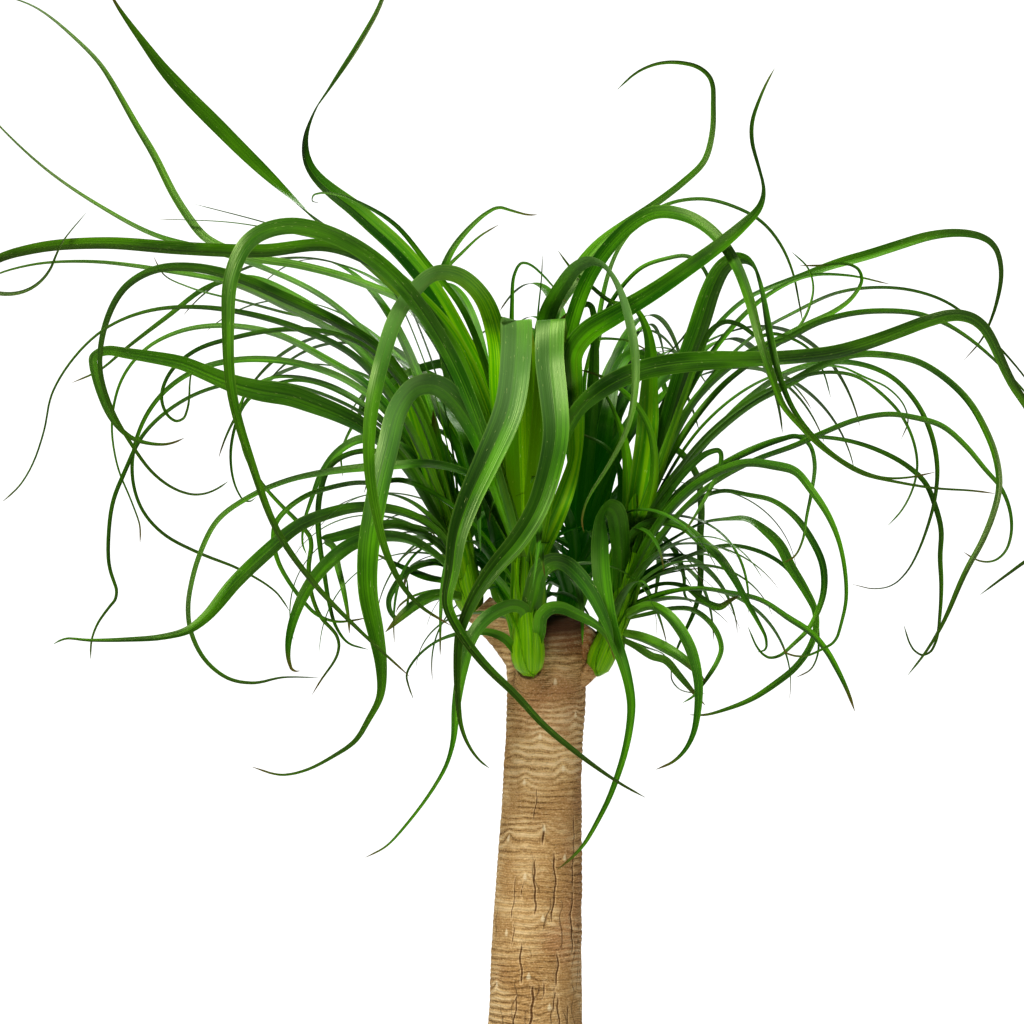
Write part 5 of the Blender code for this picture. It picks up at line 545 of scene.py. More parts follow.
          (-28.5, 88.2), (-31.5, 87), (-33.8, 85), (-35.7, 82), (-36.3, 79.2), (-37.2, 76.6), (-38.2, 75),
          (-39.4, 73.9))),
        ((0.8, 0.9, 0.8, 0.6, 0.35, 0.18, 0.12), (0.3, 2, 5, 7, 8), (-120, -140, -150, -170),
         ((-4.8, 69), (-6.5, 74), (-9, 79), (-12, 82.6), (-15, 84.5), (-19, 86.5), (-23, 87.1), (-26, 86.7),
          (-28.6, 85.4), (-30.4, 83.2), (-31.2, 80), (-30.8, 76.6), (-29.7, 73.8), (-29.1, 72),
          (-29.1, 70.8))),
        ((0.9, 1.0, 1.2, 1.5, 1.8, 1.2, 0.9, 0.6, 0.4, 0.12), (0.2, -3, -8, -12, -13, -12),
         (-60, -30, -15, -10, 20),
         ((-4.9, 68.5), (-7, 73), (-9.3, 76.8), (-12, 79.3), (-14, 80.4), (-16, 81.2), (-18, 81.9),
          (-20, 82.2), (-22, 82.7), (-24, 83.5), (-26, 84.3), (-28, 84.7), (-30, 85), (-31.8, 85.2),
          (-32.6, 84.7), (-32.5, 83.6), (-32.2, 82.4), (-31.2, 80.1), (-29.8, 78.7), (-28, 78.2),
          (-26.8, 78.25), (-25.8, 78.65))),
        ((0.8, 0.8, 0.7, 0.6, 0.4, 0.27, 0.25, 0.12), (0.3, 5, 10, 14, 15, 14), (-120, -150, -170, -180),
         ((-5, 69), (-7, 74), (-9, 78.5), (-11.5, 81.5), (-14, 83.2), (-18, 84.4), (-22, 84.5), (-25, 83.7),
          (-27.1, 82.3), (-28.6, 80.4), (-29.6, 77.6), (-29.6, 75.2), (-28.9, 73.2), (-27.4, 71.5),
          (-24.6, 70), (-21.6, 68.8), (-18.8, 67), (-17.9, 65.7))),
        ((0.7, 0.7, 0.6, 0.5, 0.4, 0.4, 0.3, 0.12), (0.2, -2, -5, -7, -8), (-70, -60, -40, -20),
         ((-5, 69.5), (-7.5, 75), (-11, 79.5), (-15, 81.8), (-19, 82.8), (-23, 82.6), (-26, 81.4),
          (-28.8, 79), (-30.3, 76), (-31.1, 74), (-31.45, 71.5), (-31.4, 69), (-30.9, 67.4), (-30.8, 66.8),
          (-31.4, 66), (-32.3, 64.7), (-32.75, 63.4), (-32.8, 62.1))),
        ((0.9, 1.0, 0.9, 0.7, 0.5, 0.12), (0.3, 7, 13, 19, 23), (-120, -140, -150),
         ((-4.7, 68.5), (-6.3, 75), (-9, 81), (-13, 86), (-17.5, 89.3), (-21, 90.7), (-24, 90), (-27, 87.8),
          (-30, 85.5), (-32.2, 83.7), (-34.2, 82.8))),
        ((0.7, 0.7, 0.6, 0.5, 0.4, 0.25, 0.1), (0.2, -3, -7, -9, -9, -8), (-60, -50, -30, 0),
         ((-4.9, 69.5), (-6.5, 76), (-9, 82), (-12, 85.4), (-15, 86.6), (-18.5, 86.8), (-22, 86.2),
          (-25, 85.2), (-26.9, 83.5), (-27.5, 81.6), (-26.8, 80.1), (-26, 79.9), (-25.5, 81), (-25.35, 83),
          (-25.1, 84.4))),
        ((0.5, 0.5, 0.4, 0.3, 0.1), (0.3, 4, 9, 12), (-120, -140),
         ((-4.8, 69.5), (-6, 76.5), (-9, 83), (-13.5, 87), (-18, 88), (-21, 88.8), (-25.5, 90),
          (-27.3, 90.9), (-28.1, 92.3))),
        ((0.8, 0.9, 0.9, 0.6, 0.15), (0.3, 8, 14, 17), (-120, -140),
         ((-4.8, 69.5), (-6, 75.5), (-8.5, 81), (-11, 84.4), (-14, 86.2), (-17, 88), (-19.5, 89.2),
          (-21.7, 89.9))),
        ((0.5, 0.5, 0.4, 0.3, 0.1), (0.3, -1, -3, -4), (-90, -60),
         ((-4.8, 69), (-5.8, 77), (-8, 85), (-10.7, 90.5), (-14, 93.3), (-17, 94), (-20, 94.9),
          (-25, 96.2))),
        ((0.5, 0.5, 0.4, 0.3, 0.1), (0.3, 1.5, 4, 6), (-100, -120),
         ((-4.8, 69.5), (-5.6, 77.5), (-7.6, 85.5), (-10.5, 91), (-14.5, 93.2), (-18, 94.1), (-22, 94.8),
          (-28, 95.1))),
        ((0.7, 0.9, 0.9, 1.0, 1.1, 1.0, 0.5, 0.3, 0.12), (0.2, -4, -9, -12, -13, -12),
         (-60, -20, -10, 10, 10),
         ((-4.7, 68), (-6.8, 71.7), (-9, 73), (-12.4, 73.5), (-15, 73), (-17.2, 72.1), (-19.5, 70.2),
          (-22, 67.8), (-24.2, 65.2), (-25.5, 64.25), (-27.4, 63.75), (-30, 63.55), (-33, 63.5),
          (-34.8, 63.6), (-35.6, 63.2))),
        ((0.7, 0.8, 1.0, 1.1, 0.9, 0.6, 0.12), (0.2, -3, -6, -8, -8), (-60, -20, 0, 0),
         ((-4.6, 67.5), (-7, 70), (-9, 71.1), (-11, 71.3), (-13, 70.8), (-15, 69.3), (-16.6, 67.3),
          (-17.6, 65), (-18, 63), (-17.9, 61.8), (-17.6, 61.2), (-17.1, 61.2))),
        ((0.6, 0.8, 0.8, 0.8, 0.6, 0.4, 0.12), (0.2, -1.5, -3.5, -5.6, -7, -7.2), (-60, -20, 0, 0),
         ((-4.8, 68.5), (-7.5, 71.3), (-10, 72.2), (-12.6, 71.7), (-14.6, 71.2), (-15.4, 71.0),
          (-14.7, 70.6), (-14.3, 69), (-13.9, 67.5), (-13.6, 66), (-13.45, 65), (-13.4, 64))),
        ((0.8, 0.9, 0.9, 0.7, 0.15), (0.2, -1.5, -3, -3.5), (-40, -10, 0),
         ((-4.2, 66.3), (-5.3, 66.8), (-6.9, 66.9), (-8.25, 66.3), (-9.4, 65.4), (-10.2, 64.6),
          (-10.7, 64.1))),
        ((0.5, 0.6, 0.5, 0.3), (0.2, 0.5, 0.8), (-90, -120),
         ((-4.4, 66.8), (-6.2, 67.3), (-7.8, 67.1), (-9, 66.6), (-9.7, 66), (-9.9, 65.6))),
        ((0.5, 0.5, 0.6, 0.6, 0.4, 0.2, 0.1), (0.3, 2, 3.5, 4, 4.2, 5), (-120, -150, -180),
         ((-4.6, 68), (-6.6, 69.2), (-8, 69.1), (-9.2, 68.5), (-10, 67.5), (-10.45, 66.4), (-10.3, 65.6),
          (-9.8, 65.1), (-9.2, 65.5), (-9, 66.6), (-9.1, 68.3))),
        ((0.7, 0.7, 0.7, 0.4, 0.12), (0.3, 4, 7, 9), (-120, -140),
         ((-4.5, 67.4), (-6, 67.9), (-7.5, 68.2), (-9, 68.8), (-10.3, 69.4), (-11.6, 70.1))),
        ((0.8, 0.9, 0.9, 0.9, 0.6, 0.3, 0.12), (0.3, 3, 5, 6, 6), (-120, -150, -170),
         ((-5, 70), (-7, 75), (-9.5, 78), (-12.5, 78.6), (-14.3, 77.6), (-15.5, 76), (-16.2, 74.2),
          (-16.8, 72.3), (-16.9, 70.7), (-16.6, 69.9))),
        ((0.6, 0.6, 0.6, 0.5, 0.5, 0.4, 0.3, 0.1), (0.2, -1, -1.5, -2, -2), (-60, -30, 0),
         ((-4.9, 69.3), (-7.2, 74.5), (-10, 77.3), (-13, 77.6), (-14.8, 76.6), (-15.6, 74.5),
          (-15.75, 72.5), (-15.6, 70.5), (-15.25, 68.3), (-14.9, 66.2), (-14.4, 64.5), (-13.5, 63.3),
          (-12, 62.8))),
        ((0.6, 0.6, 0.5, 0.4, 0.3, 0.3, 0.4, 0.3, 0.1), (0.3, 6, 11, 12, 11, 10), (-120, -150, -180),
         ((-5, 70), (-8, 76.5), (-12, 81), (-16, 83), (-19.5, 83.1), (-21.3, 81.8), (-21.6, 79.6),
          (-21.2, 77.4), (-20, 75.3), (-18.5, 73.6), (-17.1, 72.2), (-16.3, 71.1), (-16.45, 69),
          (-16.2, 66.8), (-15.4, 65), (-14.4, 64), (-14.15, 62.9), (-14.6, 61.8), (-15.4, 60.7),
          (-16.2, 59.4))),
        ((0.5, 0.5, 0.5, 0.4, 0.3, 0.25, 0.1), (0.3, 7, 14, 18, 19), (-120, -150, -180),
         ((-5, 69.5), (-8.5, 77), (-13, 81.5), (-17.5, 83), (-21, 81.5), (-22.2, 78.5), (-22.2, 76),
          (-21.7, 74.5), (-21.1, 73.8), (-20.4, 74.2))),
    ),
    "leaf_head_back_left": (
        ((0.9, 1.0, 1.0, 0.8, 0.7, 0.4, 0.12), (5, 7, 8, 9, 9), (180, 170, 160),
         ((-2, 68.5), (-4.5, 78), (-6.5, 86), (-6.8, 89.5), (-6.4, 91.2), (-5.6, 92.9), (-4.2, 94.6),
          (-3, 95.6), (-2.2, 95.95), (-1.2, 95.7), (0, 95.4), (0.7, 95.4))),
        ((0.5, 0.6, 0.5, 0.4, 0.1), (5, 9, 11, 13), (180, 170),
         ((-2.2, 69), (-4.8, 79), (-6.6, 86.5), (-6.7, 90), (-6, 91.5), (-5, 92.5), (-3.6, 93.8),
          (-2.2, 94.65))),
        ((0.8, 1.0, 1.0, 0.9, 0.6, 0.3, 0.12), (5, 6.5, 8, 8, 8), (180, 190, 200),
         ((-2, 68), (-3.2, 76), (-4, 82), (-5.5, 84.2), (-8, 83.9), (-10.5, 82.6), (-12.8, 80.2),
          (-14, 77.5), (-13.9, 75.8))),
    ),
    "leaf_head_back_right": (
        ((0.5, 0.5, 0.4, 0.4, 0.3, 0.3, 0.25, 0.1), (5, 7, 9, 10, 10), (170, 160, 170),
         ((4, 69), (4.2, 76), (5, 86), (7, 93.2), (10, 96), (13, 96.6), (15.5, 96), (17.5, 94.9),
          (19, 93.1), (19.9, 91), (20.3, 89), (20.6, 87.3))),
        ((0.5, 0.5, 0.45, 0.4, 0.35, 0.35, 0.3, 0.1), (5, 8, 8, 6, 5), (170, 160, 150),
         ((4.1, 69.5), (4.4, 77), (5, 84.5), (6, 88.4), (7.2, 90.2), (8.6, 91.5), (10.3, 92.1), (12, 92.3),
          (13, 91.6), (13.6, 90.3), (13.3, 88.7), (12.3, 87.1), (11.3, 85.8), (10.2, 84.7))),
        ((0.6, 0.6, 0.5, 0.35, 0.25, 0.1), (5, 5, 4, 3.5), (180, 160),
         ((4, 69), (4.2, 77), (4.4, 84), (5.2, 86), (6.3, 86.1), (7.6, 85.9), (9.2, 85.1))),
        ((0.9, 1.2, 1.3, 1.1, 0.9, 0.6, 0.12), (5, 7, 8, 10, 12), (180, 180, 170),
         ((4, 69), (5.3, 76), (6, 81), (6.7, 83.8), (7.6, 84.9), (8.8, 84.8), (9.6, 84), (10.3, 82.4),
          (10.9, 80))),
        ((0.9, 1.1, 1.1, 1.0, 0.8, 0.5, 0.3), (4.8, 4, 3, 0.5, -0.5), (170, 175, 180),
         ((3.8, 68.3), (4.3, 75), (4.8, 81), (5, 85.5), (4.95, 87.8), (4.6, 88.7), (3.9, 88.5), (3, 87.9),
          (2.2, 87.4))),
        ((0.7, 0.8, 0.6, 0.6, 0.6, 0.4, 0.12), (5, 8, 9, 9, 9), (170, 150, 180),
         ((4.2, 70), (7.5, 75.5), (10.8, 77.9), (12.6, 76), (13, 73.5), (12.9, 71), (12.95, 68.5),
          (12.85, 67), (12.4, 65.5), (11.7, 64), (11.2, 62.9), (10.9, 62))),
        ((0.5, 0.5, 0.5, 0.4, 0.15), (5, 6, 7, 7), (150, 160),
         ((4, 69), (7.5, 71.8), (9.8, 71.4), (11.2, 69.9), (11.7, 68.2), (11.8, 66.8), (12.3, 66.3))),
    ),
}


# Leaves that the front view hides, by rule: count, headings in degrees and lengths
hiddenLeaves = {
    "leaf_head_back_left": (14, 170, 240, 30, 44),
    "leaf_head_back_right": (14, 120, 190, 30, 44),
    "leaf_head_left": (1, 200, 220, 34, 44),
    "leaf_head_right": (1, 130, 150, 34, 44),
}

# Short leaves that fill each head: count, headings, heights of their feet and lengths
shortLeaves = {
    "leaf_head_front": (5, 70, 290, 64, 68, 8, 15),
    "leaf_head_right": (12, 10, 200, 63, 70, 9, 20),
    "leaf_head_left": (10, 130, 330, 67, 71, 9, 20),
    "leaf_head_back_left": (20, 0, 360, 65.5, 70, 9, 22),
    "leaf_head_back_right": (26, 0, 360, 65.5, 70, 9, 22),
}

# How both kinds grow: first slope, how far they bend over and swing round (degrees), how early and
# how strongly they bend, how they roll, and their widths (a drawn one times a row of shares)
archRule = {
    "slope": (66, 84),
    "drop": (95, 165),
    "swing": (-25, 25),
    "broad": (0.7, 1.5),
    "early": 0.25,
    "curl": 1.7,
    "veer": 1,
    "roll": 0.25,
    "rolls": 5,
    "widths": (0.8, 1, 1, 0.9, 0.7, 0.4, 0.1),
    "feet": (66.5, 71.5),
}
hangRule = {
    "slope": (25, 75),
    "drop": (80, 150),
    "swing": (-50, 50),
    "broad": (0.6, 1.15),
    "early": 0,
    "curl": 1.3,
    "veer": 2,
    "roll": 0.2,
    "rolls": 4,
    "widths": (0.9, 1, 1, 0.85, 0.6, 0.35, 0.08),
}

# Blades that clasp each core one over the other: count, height they share out, lengths, width, how
# close they lie to the core, how far they lean out, and the spiral that they stand in (degrees)
sheathLook = {
    "count": 9,
    "span": 7.5,
    "short": 6.5,
    "long": 13.0,
    "width": 2.0,
    "widths": (0.75, 1.0, 1.0, 0.92, 0.8, 0.62, 0.4, 0.1),
    "hug": 0.7,
    "lean": 1.1,
    "tuck": 0.25,
    "firstTurn": 200,
    "nextTurn": 137.5,
}

# Cores that the leaves grow from: x, y, z, radius
cores = {
    "leaf_head_front": (
        (0.1, -3.35, 60.95, 0.45), (0.1, -3.4, 61.4, 0.95), (0.05, -3.5, 62.3, 1.25),
        (0.0, -3.6, 64.0, 1.15), (-0.15, -3.6, 66.0, 1.0), (-0.2, -3.5, 69.0, 0.9),
        (-0.1, -3.4, 73.0, 0.75), (0.0, -3.3, 77.0, 0.4),
    ),
    "leaf_head_right": (
        (5.0, -0.7, 60.95, 0.4), (5.2, -0.75, 61.4, 0.85), (5.5, -0.8, 62.2, 1.05), (6.1, -0.8, 63.6, 0.95),
        (6.9, -0.7, 66.0, 0.95), (7.4, -0.5, 69.4, 0.95), (8.2, -0.3, 73.5, 0.8), (9.0, -0.1, 77.5, 0.4),
    ),
    "leaf_head_left": (
        (-3.8, 0.2, 65.5, 0.5), (-4.15, 0.2, 66.1, 0.95), (-4.5, 0.2, 67.2, 1.15), (-4.9, 0.25, 69.4, 1.0),
        (-5.7, 0.4, 72.5, 0.85), (-6.7, 0.6, 75.5, 0.4),
    ),
    "leaf_head_back_left": (
        (-0.85, 3.8, 64.8, 0.5), (-1.15, 4.1, 65.8, 1.0), (-2.2, 4.9, 69.0, 1.0), (-3.4, 5.8, 73.0, 0.8),
        (-4.4, 6.6, 76.5, 0.4),
    ),
    "leaf_head_back_right": (
        (2.95, 3.8, 64.8, 0.5), (3.2, 4.1, 65.8, 1.0), (4.0, 4.8, 69.0, 1.0), (4.8, 5.6, 73.0, 0.8),
        (5.4, 6.4, 76.5, 0.4),
    ),
}

# The trunk: height, centre to the right, radius, and its woody necks: x, y, z, radius
trunkStations = (
    (14.5, 0.0, 5.2), (15.3, 0.0, 6.6), (16.8, 0.0, 7.6), (18.7, 0.0, 8.0), (20.5, 0.0, 7.7),
    (23.0, 0.05, 6.6), (26.0, 0.15, 5.2), (29.5, 0.3, 4.2), (34.0, 0.45, 3.6), (39.0, 0.6, 3.42),
    (44.0, 0.75, 3.26), (48.0, 0.9, 3.12), (52.0, 1.12, 2.97), (56.0, 1.25, 2.9), (60.0, 1.36, 2.96),
    (63.0, 1.38, 3.0), (65.4, 1.5, 2.7),
)
necks = (
    ((0.4, 0.1, 61.6, 1.7), (-1.9, 0.15, 64.1, 1.3), (-3.7, 0.2, 65.9, 1.2)),
    ((0.9, 1.0, 61.6, 1.6), (-0.2, 2.9, 63.6, 1.4), (-0.9, 3.8, 65.0, 1.25)),
    ((1.9, 1.0, 61.6, 1.6), (2.6, 2.9, 63.6, 1.4), (2.95, 3.8, 65.0, 1.25)),
    ((3.0, -0.1, 61.8, 1.5), (4.0, -0.2, 63.4, 1.15), (4.7, -0.3, 64.4, 0.7)),
    ((3.2, -0.4, 60.2, 0.9), (4.4, -0.6, 61.1, 0.75), (5.2, -0.7, 61.6, 0.55)),
    ((0.6, -1.0, 59.8, 1.5), (0.2, -2.3, 60.8, 1.3), (0.1, -3.1, 61.4, 0.9)),
)

# How blades are divided and how far they are bent clear of each other, as in the part
growth = {
    "seed": 23,
    "samples": 72,
    "turnPerStation": 31.0,
    "twistShare": 0.6,
    "lengthPerStation": 11.0,
    "turnEase": 0.35,
    "rootZone": 9.0,
    "freeFrom": 1.5,
    "freeRun": 9.0,
    "ownRun": 5.0,
    "clearance": 0.16,
    "sideMargin": 0.1,
    "depthMargin": 0.14,
    "spread": 1.6,
    "calm": 2.2,
    "pace": 0.8,
    "rounds": 160,
    "trunkClearance": 0.25,
    "trunkFrom": 40.0,
    "tubeStep": 0.7,
}


def curveThrough(keys, values, wanted):
    # A smooth curve through the values at the keys
    keys = np.asarray(keys, float)
    values = np.asarray(values, float)
    slopes = np.gradient(values, keys, axis=0)
    place = np.clip(np.searchsorted(keys, wanted, side="right") - 1, 0, len(keys) - 2)
    span = keys[place + 1] - keys[place]
    share = (wanted - keys[place]) / span
    if values.ndim == 2:
        span = span[:, None]
        share = share[:, None]
    square = share * share
    cube = square * share
    return ((2 * cube - 3 * square + 1) * values[place] + (cube - 2 * square + share) * span * slopes[place]
            + (3 * square - 2 * cube) * values[place + 1] + (cube - square) * span * slopes[place + 1])


def straightThrough(keys, rows, wanted):
    return np.stack([np.interp(wanted, keys, column) for column in rows.T], axis=1)


def evenValues(values, shares):
    return np.interp(shares, np.linspace(0, 1, len(values)), values)


def lengthsAlong(points):
    return np.concatenate(([0.0], np.cumsum(np.linalg.norm(np.diff(points, axis=0), axis=1))))


def evenly(points, count):
    run = lengthsAlong(points)
    return straightThrough(run, points, np.linspace(0, run[-1], count))


def turnsBetween(rows):
    # Degrees between each unit row and the next
    return np.degrees(np.arccos(np.clip(np.sum(rows[1:] * rows[:-1], axis=1), -1, 1)))


def unit(rows):
    return rows / np.maximum(np.linalg.norm(rows, axis=-1, keepdims=True), 1e-9)


def coreAt(head, height):
    core = np.array(cores[head])
    return np.array([np.interp(height, core[:, 2], core[:, axis]) for axis in range(3)])


def settleAcross(points, wanted, start):
    # Carries the blade's width direction along the leaf, easing towards the wanted one
    tangents = unit(np.gradient(points, axis=0))
    across = np.zeros_like(points)
    held = start
    for place, tangent in enumerate(tangents):
        held = held - tangent * held.dot(tangent)
        held = held / max(np.linalg.norm(held), 1e-9)
        goal = wanted[place] - tangent * wanted[place].dot(tangent)
        size = np.linalg.norm(goal)
        if size > 1e-6:
            goal = goal / size
            if goal.dot(held) < 0:
                goal = -goal
            sideways = tangent[0] ** 2 + tangent[2] ** 2
            ease = growth["turnEase"] * sideways ** 2 * min(1.0, size)
            held = unit(held * (1 - ease) + goal * ease)
        across[place] = held
    return across


def bladeStations(points, across):
    # Where the part's straight lengths of the blade meet
    bend = turnsBetween(unit(np.gradient(points, axis=0)))
    turn = np.hypot(bend, growth["twistShare"] * turnsBetween(across))
    cost = turn / growth["turnPerStation"] + np.diff(lengthsAlong(points)) / growth["lengthPerStation"]
    total = np.concatenate(([0.0], np.cumsum(cost)))
    count = max(4, int(math.ceil(total[-1])) + 1)
    return np.interp(np.linspace(0, total[-1], count), total, np.arange(len(total)))


class Leaf:
    # The smooth blade, and the same blade held straight between the part's few stations
    def __init__(self, head, points, across, widths):
        self.head = head
        self.sheath = False
        self.look = {}
        self.smooth = points
        self.smoothAcross = across
        self.smoothWidths = widths
        places = bladeStations(points, across)
        index = np.arange(len(points))
        self.places = places
        self.hold = np.zeros((len(points), len(points)))
        for number, place in enumerate(places):
            low = min(int(place), len(points) - 2)
            hat = np.interp(index, places, np.eye(len(places))[number])
            self.hold[:, low] += hat * (1 - (place - low))
            self.hold[:, low + 1] += hat * (place - low)
        self.points = self.hold @ points
        self.across = unit(self.hold @ across)
        self.widths = self.hold @ widths
        self.run = lengthsAlong(self.points)


def seenLeaf(head, widths, depths, turns, route):
    eye = view["eye"]
    count = growth["samples"]
    root = coreAt(head, route[0][1])
    route = np.array(((root[0], root[2]),) + tuple(route[1:]), float)
    keys = np.concatenate(([0.0], np.cumsum(np.linalg.norm(np.diff(route, axis=0), axis=1) ** 0.7)))
    flat = evenly(curveThrough(keys, route, np.linspace(0, keys[-1], count * 6)), count)
    shares = np.linspace(0, 1, count)
    depth = curveThrough(np.linspace(0, 1, len(depths)), depths, shares)
    depth = depth + (root[1] - depth[0]) * np.clip(1 - shares * 5, 0, 1)
    nearer = (depth - eye[1]) / -eye[1]
    points = np.stack((eye[0] + (flat[:, 0] - eye[0]) * nearer, depth,
                       eye[2] + (flat[:, 1] - eye[2]) * nearer), axis=1)
    slopes = np.gradient(flat, axis=0)
    normal = unit(np.stack((slopes[:, 1], np.zeros(count), -slopes[:, 0]), axis=1))
    turn = np.radians(evenValues(turns, shares))[:, None]
    wanted = np.cos(turn) * normal + np.sin(turn) * np.array((0.0, 1.0, 0.0))
    run = lengthsAlong(points)
    even = np.linspace(0, run[-1], count)
    wanted = straightThrough(run, wanted, even)
    width = np.interp(even, run, evenValues(widths, shares))
    points = evenly(points, count)
    return Leaf(head, points, settleAcross(points, wanted, wanted[0]), width)


def ruledLeaf(head, draw, heading, foot, length, rule):
    # A leaf by rule: it leaves its core at a slope and bends over under its own weight
    count = growth["samples"]
    slope = math.radians(draw.uniform(*rule["slope"]))
    drop = math.radians(draw.uniform(*rule["drop"]))
    swing = math.radians(draw.uniform(*rule["swing"]))
    broad = draw.uniform(*rule["broad"])
    heading = math.radians(heading)
    step = length / (count - 1)
    points = [coreAt(head, foot)]
    wanted = []
    for place in range(count):
        share = place / (count - 1)
        rise = slope - drop * (rule["early"] * share + (1 - rule["early"]) * share ** rule["curl"])
        way = heading + swing * share ** rule["veer"]
        level = math.cos(rise)
        forward = np.array((math.sin(way) * level, -math.cos(way) * level, math.sin(rise)))
        roll = rule["roll"] * math.sin(rule["rolls"] * share + heading)
        wanted.append((math.cos(way), math.sin(way), roll))
        points.append(points[-1] + forward * step)
    width = broad * evenValues(rule["widths"], np.linspace(0, 1, count))
    points = np.array(points[:-1])
    wanted = np.array(wanted)
    return Leaf(head, points, settleAcross(points, wanted, wanted[0]), width)


def sheathLeaves(head, draw):
    # Broad folded blades that wrap the core, each a little further up and round than the last
    look = sheathLook
    core = np.array(cores[head])
    count = growth["samples"]
    shares = np.linspace(0, 1, count)
    found = []
    for number in range(look["count"]):
        share = number / (look["count"] - 1)
        angle = math.radians(look["firstTurn"] + look["nextTurn"] * number)
        length = look["short"] + (look["long"] - look["short"]) * draw.uniform(0.3, 1.0) * share ** 0.5
        foot = core[0, 2] - 0.1 + look["span"] * share
        heights = foot + length * shares * 0.97
        axis = curveThrough(core[:, 2], core, np.minimum(heights, core[-1, 2]))
        slope = unit(core[-1, :3] - core[-3, :3])
        axis[:, :3] += np.outer(np.maximum(heights - core[-1, 2], 0), slope)
        away = np.array((math.cos(angle), math.sin(angle), 0.0))
        lean = look["lean"] * draw.uniform(0.4, 1.6)
        reach = axis[:, 3] * look["hug"] + lean * shares ** 2.2 - look["tuck"] * (1 - shares) ** 6
        points = axis[:, :3] + np.outer(reach, away)
        wanted = np.tile((-math.sin(angle), math.cos(angle), 0.0), (count, 1))
        width = look["width"] * draw.uniform(0.8, 1.1) * evenValues(look["widths"], shares)
        blade = Leaf(head, points, settleAcross(points, wanted, wanted[0]), width)
        blade.sheath = True
        blade.look = {"youth": 1.0}
        found.append(blade)
    return found


def headingIn(low, high, place, count, draw, early, late):
    # One heading out of an even fan, moved a little within its share
    return low + (high - low) * (place + draw.uniform(early, late)) / count


def fillLeaves(draw):
    leaves = []
    for head, (count, low, high, footLow, footHigh, short, long) in shortLeaves.items():
        for place in range(count):
            heading = headingIn(low, high, place, count, draw, 0.1, 0.9)
            foot = draw.uniform(footLow, footHigh)
            length = draw.uniform(short, long)
            leaves.append(ruledLeaf(head, draw, heading, foot, length, hangRule))
    return leaves


def allLeaves():
    draw = random.Random(growth["seed"])
    leaves = []
    for head, rows in leafRoutes.items():
        for place, row in enumerate(rows):
            leaf = seenLeaf(head, *row)
            leaf.look = ownLooks.get(head, {}).get(place, {})
            leaves.append(leaf)
    for head, (count, low, high, short, long) in hiddenLeaves.items():
        for place in range(count):
            heading = headingIn(low, high, place, count, draw, 0.2, 0.8)
            length = draw.uniform(short, long)
            foot = draw.uniform(*archRule["feet"])
            leaves.append(ruledLeaf(head, draw, heading, foot, length, archRule))
    return leaves


def evenTube(stations, extra):
    stations = np.asarray(stations, float)
    run = lengthsAlong(stations[:, :3])
    rows = straightThrough(run, stations, np.arange(0, run[-1], growth["tubeStep"]))
    return rows[:, :3], rows[:, 3] + extra


def obstacles():
    # The trunk, its necks and the cores as rows of balls
    trunk = np.array(trunkStations)
    heights = np.arange(growth["trunkFrom"], 65.5, 1.0)
    middles, radii = (np.interp(heights, trunk[:, 0], trunk[:, column]) for column in (1, 2))
    centres = np.stack((middles, np.zeros(len(heights)), heights), axis=1)
    found = [("trunk", centres, radii + growth["trunkClearance"])]
    for neck in necks:
        found.append(("trunk",) + evenTube(neck, growth["trunkClearance"]))
    for head, core in cores.items():
        found.append((head,) + evenTube(core, 0.0))
    return found


def nearPairs(points, flat, owner, head, run, solid):
    # Pairs of stations that lie over one another in the front view
    firsts = []
    seconds = []
    for number in range(owner.max() + 1):
        rows = np.nonzero(owner == number)[0]
        others = np.nonzero(owner >= number)[0]
        apart = np.hypot(points[rows, None, 0] - points[None, others, 0],
                         points[rows, None, 2] - points[None, others, 2])
        close = apart < flat[rows][:, None] + flat[others][None]
        one = owner[others][None] == number
        close &= ~one | (run[others][None] - run[rows][:, None] > growth["ownRun"])
        rooted = (run[rows][:, None] < growth["rootZone"]) & (run[others][None] < growth["rootZone"])
        kin = head[others][None] == head[rows][:, None]
        close &= ~(kin & (rooted | solid[others][None] | solid[rows][:, None]))
        close &= ~(solid[others][None] & solid[rows][:, None])
        place, other = np.nonzero(close)
        firsts.append(rows[place])
        seconds.append(others[other])
    return np.concatenate(firsts), np.concatenate(seconds)


def crossingNumbers(owner, first, second):
    # One number for each place where two blades cross
    pair = owner[first] * (owner.max() + 1) + owner[second]
    order = np.lexsort((first, pair))
    fresh = (np.diff(pair[order]) != 0) | (np.diff(first[order]) > 3)
    numbers = np.empty(len(order), int)
    numbers[order] = np.concatenate(([0], np.cumsum(fresh)))
    return numbers


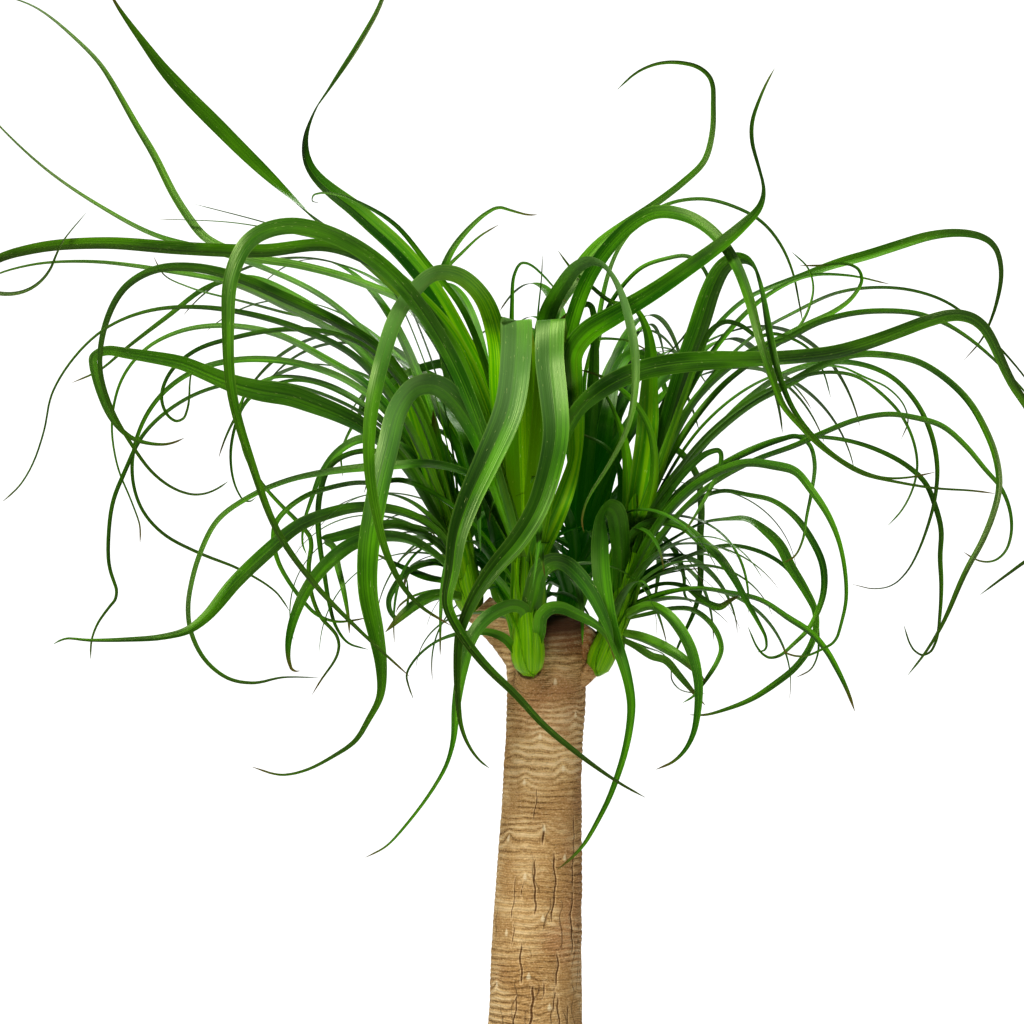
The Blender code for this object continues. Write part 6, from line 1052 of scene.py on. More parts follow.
def clearLeaves(leaves):
    # Bends leaves forward or back until no two cross, as the part does, and the smooth ones alike
    heads = {name: number for number, name in enumerate(list(cores) + ["trunk"])}
    blocks = obstacles()
    points = np.concatenate([leaf.points for leaf in leaves] + [block[1] for block in blocks])
    counts = [len(leaf.points) for leaf in leaves] + [len(block[1]) for block in blocks]
    owner = np.repeat(np.arange(len(counts)), counts)
    head = np.repeat([heads[leaf.head] for leaf in leaves] + [heads[block[0]] for block in blocks], counts)
    run = np.concatenate([leaf.run for leaf in leaves] + [np.zeros(len(block[1])) for block in blocks])
    flat = np.concatenate(
        [0.5 * leaf.widths * np.hypot(leaf.across[:, 0], leaf.across[:, 2]) + growth["sideMargin"]
         for leaf in leaves]
        + [block[2] for block in blocks])
    deep = np.concatenate(
        [0.5 * leaf.widths * np.abs(leaf.across[:, 1]) + growth["depthMargin"] for leaf in leaves]
        + [block[2] for block in blocks])
    solid = owner >= len(leaves)
    free = np.clip((run - growth["freeFrom"]) / growth["freeRun"], 0, 1) ** 1.5
    free = np.where(solid, 0.0, free)
    first, second = nearPairs(points, flat, owner, head, run, solid)
    need = deep[first] + deep[second] + growth["clearance"] * np.where(head[first] == head[second], 0.5, 1.0)
    depth = points[:, 1].copy()
    group = crossingNumbers(owner, first, second)
    order = np.bincount(group, weights=depth[first] - depth[second])
    side = np.where(order[group] >= 0, 1.0, -1.0)
    share = free[first] / np.maximum(free[first] + free[second], 1e-6)
    kernels = []
    for leaf in leaves:
        kernel = np.exp(-0.5 * ((leaf.run[:, None] - leaf.run[None]) / growth["spread"]) ** 2)
        kernels.append(kernel / kernel.max(axis=1, keepdims=True) / growth["calm"])
    shift = np.zeros(len(depth))
    settled = depth.copy()
    for _ in range(growth["rounds"]):
        lack = np.maximum(need - side * (depth[first] - depth[second]), 0)
        push = np.zeros(len(depth))
        pull = np.zeros(len(depth))
        forward = lack * share
        backward = lack * (1 - share)
        np.maximum.at(push, first[side > 0], forward[side > 0])
        np.maximum.at(pull, first[side < 0], forward[side < 0])
        np.maximum.at(pull, second[side > 0], backward[side > 0])
        np.maximum.at(push, second[side < 0], backward[side < 0])
        move = (push - pull) * free
        start = 0
        for leaf, kernel in zip(leaves, kernels):
            rows = slice(start, start + len(leaf.points))
            shift[rows] += growth["pace"] * (kernel @ move[rows]) * free[rows]
            depth[rows] = settled[rows] + leaf.hold @ shift[rows]
            start = rows.stop
    start = 0
    for leaf in leaves:
        rows = slice(start, start + len(leaf.points))
        index = np.arange(len(leaf.points))
        held = np.interp(leaf.places, index, leaf.smooth[:, 1] + shift[rows])
        leaf.smooth = leaf.smooth.copy()
        leaf.smooth[:, 1] = curveThrough(leaf.places, held, index)
        start = rows.stop


leafLook = {
    "fineRows": 400,
    "fewestRows": 18,
    "turnPerRow": 7.0,
    "lengthPerRow": 1.0,
    "tipWidths": 2.2,
    "profileSides": 6,
    "thick": 0.035,
    "keelPower": 1.15,
    "sharpAngle": 1.2,
    "channel": 0.22,
    "rootChannel": 0.5,
    "sheathChannel": 0.9,
    "channelRun": 7.0,
    "flatRun": 1.4,
    "flatBend": 0.25,
    "flatForce": 9,
    "youthReach": 20.0,
    "bloom": 0.15,
    "archSheenPast": 3.5,
    "archSheenRun": 6.0,
    "split": 0.45,
    "coreSides": 24,
    "coreRows": 30,
}

# Leaves with a look of their own: how young and yellow the lower part is, how much painted sheen pales the
# blade past its arch, how much painted shade darkens one half, its tone, and how much painted glow stands in
# for light coming through
ownLooks = {
    "leaf_head_front": {
        0: {"youth": 1.8, "tone": 0.8, "split": 0.2},
        1: {"youth": 1.8, "tone": 0.6, "split": 0.9},
        6: {"youth": 1.9, "bloom": 0.75, "tone": 0.7, "split": 0.2, "glow": 0.3},
        7: {"bloom": 0.6},
        9: {"youth": 1.15, "bloom": 0.75, "tone": 0.35, "split": 0.9, "glow": 1.0},
        10: {"youth": 1.15, "bloom": 0.45, "tone": 0.3, "split": 0.8, "glow": 1.0},
        13: {"youth": 2.5, "tone": 0.6, "split": 0.3, "glow": 1.0},
        14: {"youth": 1.0, "tone": 0.4},
        16: {"youth": 0.5, "bloom": 0.9, "tone": 0.6, "split": 0.5},
    },
}


def foldWay(points, across):
    # The side towards which a blade's edges fold: the inner side of its arch
    tangents = unit(np.gradient(points, axis=0))
    up = np.cross(tangents, across)
    bend = np.gradient(tangents, axis=0)
    half = len(points) // 2
    lean = np.sum(up[:half] * (np.array((0.0, 0.0, 0.004)) - bend[:half]))
    return up if lean > 0 else -up


def bladeRows(leaf):
    # Places along the smooth blade, closer together where it bends
    run = lengthsAlong(leaf.smooth)
    length = run[-1]
    fine = np.linspace(0, length, leafLook["fineRows"])
    bend = turnsBetween(unit(np.gradient(curveThrough(run, leaf.smooth, fine), axis=0)))
    cost = bend / leafLook["turnPerRow"] + np.diff(fine) / leafLook["lengthPerRow"]
    total = np.concatenate(([0.0], np.cumsum(cost)))
    count = max(leafLook["fewestRows"], int(total[-1]))
    even = np.interp(np.linspace(0, total[-1], count), total, fine)
    rows = curveThrough(run, leaf.smooth, even)
    tangents = unit(np.gradient(rows, axis=0))
    across = unit(straightThrough(run, leaf.smoothAcross, even))
    across = unit(across - tangents * np.sum(across * tangents, axis=1, keepdims=True))
    widths = np.interp(even, run, leaf.smoothWidths)
    tip = (length - even) / np.maximum(leafLook["tipWidths"] * widths, 0.5)
    return even, rows, tangents, across, widths * np.clip(tip, 0.08, 1) ** 0.6


def bladeFold(leaf, even, tangents):
    # How deep the blade is folded: most at its root, and hardly where it bends sharply
    root = np.exp(-((even / leafLook["channelRun"]) ** 2))
    bending = np.linalg.norm(np.gradient(tangents, even, axis=0), axis=1)
    near = np.exp(-((even[:, None] - even) / leafLook["flatRun"]) ** 2)
    sharpest = (near * np.maximum(bending - leafLook["flatBend"], 0)).max(axis=1)
    rootFold = leafLook["sheathChannel"] if leaf.sheath else leafLook["rootChannel"]
    return (leafLook["channel"] + root * rootFold) / (1 + leafLook["flatForce"] * sharpest ** 2)


def bladeValues(leaf, even, rows, tangents, widths, draw):
    # What the sweep and the leaf's material read at each place
    drawn = draw.random()
    tone = leaf.look.get("tone", drawn)
    rise = np.interp(leafLook["youthReach"], even, rows[:, 2]) - rows[0, 2]
    steep = rise / leafLook["youthReach"] * 1.5 - 0.45
    youth = np.clip(steep, 0, 1) * np.clip(1.5 - tone * 1.6, 0, 1)
    # Painted sheen: the upper side is paler just past the top of an arch, where it faces the light
    crest = int(np.argmax(rows[:, 2]))
    past = (even - even[crest] - leafLook["archSheenPast"]) / leafLook["archSheenRun"]
    arched = crest < len(even) * 0.8
    return {
        "halfWidth": widths / 2 * cm,
        "fold": bladeFold(leaf, even, tangents) * widths / 2 * cm,
        "run": even,
        "left": even[-1] - even,
        "tone": tone,
        "youth": leaf.look.get("youth", youth),
        "bloom": np.exp(-past ** 2) * leaf.look.get("bloom", leafLook["bloom"]) * arched,
        "split": leaf.look.get("split", leafLook["split"]),
        "glow": leaf.look.get("glow", 0.0),
    }


def leafPaths(name, leaves, draw):
    # One mesh of edges that carries each blade's values and ways
    points = []
    edges = []
    stored = {}
    ways = {"acrossWay": [], "foldWay": []}
    for leaf in leaves:
        even, rows, tangents, across, widths = bladeRows(leaf)
        start = len(points)
        points.extend(rows * cm)
        edges.extend((start + place, start + place + 1) for place in range(len(rows) - 1))
        ways["acrossWay"].extend(across)
        ways["foldWay"].extend(foldWay(rows, across))
        for key, value in bladeValues(leaf, even, rows, tangents, widths, draw).items():
            stored.setdefault(key, []).extend(np.broadcast_to(value, len(rows)))
    mesh = bpy.data.meshes.new(name + "Paths")
    mesh.from_pydata([tuple(point) for point in points], edges, [])
    for key, values in stored.items():
        addValues(mesh, key, values)
    for key, rows in ways.items():
        store = mesh.attributes.new(key, "FLOAT_VECTOR", "POINT")
        store.data.foreach_set("vector", np.array(rows, np.float32).reshape(-1))
    item = bpy.data.objects.new(name + "Paths", mesh)
    bpy.context.scene.collection.objects.link(item)
    return item


def bladeTree(material):
    # Sweeps a thin blade section along each path, as wide and as folded as the path says
    tree = bpy.data.node_groups.new("bladeSweep", "GeometryNodeTree")
    face = tree.interface
    face.new_socket("Paths", in_out="INPUT", socket_type="NodeSocketGeometry")
    face.new_socket("Blades", in_out="OUTPUT", socket_type="NodeSocketGeometry")
    face.new_socket("Thickness", in_out="INPUT", socket_type="NodeSocketFloat")
    sides = face.new_socket("Half Sides", in_out="INPUT", socket_type="NodeSocketInt")
    sides.min_value = 2
    start = tree.nodes.new("NodeGroupInput")
    finish = tree.nodes.new("NodeGroupOutput")

    def node(kind, settings=None, **values):
        values = {key.replace("_", " "): value for key, value in values.items()}
        return Wire(tree, makeNode(tree, kind, settings, values).outputs[0])

    def given(label):
        return Wire(tree, start.outputs[label])

    def named(name, kind="FLOAT"):
        return node("GeometryNodeInputNamedAttribute", {"data_type": kind}, Name=name)

    # The section: a closed lens, thinner at its edges
    loop = node("GeometryNodeCurvePrimitiveCircle", {"mode": "RADIUS"},
                Resolution=given("Half Sides") * 2.0, Radius=1.0)
    place = node("GeometryNodeInputPosition")
    parts = makeNode(tree, "ShaderNodeSeparateXYZ", None, {"Vector": place})
    reach = Wire(tree, parts.outputs["X"])
    height = Wire(tree, parts.outputs["Y"]) * given("Thickness")
    lens = node("GeometryNodeSetPosition", Geometry=loop,
                Position=node("ShaderNodeCombineXYZ", X=reach, Y=height))
    section = node("GeometryNodeStoreNamedAttribute", {"data_type": "FLOAT", "domain": "POINT"},
                   Geometry=lens, Name="side", Value=reach)

    paths = node("GeometryNodeMeshToCurve", Mesh=given("Paths"))
    turned = node("GeometryNodeSetCurveNormal", {"mode": "FREE"}, Curve=paths,
                  Normal=named("acrossWay", "FLOAT_VECTOR"))
    wide = node("GeometryNodeSetCurveRadius", Curve=turned, Radius=named("halfWidth"))
    swept = node("GeometryNodeCurveToMesh", Curve=wide, Profile_Curve=section,
                 Scale=named("halfWidth"), Fill_Caps=True)
    keel = named("side").abs() ** leafLook["keelPower"] - 1.0
    sink = node("ShaderNodeVectorMath", {"operation": "SCALE"},
                Vector=named("foldWay", "FLOAT_VECTOR"), Scale=keel * named("fold"))
    folded = node("GeometryNodeSetPosition", Geometry=swept, Offset=sink)
    smooth = node("GeometryNodeSetShadeSmooth", Geometry=folded)
    angle = node("GeometryNodeInputMeshEdgeAngle")
    crisp = node("GeometryNodeSetShadeSmooth", {"domain": "EDGE"}, Geometry=smooth,
                 Selection=mathNode(tree, "GREATER_THAN", angle, leafLook["sharpAngle"]),
                 Shade_Smooth=False)
    real = node("GeometryNodeRealizeInstances", Geometry=crisp)
    dressed = node("GeometryNodeSetMaterial", Geometry=real, Material=material)
    plug(tree, finish.inputs[0], dressed)
    return tree


def setInput(modifier, tree, label, value):
    for socket in tree.interface.items_tree:
        if socket.in_out == "INPUT" and socket.name == label:
            modifier[socket.identifier] = value


def growHead(head, leaves, tree, material, draw):
    paths = leafPaths(head, leaves, draw)
    modifier = paths.modifiers.new("bladeSweep", "NODES")
    modifier.node_group = tree
    setInput(modifier, tree, "Thickness", leafLook["thick"])
    setInput(modifier, tree, "Half Sides", leafLook["profileSides"])
    graph = bpy.context.evaluated_depsgraph_get()
    blades = bpy.data.meshes.new_from_object(paths.evaluated_get(graph))
    paths.modifiers.clear()
    bpy.data.objects.remove(paths)
    name = head + "_leaves"
    piece = showMesh(name, mergeMeshes(name, (blades, coreMesh(head))), material)
    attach(piece, "root")
    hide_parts(head)


def tubeRows(stations, around, rowsCount, bulge=0.0):
    # Rings of points round a bent tube, three-sided by the bulge
    stations = np.asarray(stations, float)
    run = lengthsAlong(stations[:, :3])
    rows = curveThrough(run, stations, np.linspace(0, run[-1], rowsCount))
    tangents = unit(np.gradient(rows[:, :3], axis=0))
    right = unit(np.cross(tangents, (0.0, 1.0, 0.0)))
    back = np.cross(right, tangents)
    angle = np.linspace(0, math.tau, around, endpoint=False)
    ring = right[:, None] * np.cos(angle)[None, :, None] + back[:, None] * np.sin(angle)[None, :, None]
    radius = rows[:, 3][:, None] * (1 + bulge * np.cos(3 * angle)[None])
    return rows[:, None, :3] + ring * radius[..., None], angle


def coreMesh(head):
    around = leafLook["coreSides"]
    count = leafLook["coreRows"]
    rows, angle = tubeRows(cores[head], around, count, 0.05)
    mesh = gridMesh(head + "Core", rows * cm)
    pointNormalsOut(mesh)
    addValues(mesh, "run", np.repeat(np.linspace(0, 3, count), around))
    addValues(mesh, "side", np.tile(np.sin(3 * angle), count))
    for name, value in (("left", 50.0), ("youth", 1.0), ("tone", 0.6)):
        addValues(mesh, name, np.full(count * around, value))
    return mesh


def leafFinish():
    finish = Finish("palmLeaf", Specular_IOR_Level=0.33, Specular_Tint=(0.8, 1.0, 0.4, 1.0),
                    Emission_Strength=0.3)
    names = ("run", "left", "side", "tone", "youth", "bloom", "split", "glow")
    run, left, side, tone, youth, bloom, split, glow = (finish.attribute(name) for name in names)
    stripes = finish.noise(finish.join(side * 3.4 + tone * 37.0, run * 0.03, tone * 11.0), 2.0, 1.0, 0.5)
    veins = finish.noise(finish.join(side * 13.0, run * 0.06, tone * 5.0), 1.0, 1.0, 0.5)
    patch = finish.noise(finish.join(side * 0.4 + tone * 9.0, run * 0.16, tone * 23.0), 1.0, 2.0, 0.5)
    deep = finish.mix(tone, colour(8, 62, 0), colour(48, 110, 0))
    body = finish.mix(finish.step(patch, 0.35, 0.7), deep, colour(84, 148, 0))
    # Painted shade: one half of a blade is darker than the other, as if that half faced away from the light,
    # left or right as its tone says
    flip = finish.step(tone, 0.49, 0.51) * 2.0 - 1.0
    half = finish.step(side * flip, -0.07, 0.07)
    halfShaded = finish.mix(half * split, body, colour(0, 42, 0))
    ribbed = finish.mix((1 - finish.step(side.abs(), 0.02, 0.1)) * 0.3, halfShaded, colour(96, 154, 20))
    veined = finish.mix(finish.step(stripes, 0.46, 0.6) * 0.4, ribbed, colour(2, 56, 0))
    # Painted sheen: pale green streaks along the veins stand in for the light's reflection
    sheen = finish.mix(finish.step(veins, 0.5, 0.72) * 0.3, veined, colour(100, 160, 28))
    # Yellow green near the root, higher up on a young leaf
    young = 1 - finish.step(run, 2.0, 7.0 + youth * 17.0)
    bright = finish.mix(finish.step(stripes, 0.4, 0.65), colour(84, 158, 0), colour(146, 200, 4))
    # The young part gets the same painted shade on one half
    youngHalfShaded = finish.mix(half * split * 1.1, bright, colour(20, 92, 0))
    based = finish.mix(young * (0.25 + youth * 0.65), sheen, youngHalfShaded)
    pale = finish.mix((1 - finish.step(run, 0.3, 2.5)) * 0.3, based, colour(140, 186, 30))
    # Greyer past the arch as painted sheen; duller and darker towards the thread end
    outer = finish.step(run, 22.0, 60.0)
    archSheened = finish.mix(bloom * (0.7 + stripes * 0.3), pale, colour(112, 150, 86))
    aged = finish.mix(outer * 0.28, archSheened, colour(70, 72, 30))
    thread = outer * (1 - finish.step(left, 4.0, 24.0))
    thin = finish.mix(thread * 0.5, aged, colour(36, 56, 12))
    margin = finish.step(side.abs(), 0.88, 0.98)
    rim = finish.mix(outer, colour(140, 182, 80), colour(94, 92, 40))
    edged = finish.mix(margin * (0.25 + outer * 0.25), thin, rim)
    speck = finish.noise(finish.join(side * 8.0, run * 0.9, tone * 41.0), 2.2, 1.0, 0.4)
    flecked = finish.mix(finish.step(speck, 0.74, 0.78) * 0.5, edged, colour(206, 216, 140))
    tip = (1 - finish.step(left, 0.3, 2.6)) * finish.step(tone, 0.25, 0.6)
    dried = finish.mix(tip * 0.85, flecked, colour(92, 72, 30))
    # Painted shade in the crown's inside, where light hardly reaches
    x, y, z = finish.axes(finish.place())
    aside = ((x - 0.02) * (x - 0.02) + (y - 0.08) * (y - 0.08)) ** 0.5
    inside = (1 - finish.step(aside, 0.05, 0.12)) * (1 - finish.step(z, 0.74, 0.88))
    shaded = finish.mix(inside * 0.55, dried, colour(4, 58, 0))
    # Painted glow: emission lights the crown's inside faintly green, and the young part of leaves marked to
    # glow yellow green, in place of light
    through = finish.mix(inside * (0.4 + tone * 0.6), (0, 0, 0, 1), colour(8, 84, 0))
    finish.feed(
        Base_Color=shaded,
        Emission_Color=finish.mix(young * glow, through, colour(110, 160, 0)),
        Roughness=0.27 + patch * 0.16 + tip * 0.2,
        Normal=finish.bump(stripes * 0.4 + veins * 0.6, 0.0005, 0.6),
    )
    return finish.material


# Bark: a fine skin over the trunk's stations, with leaf-scar rings, cracks and scars

barkLook = {
    "seed": 4,
    "around": 240,
    "rows": 412,
    "footRows": 48,
    "bottom": 14.6,
    "denseAbove": 33.5,
    "top": 65.3,
    "rimFrom": 64.6,
    "wornFrom": 62.8,
    "soilLine": 18.7,
    "noiseRows": 400,
    "ringGap": 0.52,
    "ringDepth": 0.05,
    "cracks": 60,
    "crackGirth": 20.0,
    "crackDepth": 0.1,
    "scars": 22,
    "scarGirth": 19.0,
    "scarWidth": 0.15,
    "scarLength": 0.34,
    "scarHeight": 0.05,
    "scarSwell": 0.75,
    "grainDepth": 0.016,
    "knobDepth": 0.03,
    "raggedRim": 0.35,
}

# Cracks that the front shows: x, lowest and highest point, half width; then its scars: x, height
frontCracks = (
    (0.5, 50.0, 52.7, 0.05), (1.05, 48.2, 50.0, 0.09), (0.5, 43.0, 47.4, 0.08), (1.95, 42.4, 47.9, 0.07),
    (-1.15, 42.6, 46.0, 0.05), (-0.5, 37.9, 41.2, 0.07), (2.15, 37.6, 40.4, 0.07), (0.2, 34.0, 38.0, 0.09),
    (3.25, 40.0, 45.0, 0.07), (2.3, 34.0, 37.2, 0.07), (-1.0, 34.2, 37.2, 0.06), (-0.4, 44.2, 46.0, 0.04),
    (1.9, 35.8, 37.8, 0.05), (3.4, 45.0, 50.5, 0.07), (-1.2, 40.6, 42.6, 0.05), (3.0, 34.0, 36.6, 0.05),
    (1.1, 36.8, 38.4, 0.05), (3.75, 37.0, 41.5, 0.06),
)
frontScars = (
    (2.0, 60.5), (3.6, 58.0), (0.9, 56.4), (2.6, 54.0), (-0.3, 53.0), (-1.4, 48.8), (2.7, 47.4),
    (-0.25, 46.0), (1.1, 42.9), (-1.6, 41.8), (0.05, 38.6), (-2.3, 37.9), (1.6, 36.3), (1.2, 49.6),
)


def softNoise(turns, heights, cellsRound, cellHeight, seed):
    # Smooth noise from -1 to 1 on a round skin, closing on itself all round
    rows = barkLook["noiseRows"]
    table = np.random.default_rng(seed).random((rows, cellsRound))
    u = turns * cellsRound
    v = heights / cellHeight
    iu = np.floor(u).astype(int)
    iv = np.floor(v).astype(int)
    fu = u - iu
    fv = v - iv
    fu = fu * fu * (3 - 2 * fu)
    fv = fv * fv * (3 - 2 * fv)

    def level(row):
        here = table[row % rows, iu % cellsRound]
        after = table[row % rows, (iu + 1) % cellsRound]
        return here * (1 - fu) + after * fu

    return (level(iv) * (1 - fv) + level(iv + 1) * fv) * 2 - 1


def ringRelief(turns, heights, swell):
    # Rings of old leaf scars: round ridges with narrow grooves, never quite level, raised over scars
    warp = 0.6 * softNoise(turns, heights, 5, 3.0, 11) + 0.36 * softNoise(turns, heights, 13, 1.2, 12)
    warp += 0.1 * softNoise(turns, heights, 34, 0.6, 20) - barkLook["scarSwell"] * swell
    phase = heights / barkLook["ringGap"] + warp * 0.9 + 0.5 * softNoise(turns * 0, heights, 1, 1.9, 13)
    share = phase - np.floor(phase)
    ridge = np.clip(np.sin(math.pi * share), 0, 1) ** 0.55
    strength = 0.6 + 0.4 * softNoise(turns, heights, 7, 1.6, 14)
    return ridge * strength, 1 - (1 - ridge) * strength


def frontTurn(x, height):
    # How far round the trunk a point of the front view is
    stations = np.array(trunkStations)
    middle, radius = (np.interp(height, stations[:, 0], stations[:, column]) for column in (1, 2))
    return 1 - math.acos(max(-1.0, min(1.0, (x - middle) / radius))) / math.tau


def crackDepth(turns, heights, draw):
    # The front's own cracks, and drawn ones all round the back
    depth = np.zeros_like(turns)
    rows = [(frontTurn(x, (low + high) / 2), low, high, wide) for x, low, high, wide in frontCracks]
    for _ in range(barkLook["cracks"]):
        low = draw.uniform(19.0, 50.0)
        length = draw.uniform(1.5, 4.5)
        rows.append((draw.uniform(0.02, 0.48), low, low + length, draw.uniform(0.04, 0.09)))
    for middle, low, high, wide in rows:
        wander = 0.005 * np.sin(heights * draw.uniform(0.8, 1.6) + draw.uniform(0, 6))
        wander += 0.0022 * np.sin(heights * draw.uniform(3, 5) + draw.uniform(0, 6))
        aside = ((turns - middle - wander + 0.5) % 1.0 - 0.5) * barkLook["crackGirth"]
        ends = np.clip((heights - low) / 0.6, 0, 1) * np.clip((high - heights) / 0.6, 0, 1)
        depth = np.maximum(depth, ends ** 0.5 * np.exp(-(aside / wide) ** 2))
    return depth


def scarMarks(turns, heights, draw):
    # Pale scars, broader below, and how far the rings swell round them
    marks = np.zeros_like(turns)
    swell = np.zeros_like(turns)
    rows = [(frontTurn(x, height), height) for x, height in frontScars]
    rows += [(draw.uniform(0.02, 0.48), draw.uniform(30.0, 61.0)) for _ in range(barkLook["scars"])]
    for middle, height in rows:
        aside = ((turns - middle + 0.5) % 1.0 - 0.5) * barkLook["scarGirth"]
        above = heights - height
        taper = barkLook["scarWidth"] * np.clip(1 - above / 0.5, 0.25, 1.4)
        mark = np.exp(-((aside / taper) ** 2 + (above / barkLook["scarLength"]) ** 2))
        marks = np.maximum(marks, mark)
        swell = np.maximum(swell, np.exp(-((aside / 0.5) ** 2 + (above / 0.8) ** 2)))
    return marks, swell


def barkRelief(turns, heights):
    draw = random.Random(barkLook["seed"])
    cracks = crackDepth(turns, heights, draw)
    scars, swell = scarMarks(turns, heights, draw)
    ridge, ringTone = ringRelief(turns, heights, swell)
    grain = 0.5 * softNoise(turns, heights, 60, 0.35, 15) + 0.5 * softNoise(turns, heights, 110, 0.2, 16)
    knobs = softNoise(turns, heights, 9, 1.4, 17)
    lower = np.clip((46.0 - heights) / 12.0, 0, 1)
    relief = barkLook["ringDepth"] * (1 - 0.35 * lower) * (ridge * 2 - 1)
    relief = relief + barkLook["grainDepth"] * grain + barkLook["knobDepth"] * knobs
    relief = relief - barkLook["crackDepth"] * cracks + barkLook["scarHeight"] * scars
    return relief, ringTone, cracks, scars


def trunkMesh():
    stations = np.array(trunkStations)
    around = barkLook["around"]
    count = barkLook["rows"]
    bottom = barkLook["bottom"]
    dense = barkLook["denseAbove"]
    top = barkLook["top"]
    foot = np.linspace(bottom, dense, barkLook["footRows"], endpoint=False)
    heights = np.concatenate((foot, np.linspace(dense, top, count - len(foot))))
    middles = curveThrough(stations[:, 0], stations[:, 1], heights)
    radii = curveThrough(stations[:, 0], stations[:, 2], heights)
    turns = np.linspace(0, 1, around, endpoint=False)
    grid, tall = np.meshgrid(turns, heights)
    relief, ridge, cracks, scars = barkRelief(grid, tall)
    above = np.clip((tall - barkLook["soilLine"]) / 0.6, 0, 1)
    angle = grid * math.tau
    wave = 0.05 * np.sin(3 * angle + tall * 0.21) + 0.03 * np.sin(5 * angle - tall * 0.5)
    rim = np.clip((tall - barkLook["rimFrom"]) / 0.7, 0, 1)
    ragged = barkLook["raggedRim"] * softNoise(grid, tall * 0 + 3, 11, 1.0, 18)
    radius = radii[:, None] + (relief + wave) * above - 0.25 * rim ** 2
    rows = np.stack((middles[:, None] + radius * np.cos(angle), radius * np.sin(angle),
                     tall + rim * (ragged - 0.1)), axis=2)
    mesh = gridMesh("bark", rows * cm)
    addValues(mesh, "ridge", ridge.reshape(-1))
    addValues(mesh, "crack", cracks.reshape(-1))
    addValues(mesh, "scar", scars.reshape(-1))
    worn = tall - barkLook["wornFrom"] - 0.8 * softNoise(grid, tall, 7, 1.1, 19)
    worn = np.clip(worn / 1.6, 0, 1)
    addValues(mesh, "cut", np.concatenate((worn.reshape(-1), (0, 1))))
    addValues(mesh, "height", np.concatenate((tall.reshape(-1), (bottom, top))))
    return mesh


def neckMesh(neck):
    rows, angle = tubeRows(neck, 36, 40)
    turns = np.tile(angle / math.tau, (rows.shape[0], 1))
    heights = rows[..., 2]
    relief, ridge, _, _ = barkRelief(turns, heights)
    centre = rows.mean(axis=1, keepdims=True)
    rows = centre + (rows - centre) * (1 + 0.6 * relief[..., None])
    mesh = gridMesh("neck", rows * cm)
    addValues(mesh, "ridge", ridge.reshape(-1))
    addValues(mesh, "cut", np.repeat(np.linspace(0, 1, rows.shape[0]) ** 8 * 0.25, rows.shape[1]))
    addValues(mesh, "height", heights.reshape(-1))
    return mesh


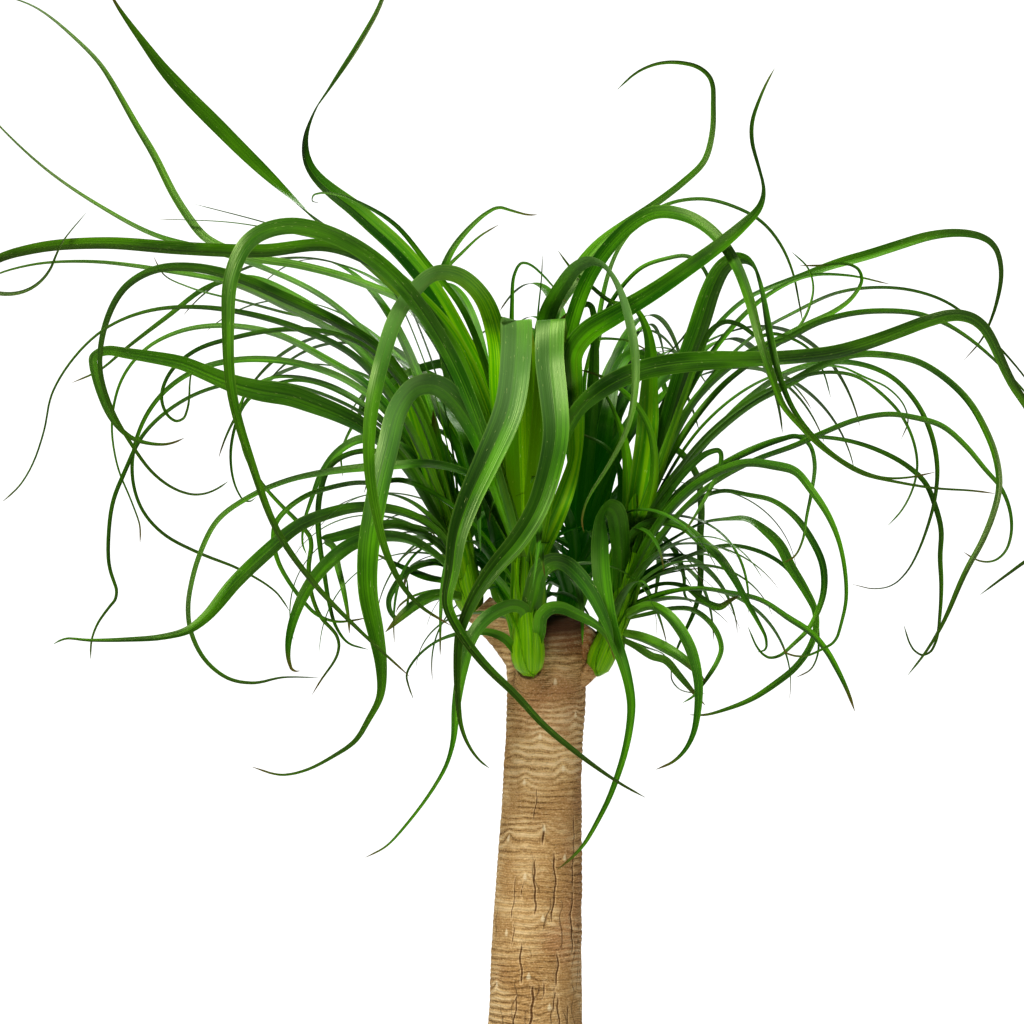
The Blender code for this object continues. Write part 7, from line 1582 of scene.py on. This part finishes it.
def barkFinish():
    finish = Finish("palmBark", Specular_IOR_Level=0.3)
    names = ("ridge", "crack", "scar", "cut", "height")
    ridge, crack, scar, cut, height = (finish.attribute(name) for name in names)
    coords = finish.place()
    x, y, _ = finish.axes(coords)
    angle = y.angle(x - 0.009)
    warp = finish.noise(coords, 30.0, 2.0) - 0.5
    blotch = finish.noise(coords, 22.0, 4.0, 0.6)
    pink = finish.noise(finish.place((1, 1, 1.6)), 13.0, 3.0, 0.5)
    grain = finish.noise(finish.place((60, 60, 150)), 4.0, 6.0, 0.65)
    dashes = finish.noise(finish.join(angle * 26.0, height * 4.5, 0.0), 1.0, 3.0, 0.6)
    tan = finish.mix(finish.step(blotch, 0.35, 0.65), colour(188, 150, 96), colour(218, 184, 128))
    # Pinkish brown patches of the bark, with more of them towards the right side as painted shade away from
    # the light
    pinkAndShadedRight = finish.mix(finish.step(pink + x * 3.0, 0.5, 0.72) * 0.45, tan, colour(176, 124, 88))
    high = finish.mix(finish.step(height + x * 60.0, 63.4, 65.4) * 0.75, pinkAndShadedRight, colour(138, 78, 36))
    grained = finish.mix(finish.step(grain, 0.45, 0.65) * 0.4, high, colour(150, 112, 62))
    speck = finish.noise(finish.place((1, 1, 1.4)), 620.0, 3.0, 0.6)
    pitted = finish.mix(finish.step(speck, 0.52, 0.66) * 0.4, grained, colour(124, 86, 44))
    flaked = finish.mix((1 - finish.step(speck, 0.34, 0.46)) * 0.4, pitted, colour(232, 204, 158))
    fine = (height * 33.0 + warp * 34.0).sin()
    lined = finish.mix(finish.step(fine, 0.2, 0.9) * finish.step(dashes, 0.42, 0.6) * 0.4, flaked,
                       colour(124, 90, 44))
    # Darker in the ring grooves: partly painted shade in them, partly the bark's own dark dots along the
    # rings
    groove = (1 - finish.step(ridge, 0.4, 0.86)) * (0.45 + finish.step(dashes, 0.4, 0.58) * 0.55)
    grooveShaded = finish.mix(groove * 0.75, lined, colour(98, 68, 28))
    # Painted highlight: pale on the crests of the rings, where they catch the light
    crest = finish.step(ridge, 0.86, 1.0) * finish.step(blotch, 0.4, 0.6)
    crestHighlighted = finish.mix(crest * 0.5, grooveShaded, colour(244, 222, 176))
    split = 1 - finish.step((angle * 9.0 + warp * 7.0).sin().abs(), 0.03, 0.17)
    broken = finish.step(finish.noise(finish.place((1, 1, 0.6)), 46.0, 1.0), 0.5, 0.6)
    low = 1 - finish.step(height, 42.0, 52.0) * 0.9
    seam = split * broken * low
    # Pale lips along the cracks: partly paler bark, partly painted highlight on the edges
    lip = finish.step(crack, 0.02, 0.16) * (1 - finish.step(crack, 0.25, 0.5))
    lipsPaleAndLit = finish.mix(lip * 0.45, crestHighlighted, colour(230, 198, 148))
    gap = (finish.step(crack, 0.25, 0.8) + seam * 0.6).clamp()
    cracked = finish.mix(gap * 0.85, lipsPaleAndLit, colour(78, 46, 18))
    marked = finish.step(scar + speck * 0.6, 0.6, 1.1)
    scarred = finish.mix(marked * 0.65, cracked, colour(236, 220, 180))
    worn = finish.mix(cut, scarred, colour(78, 50, 28))
    rough = grain * 0.4 + speck * 0.4 + fine * 0.12
    finish.feed(
        Base_Color=worn,
        Roughness=0.78 + grain * 0.14,
        Normal=finish.bump(rough - seam * 0.7 - groove * 0.3, 0.0016, 0.8),
    )
    return finish.material


def makeTrunk(material):
    meshes = [trunkMesh()] + [neckMesh(neck) for neck in necks]
    for mesh in meshes:
        pointNormalsOut(mesh)
    trunk = showMesh("trunk_bark", mergeMeshes("trunk_bark", meshes), material)
    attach(trunk, "root")
    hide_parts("trunk")


# Soil and pot

# Places of the soil's outline in centimetres: how far out, how high
soilLook = {
    "around": 120,
    "rings": 34,
    "seed": 31,
    "rough": 0.22,
    "wall": ((10.75, 18.0), (10.7, 18.25)),
    "crownOuter": (10.6, 18.35),
    "crownInner": (7.85, 18.65),
    "hole": ((7.85, 17.5), (7.4, 16.2), (5.4, 14.5), (0.3, 14.47)),
}


def soilFinish():
    finish = Finish("pottingSoil", Specular_IOR_Level=0.2)
    lumps = finish.noise(finish.place((60, 60, 60)), 2.0, 8.0, 0.7)
    crumbs = finish.node("ShaderNodeTexVoronoi", None,
                         {"Vector": finish.place((150, 150, 150)), "Scale": 1.6})
    grit = finish.noise(finish.place((200, 200, 200)), 1.3, 2.0)
    dark = finish.mix(lumps, colour(36, 25, 18), colour(92, 68, 48))
    fibre = finish.mix(finish.step(crumbs, 0.1, 0.5) * 0.5, colour(26, 18, 12), dark)
    specks = finish.mix(finish.step(grit, 0.72, 0.76), fibre, colour(206, 198, 182))
    finish.feed(
        Base_Color=specks,
        Roughness=0.9 + lumps * 0.08,
        Normal=finish.bump(lumps * 0.7 + crumbs * 0.3, 0.004, 0.9),
    )
    return finish.material


def makeSoil(material):
    low, high = (np.array(corner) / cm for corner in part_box("soil"))
    around = soilLook["around"]
    rings = soilLook["rings"]
    bottom = low[2]
    crown = np.linspace(soilLook["crownOuter"], soilLook["crownInner"], rings)
    under = ((0.3, bottom), (6.8, bottom), (7.8, bottom + 0.4)) + soilLook["wall"]
    profile = np.concatenate((under, crown, soilLook["hole"]))
    top = np.zeros(len(profile))
    top[len(under):len(under) + rings] = 1
    grid, reach = np.meshgrid(np.linspace(0, 1, around, endpoint=False), profile[:, 0])
    bumps = softNoise(grid, reach, 26, 1.1, soilLook["seed"])
    bumps += 0.7 * softNoise(grid, reach, 60, 0.5, soilLook["seed"] + 1)
    height = profile[:, 1][:, None] + (soilLook["rough"] * 0.5 * bumps - 0.05) * top[:, None]
    radius = np.minimum(reach, high[0])
    angle = grid * math.tau
    rows = np.stack((radius * np.cos(angle), radius * np.sin(angle), height), axis=2)
    mesh = gridMesh("soilTop", rows * cm)
    pointNormalsOut(mesh)
    soil = showMesh("potting_soil", mesh, material)
    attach(soil, "root")
    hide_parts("soil")


potLook = {
    "clay": (168, 92, 60),
    "paleClay": (190, 112, 76),
    "dust": (136, 72, 48),
    "roughness": 0.56,
}


def potFinish():
    finish = Finish("potClay", Specular_IOR_Level=0.4)
    cloud = finish.noise(finish.place((9, 9, 9)), 1.0, 4.0, 0.55)
    speck = finish.noise(finish.place((260, 260, 260)), 1.5, 2.0)
    brushed = finish.noise(finish.place((10, 10, 330)), 1.0, 3.0, 0.6)
    clay = finish.mix(cloud, colour(*potLook["clay"]), colour(*potLook["paleClay"]))
    dusted = finish.mix(finish.step(speck, 0.62, 0.74) * 0.35, clay, colour(*potLook["dust"]))
    finish.feed(
        Base_Color=dusted,
        Roughness=potLook["roughness"] + brushed * 0.14,
        Normal=finish.bump(brushed * 0.7 + speck * 0.3, 0.0006, 0.5),
    )
    return finish.material


def makePot(material):
    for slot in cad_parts["pot"].material_slots:
        slot.material = material


print("stage: camera, light and floor")
setCamera()
setLights()
setFloor()

print("stage: leaves")
grown = allLeaves()
clearLeaves(grown)
fillDraw = random.Random(growth["seed"] + 2)
grown += fillLeaves(fillDraw)
for headName in cores:
    grown += sheathLeaves(headName, fillDraw)
palmLeaf = leafFinish()
sweep = bladeTree(palmLeaf)
toneDraw = random.Random(growth["seed"] + 1)
for headName in cores:
    ownLeaves = [leaf for leaf in grown if leaf.head == headName]
    growHead(headName, ownLeaves, sweep, palmLeaf, toneDraw)

print("stage: trunk")
makeTrunk(barkFinish())

print("stage: soil and pot")
makeSoil(soilFinish())
makePot(potFinish())
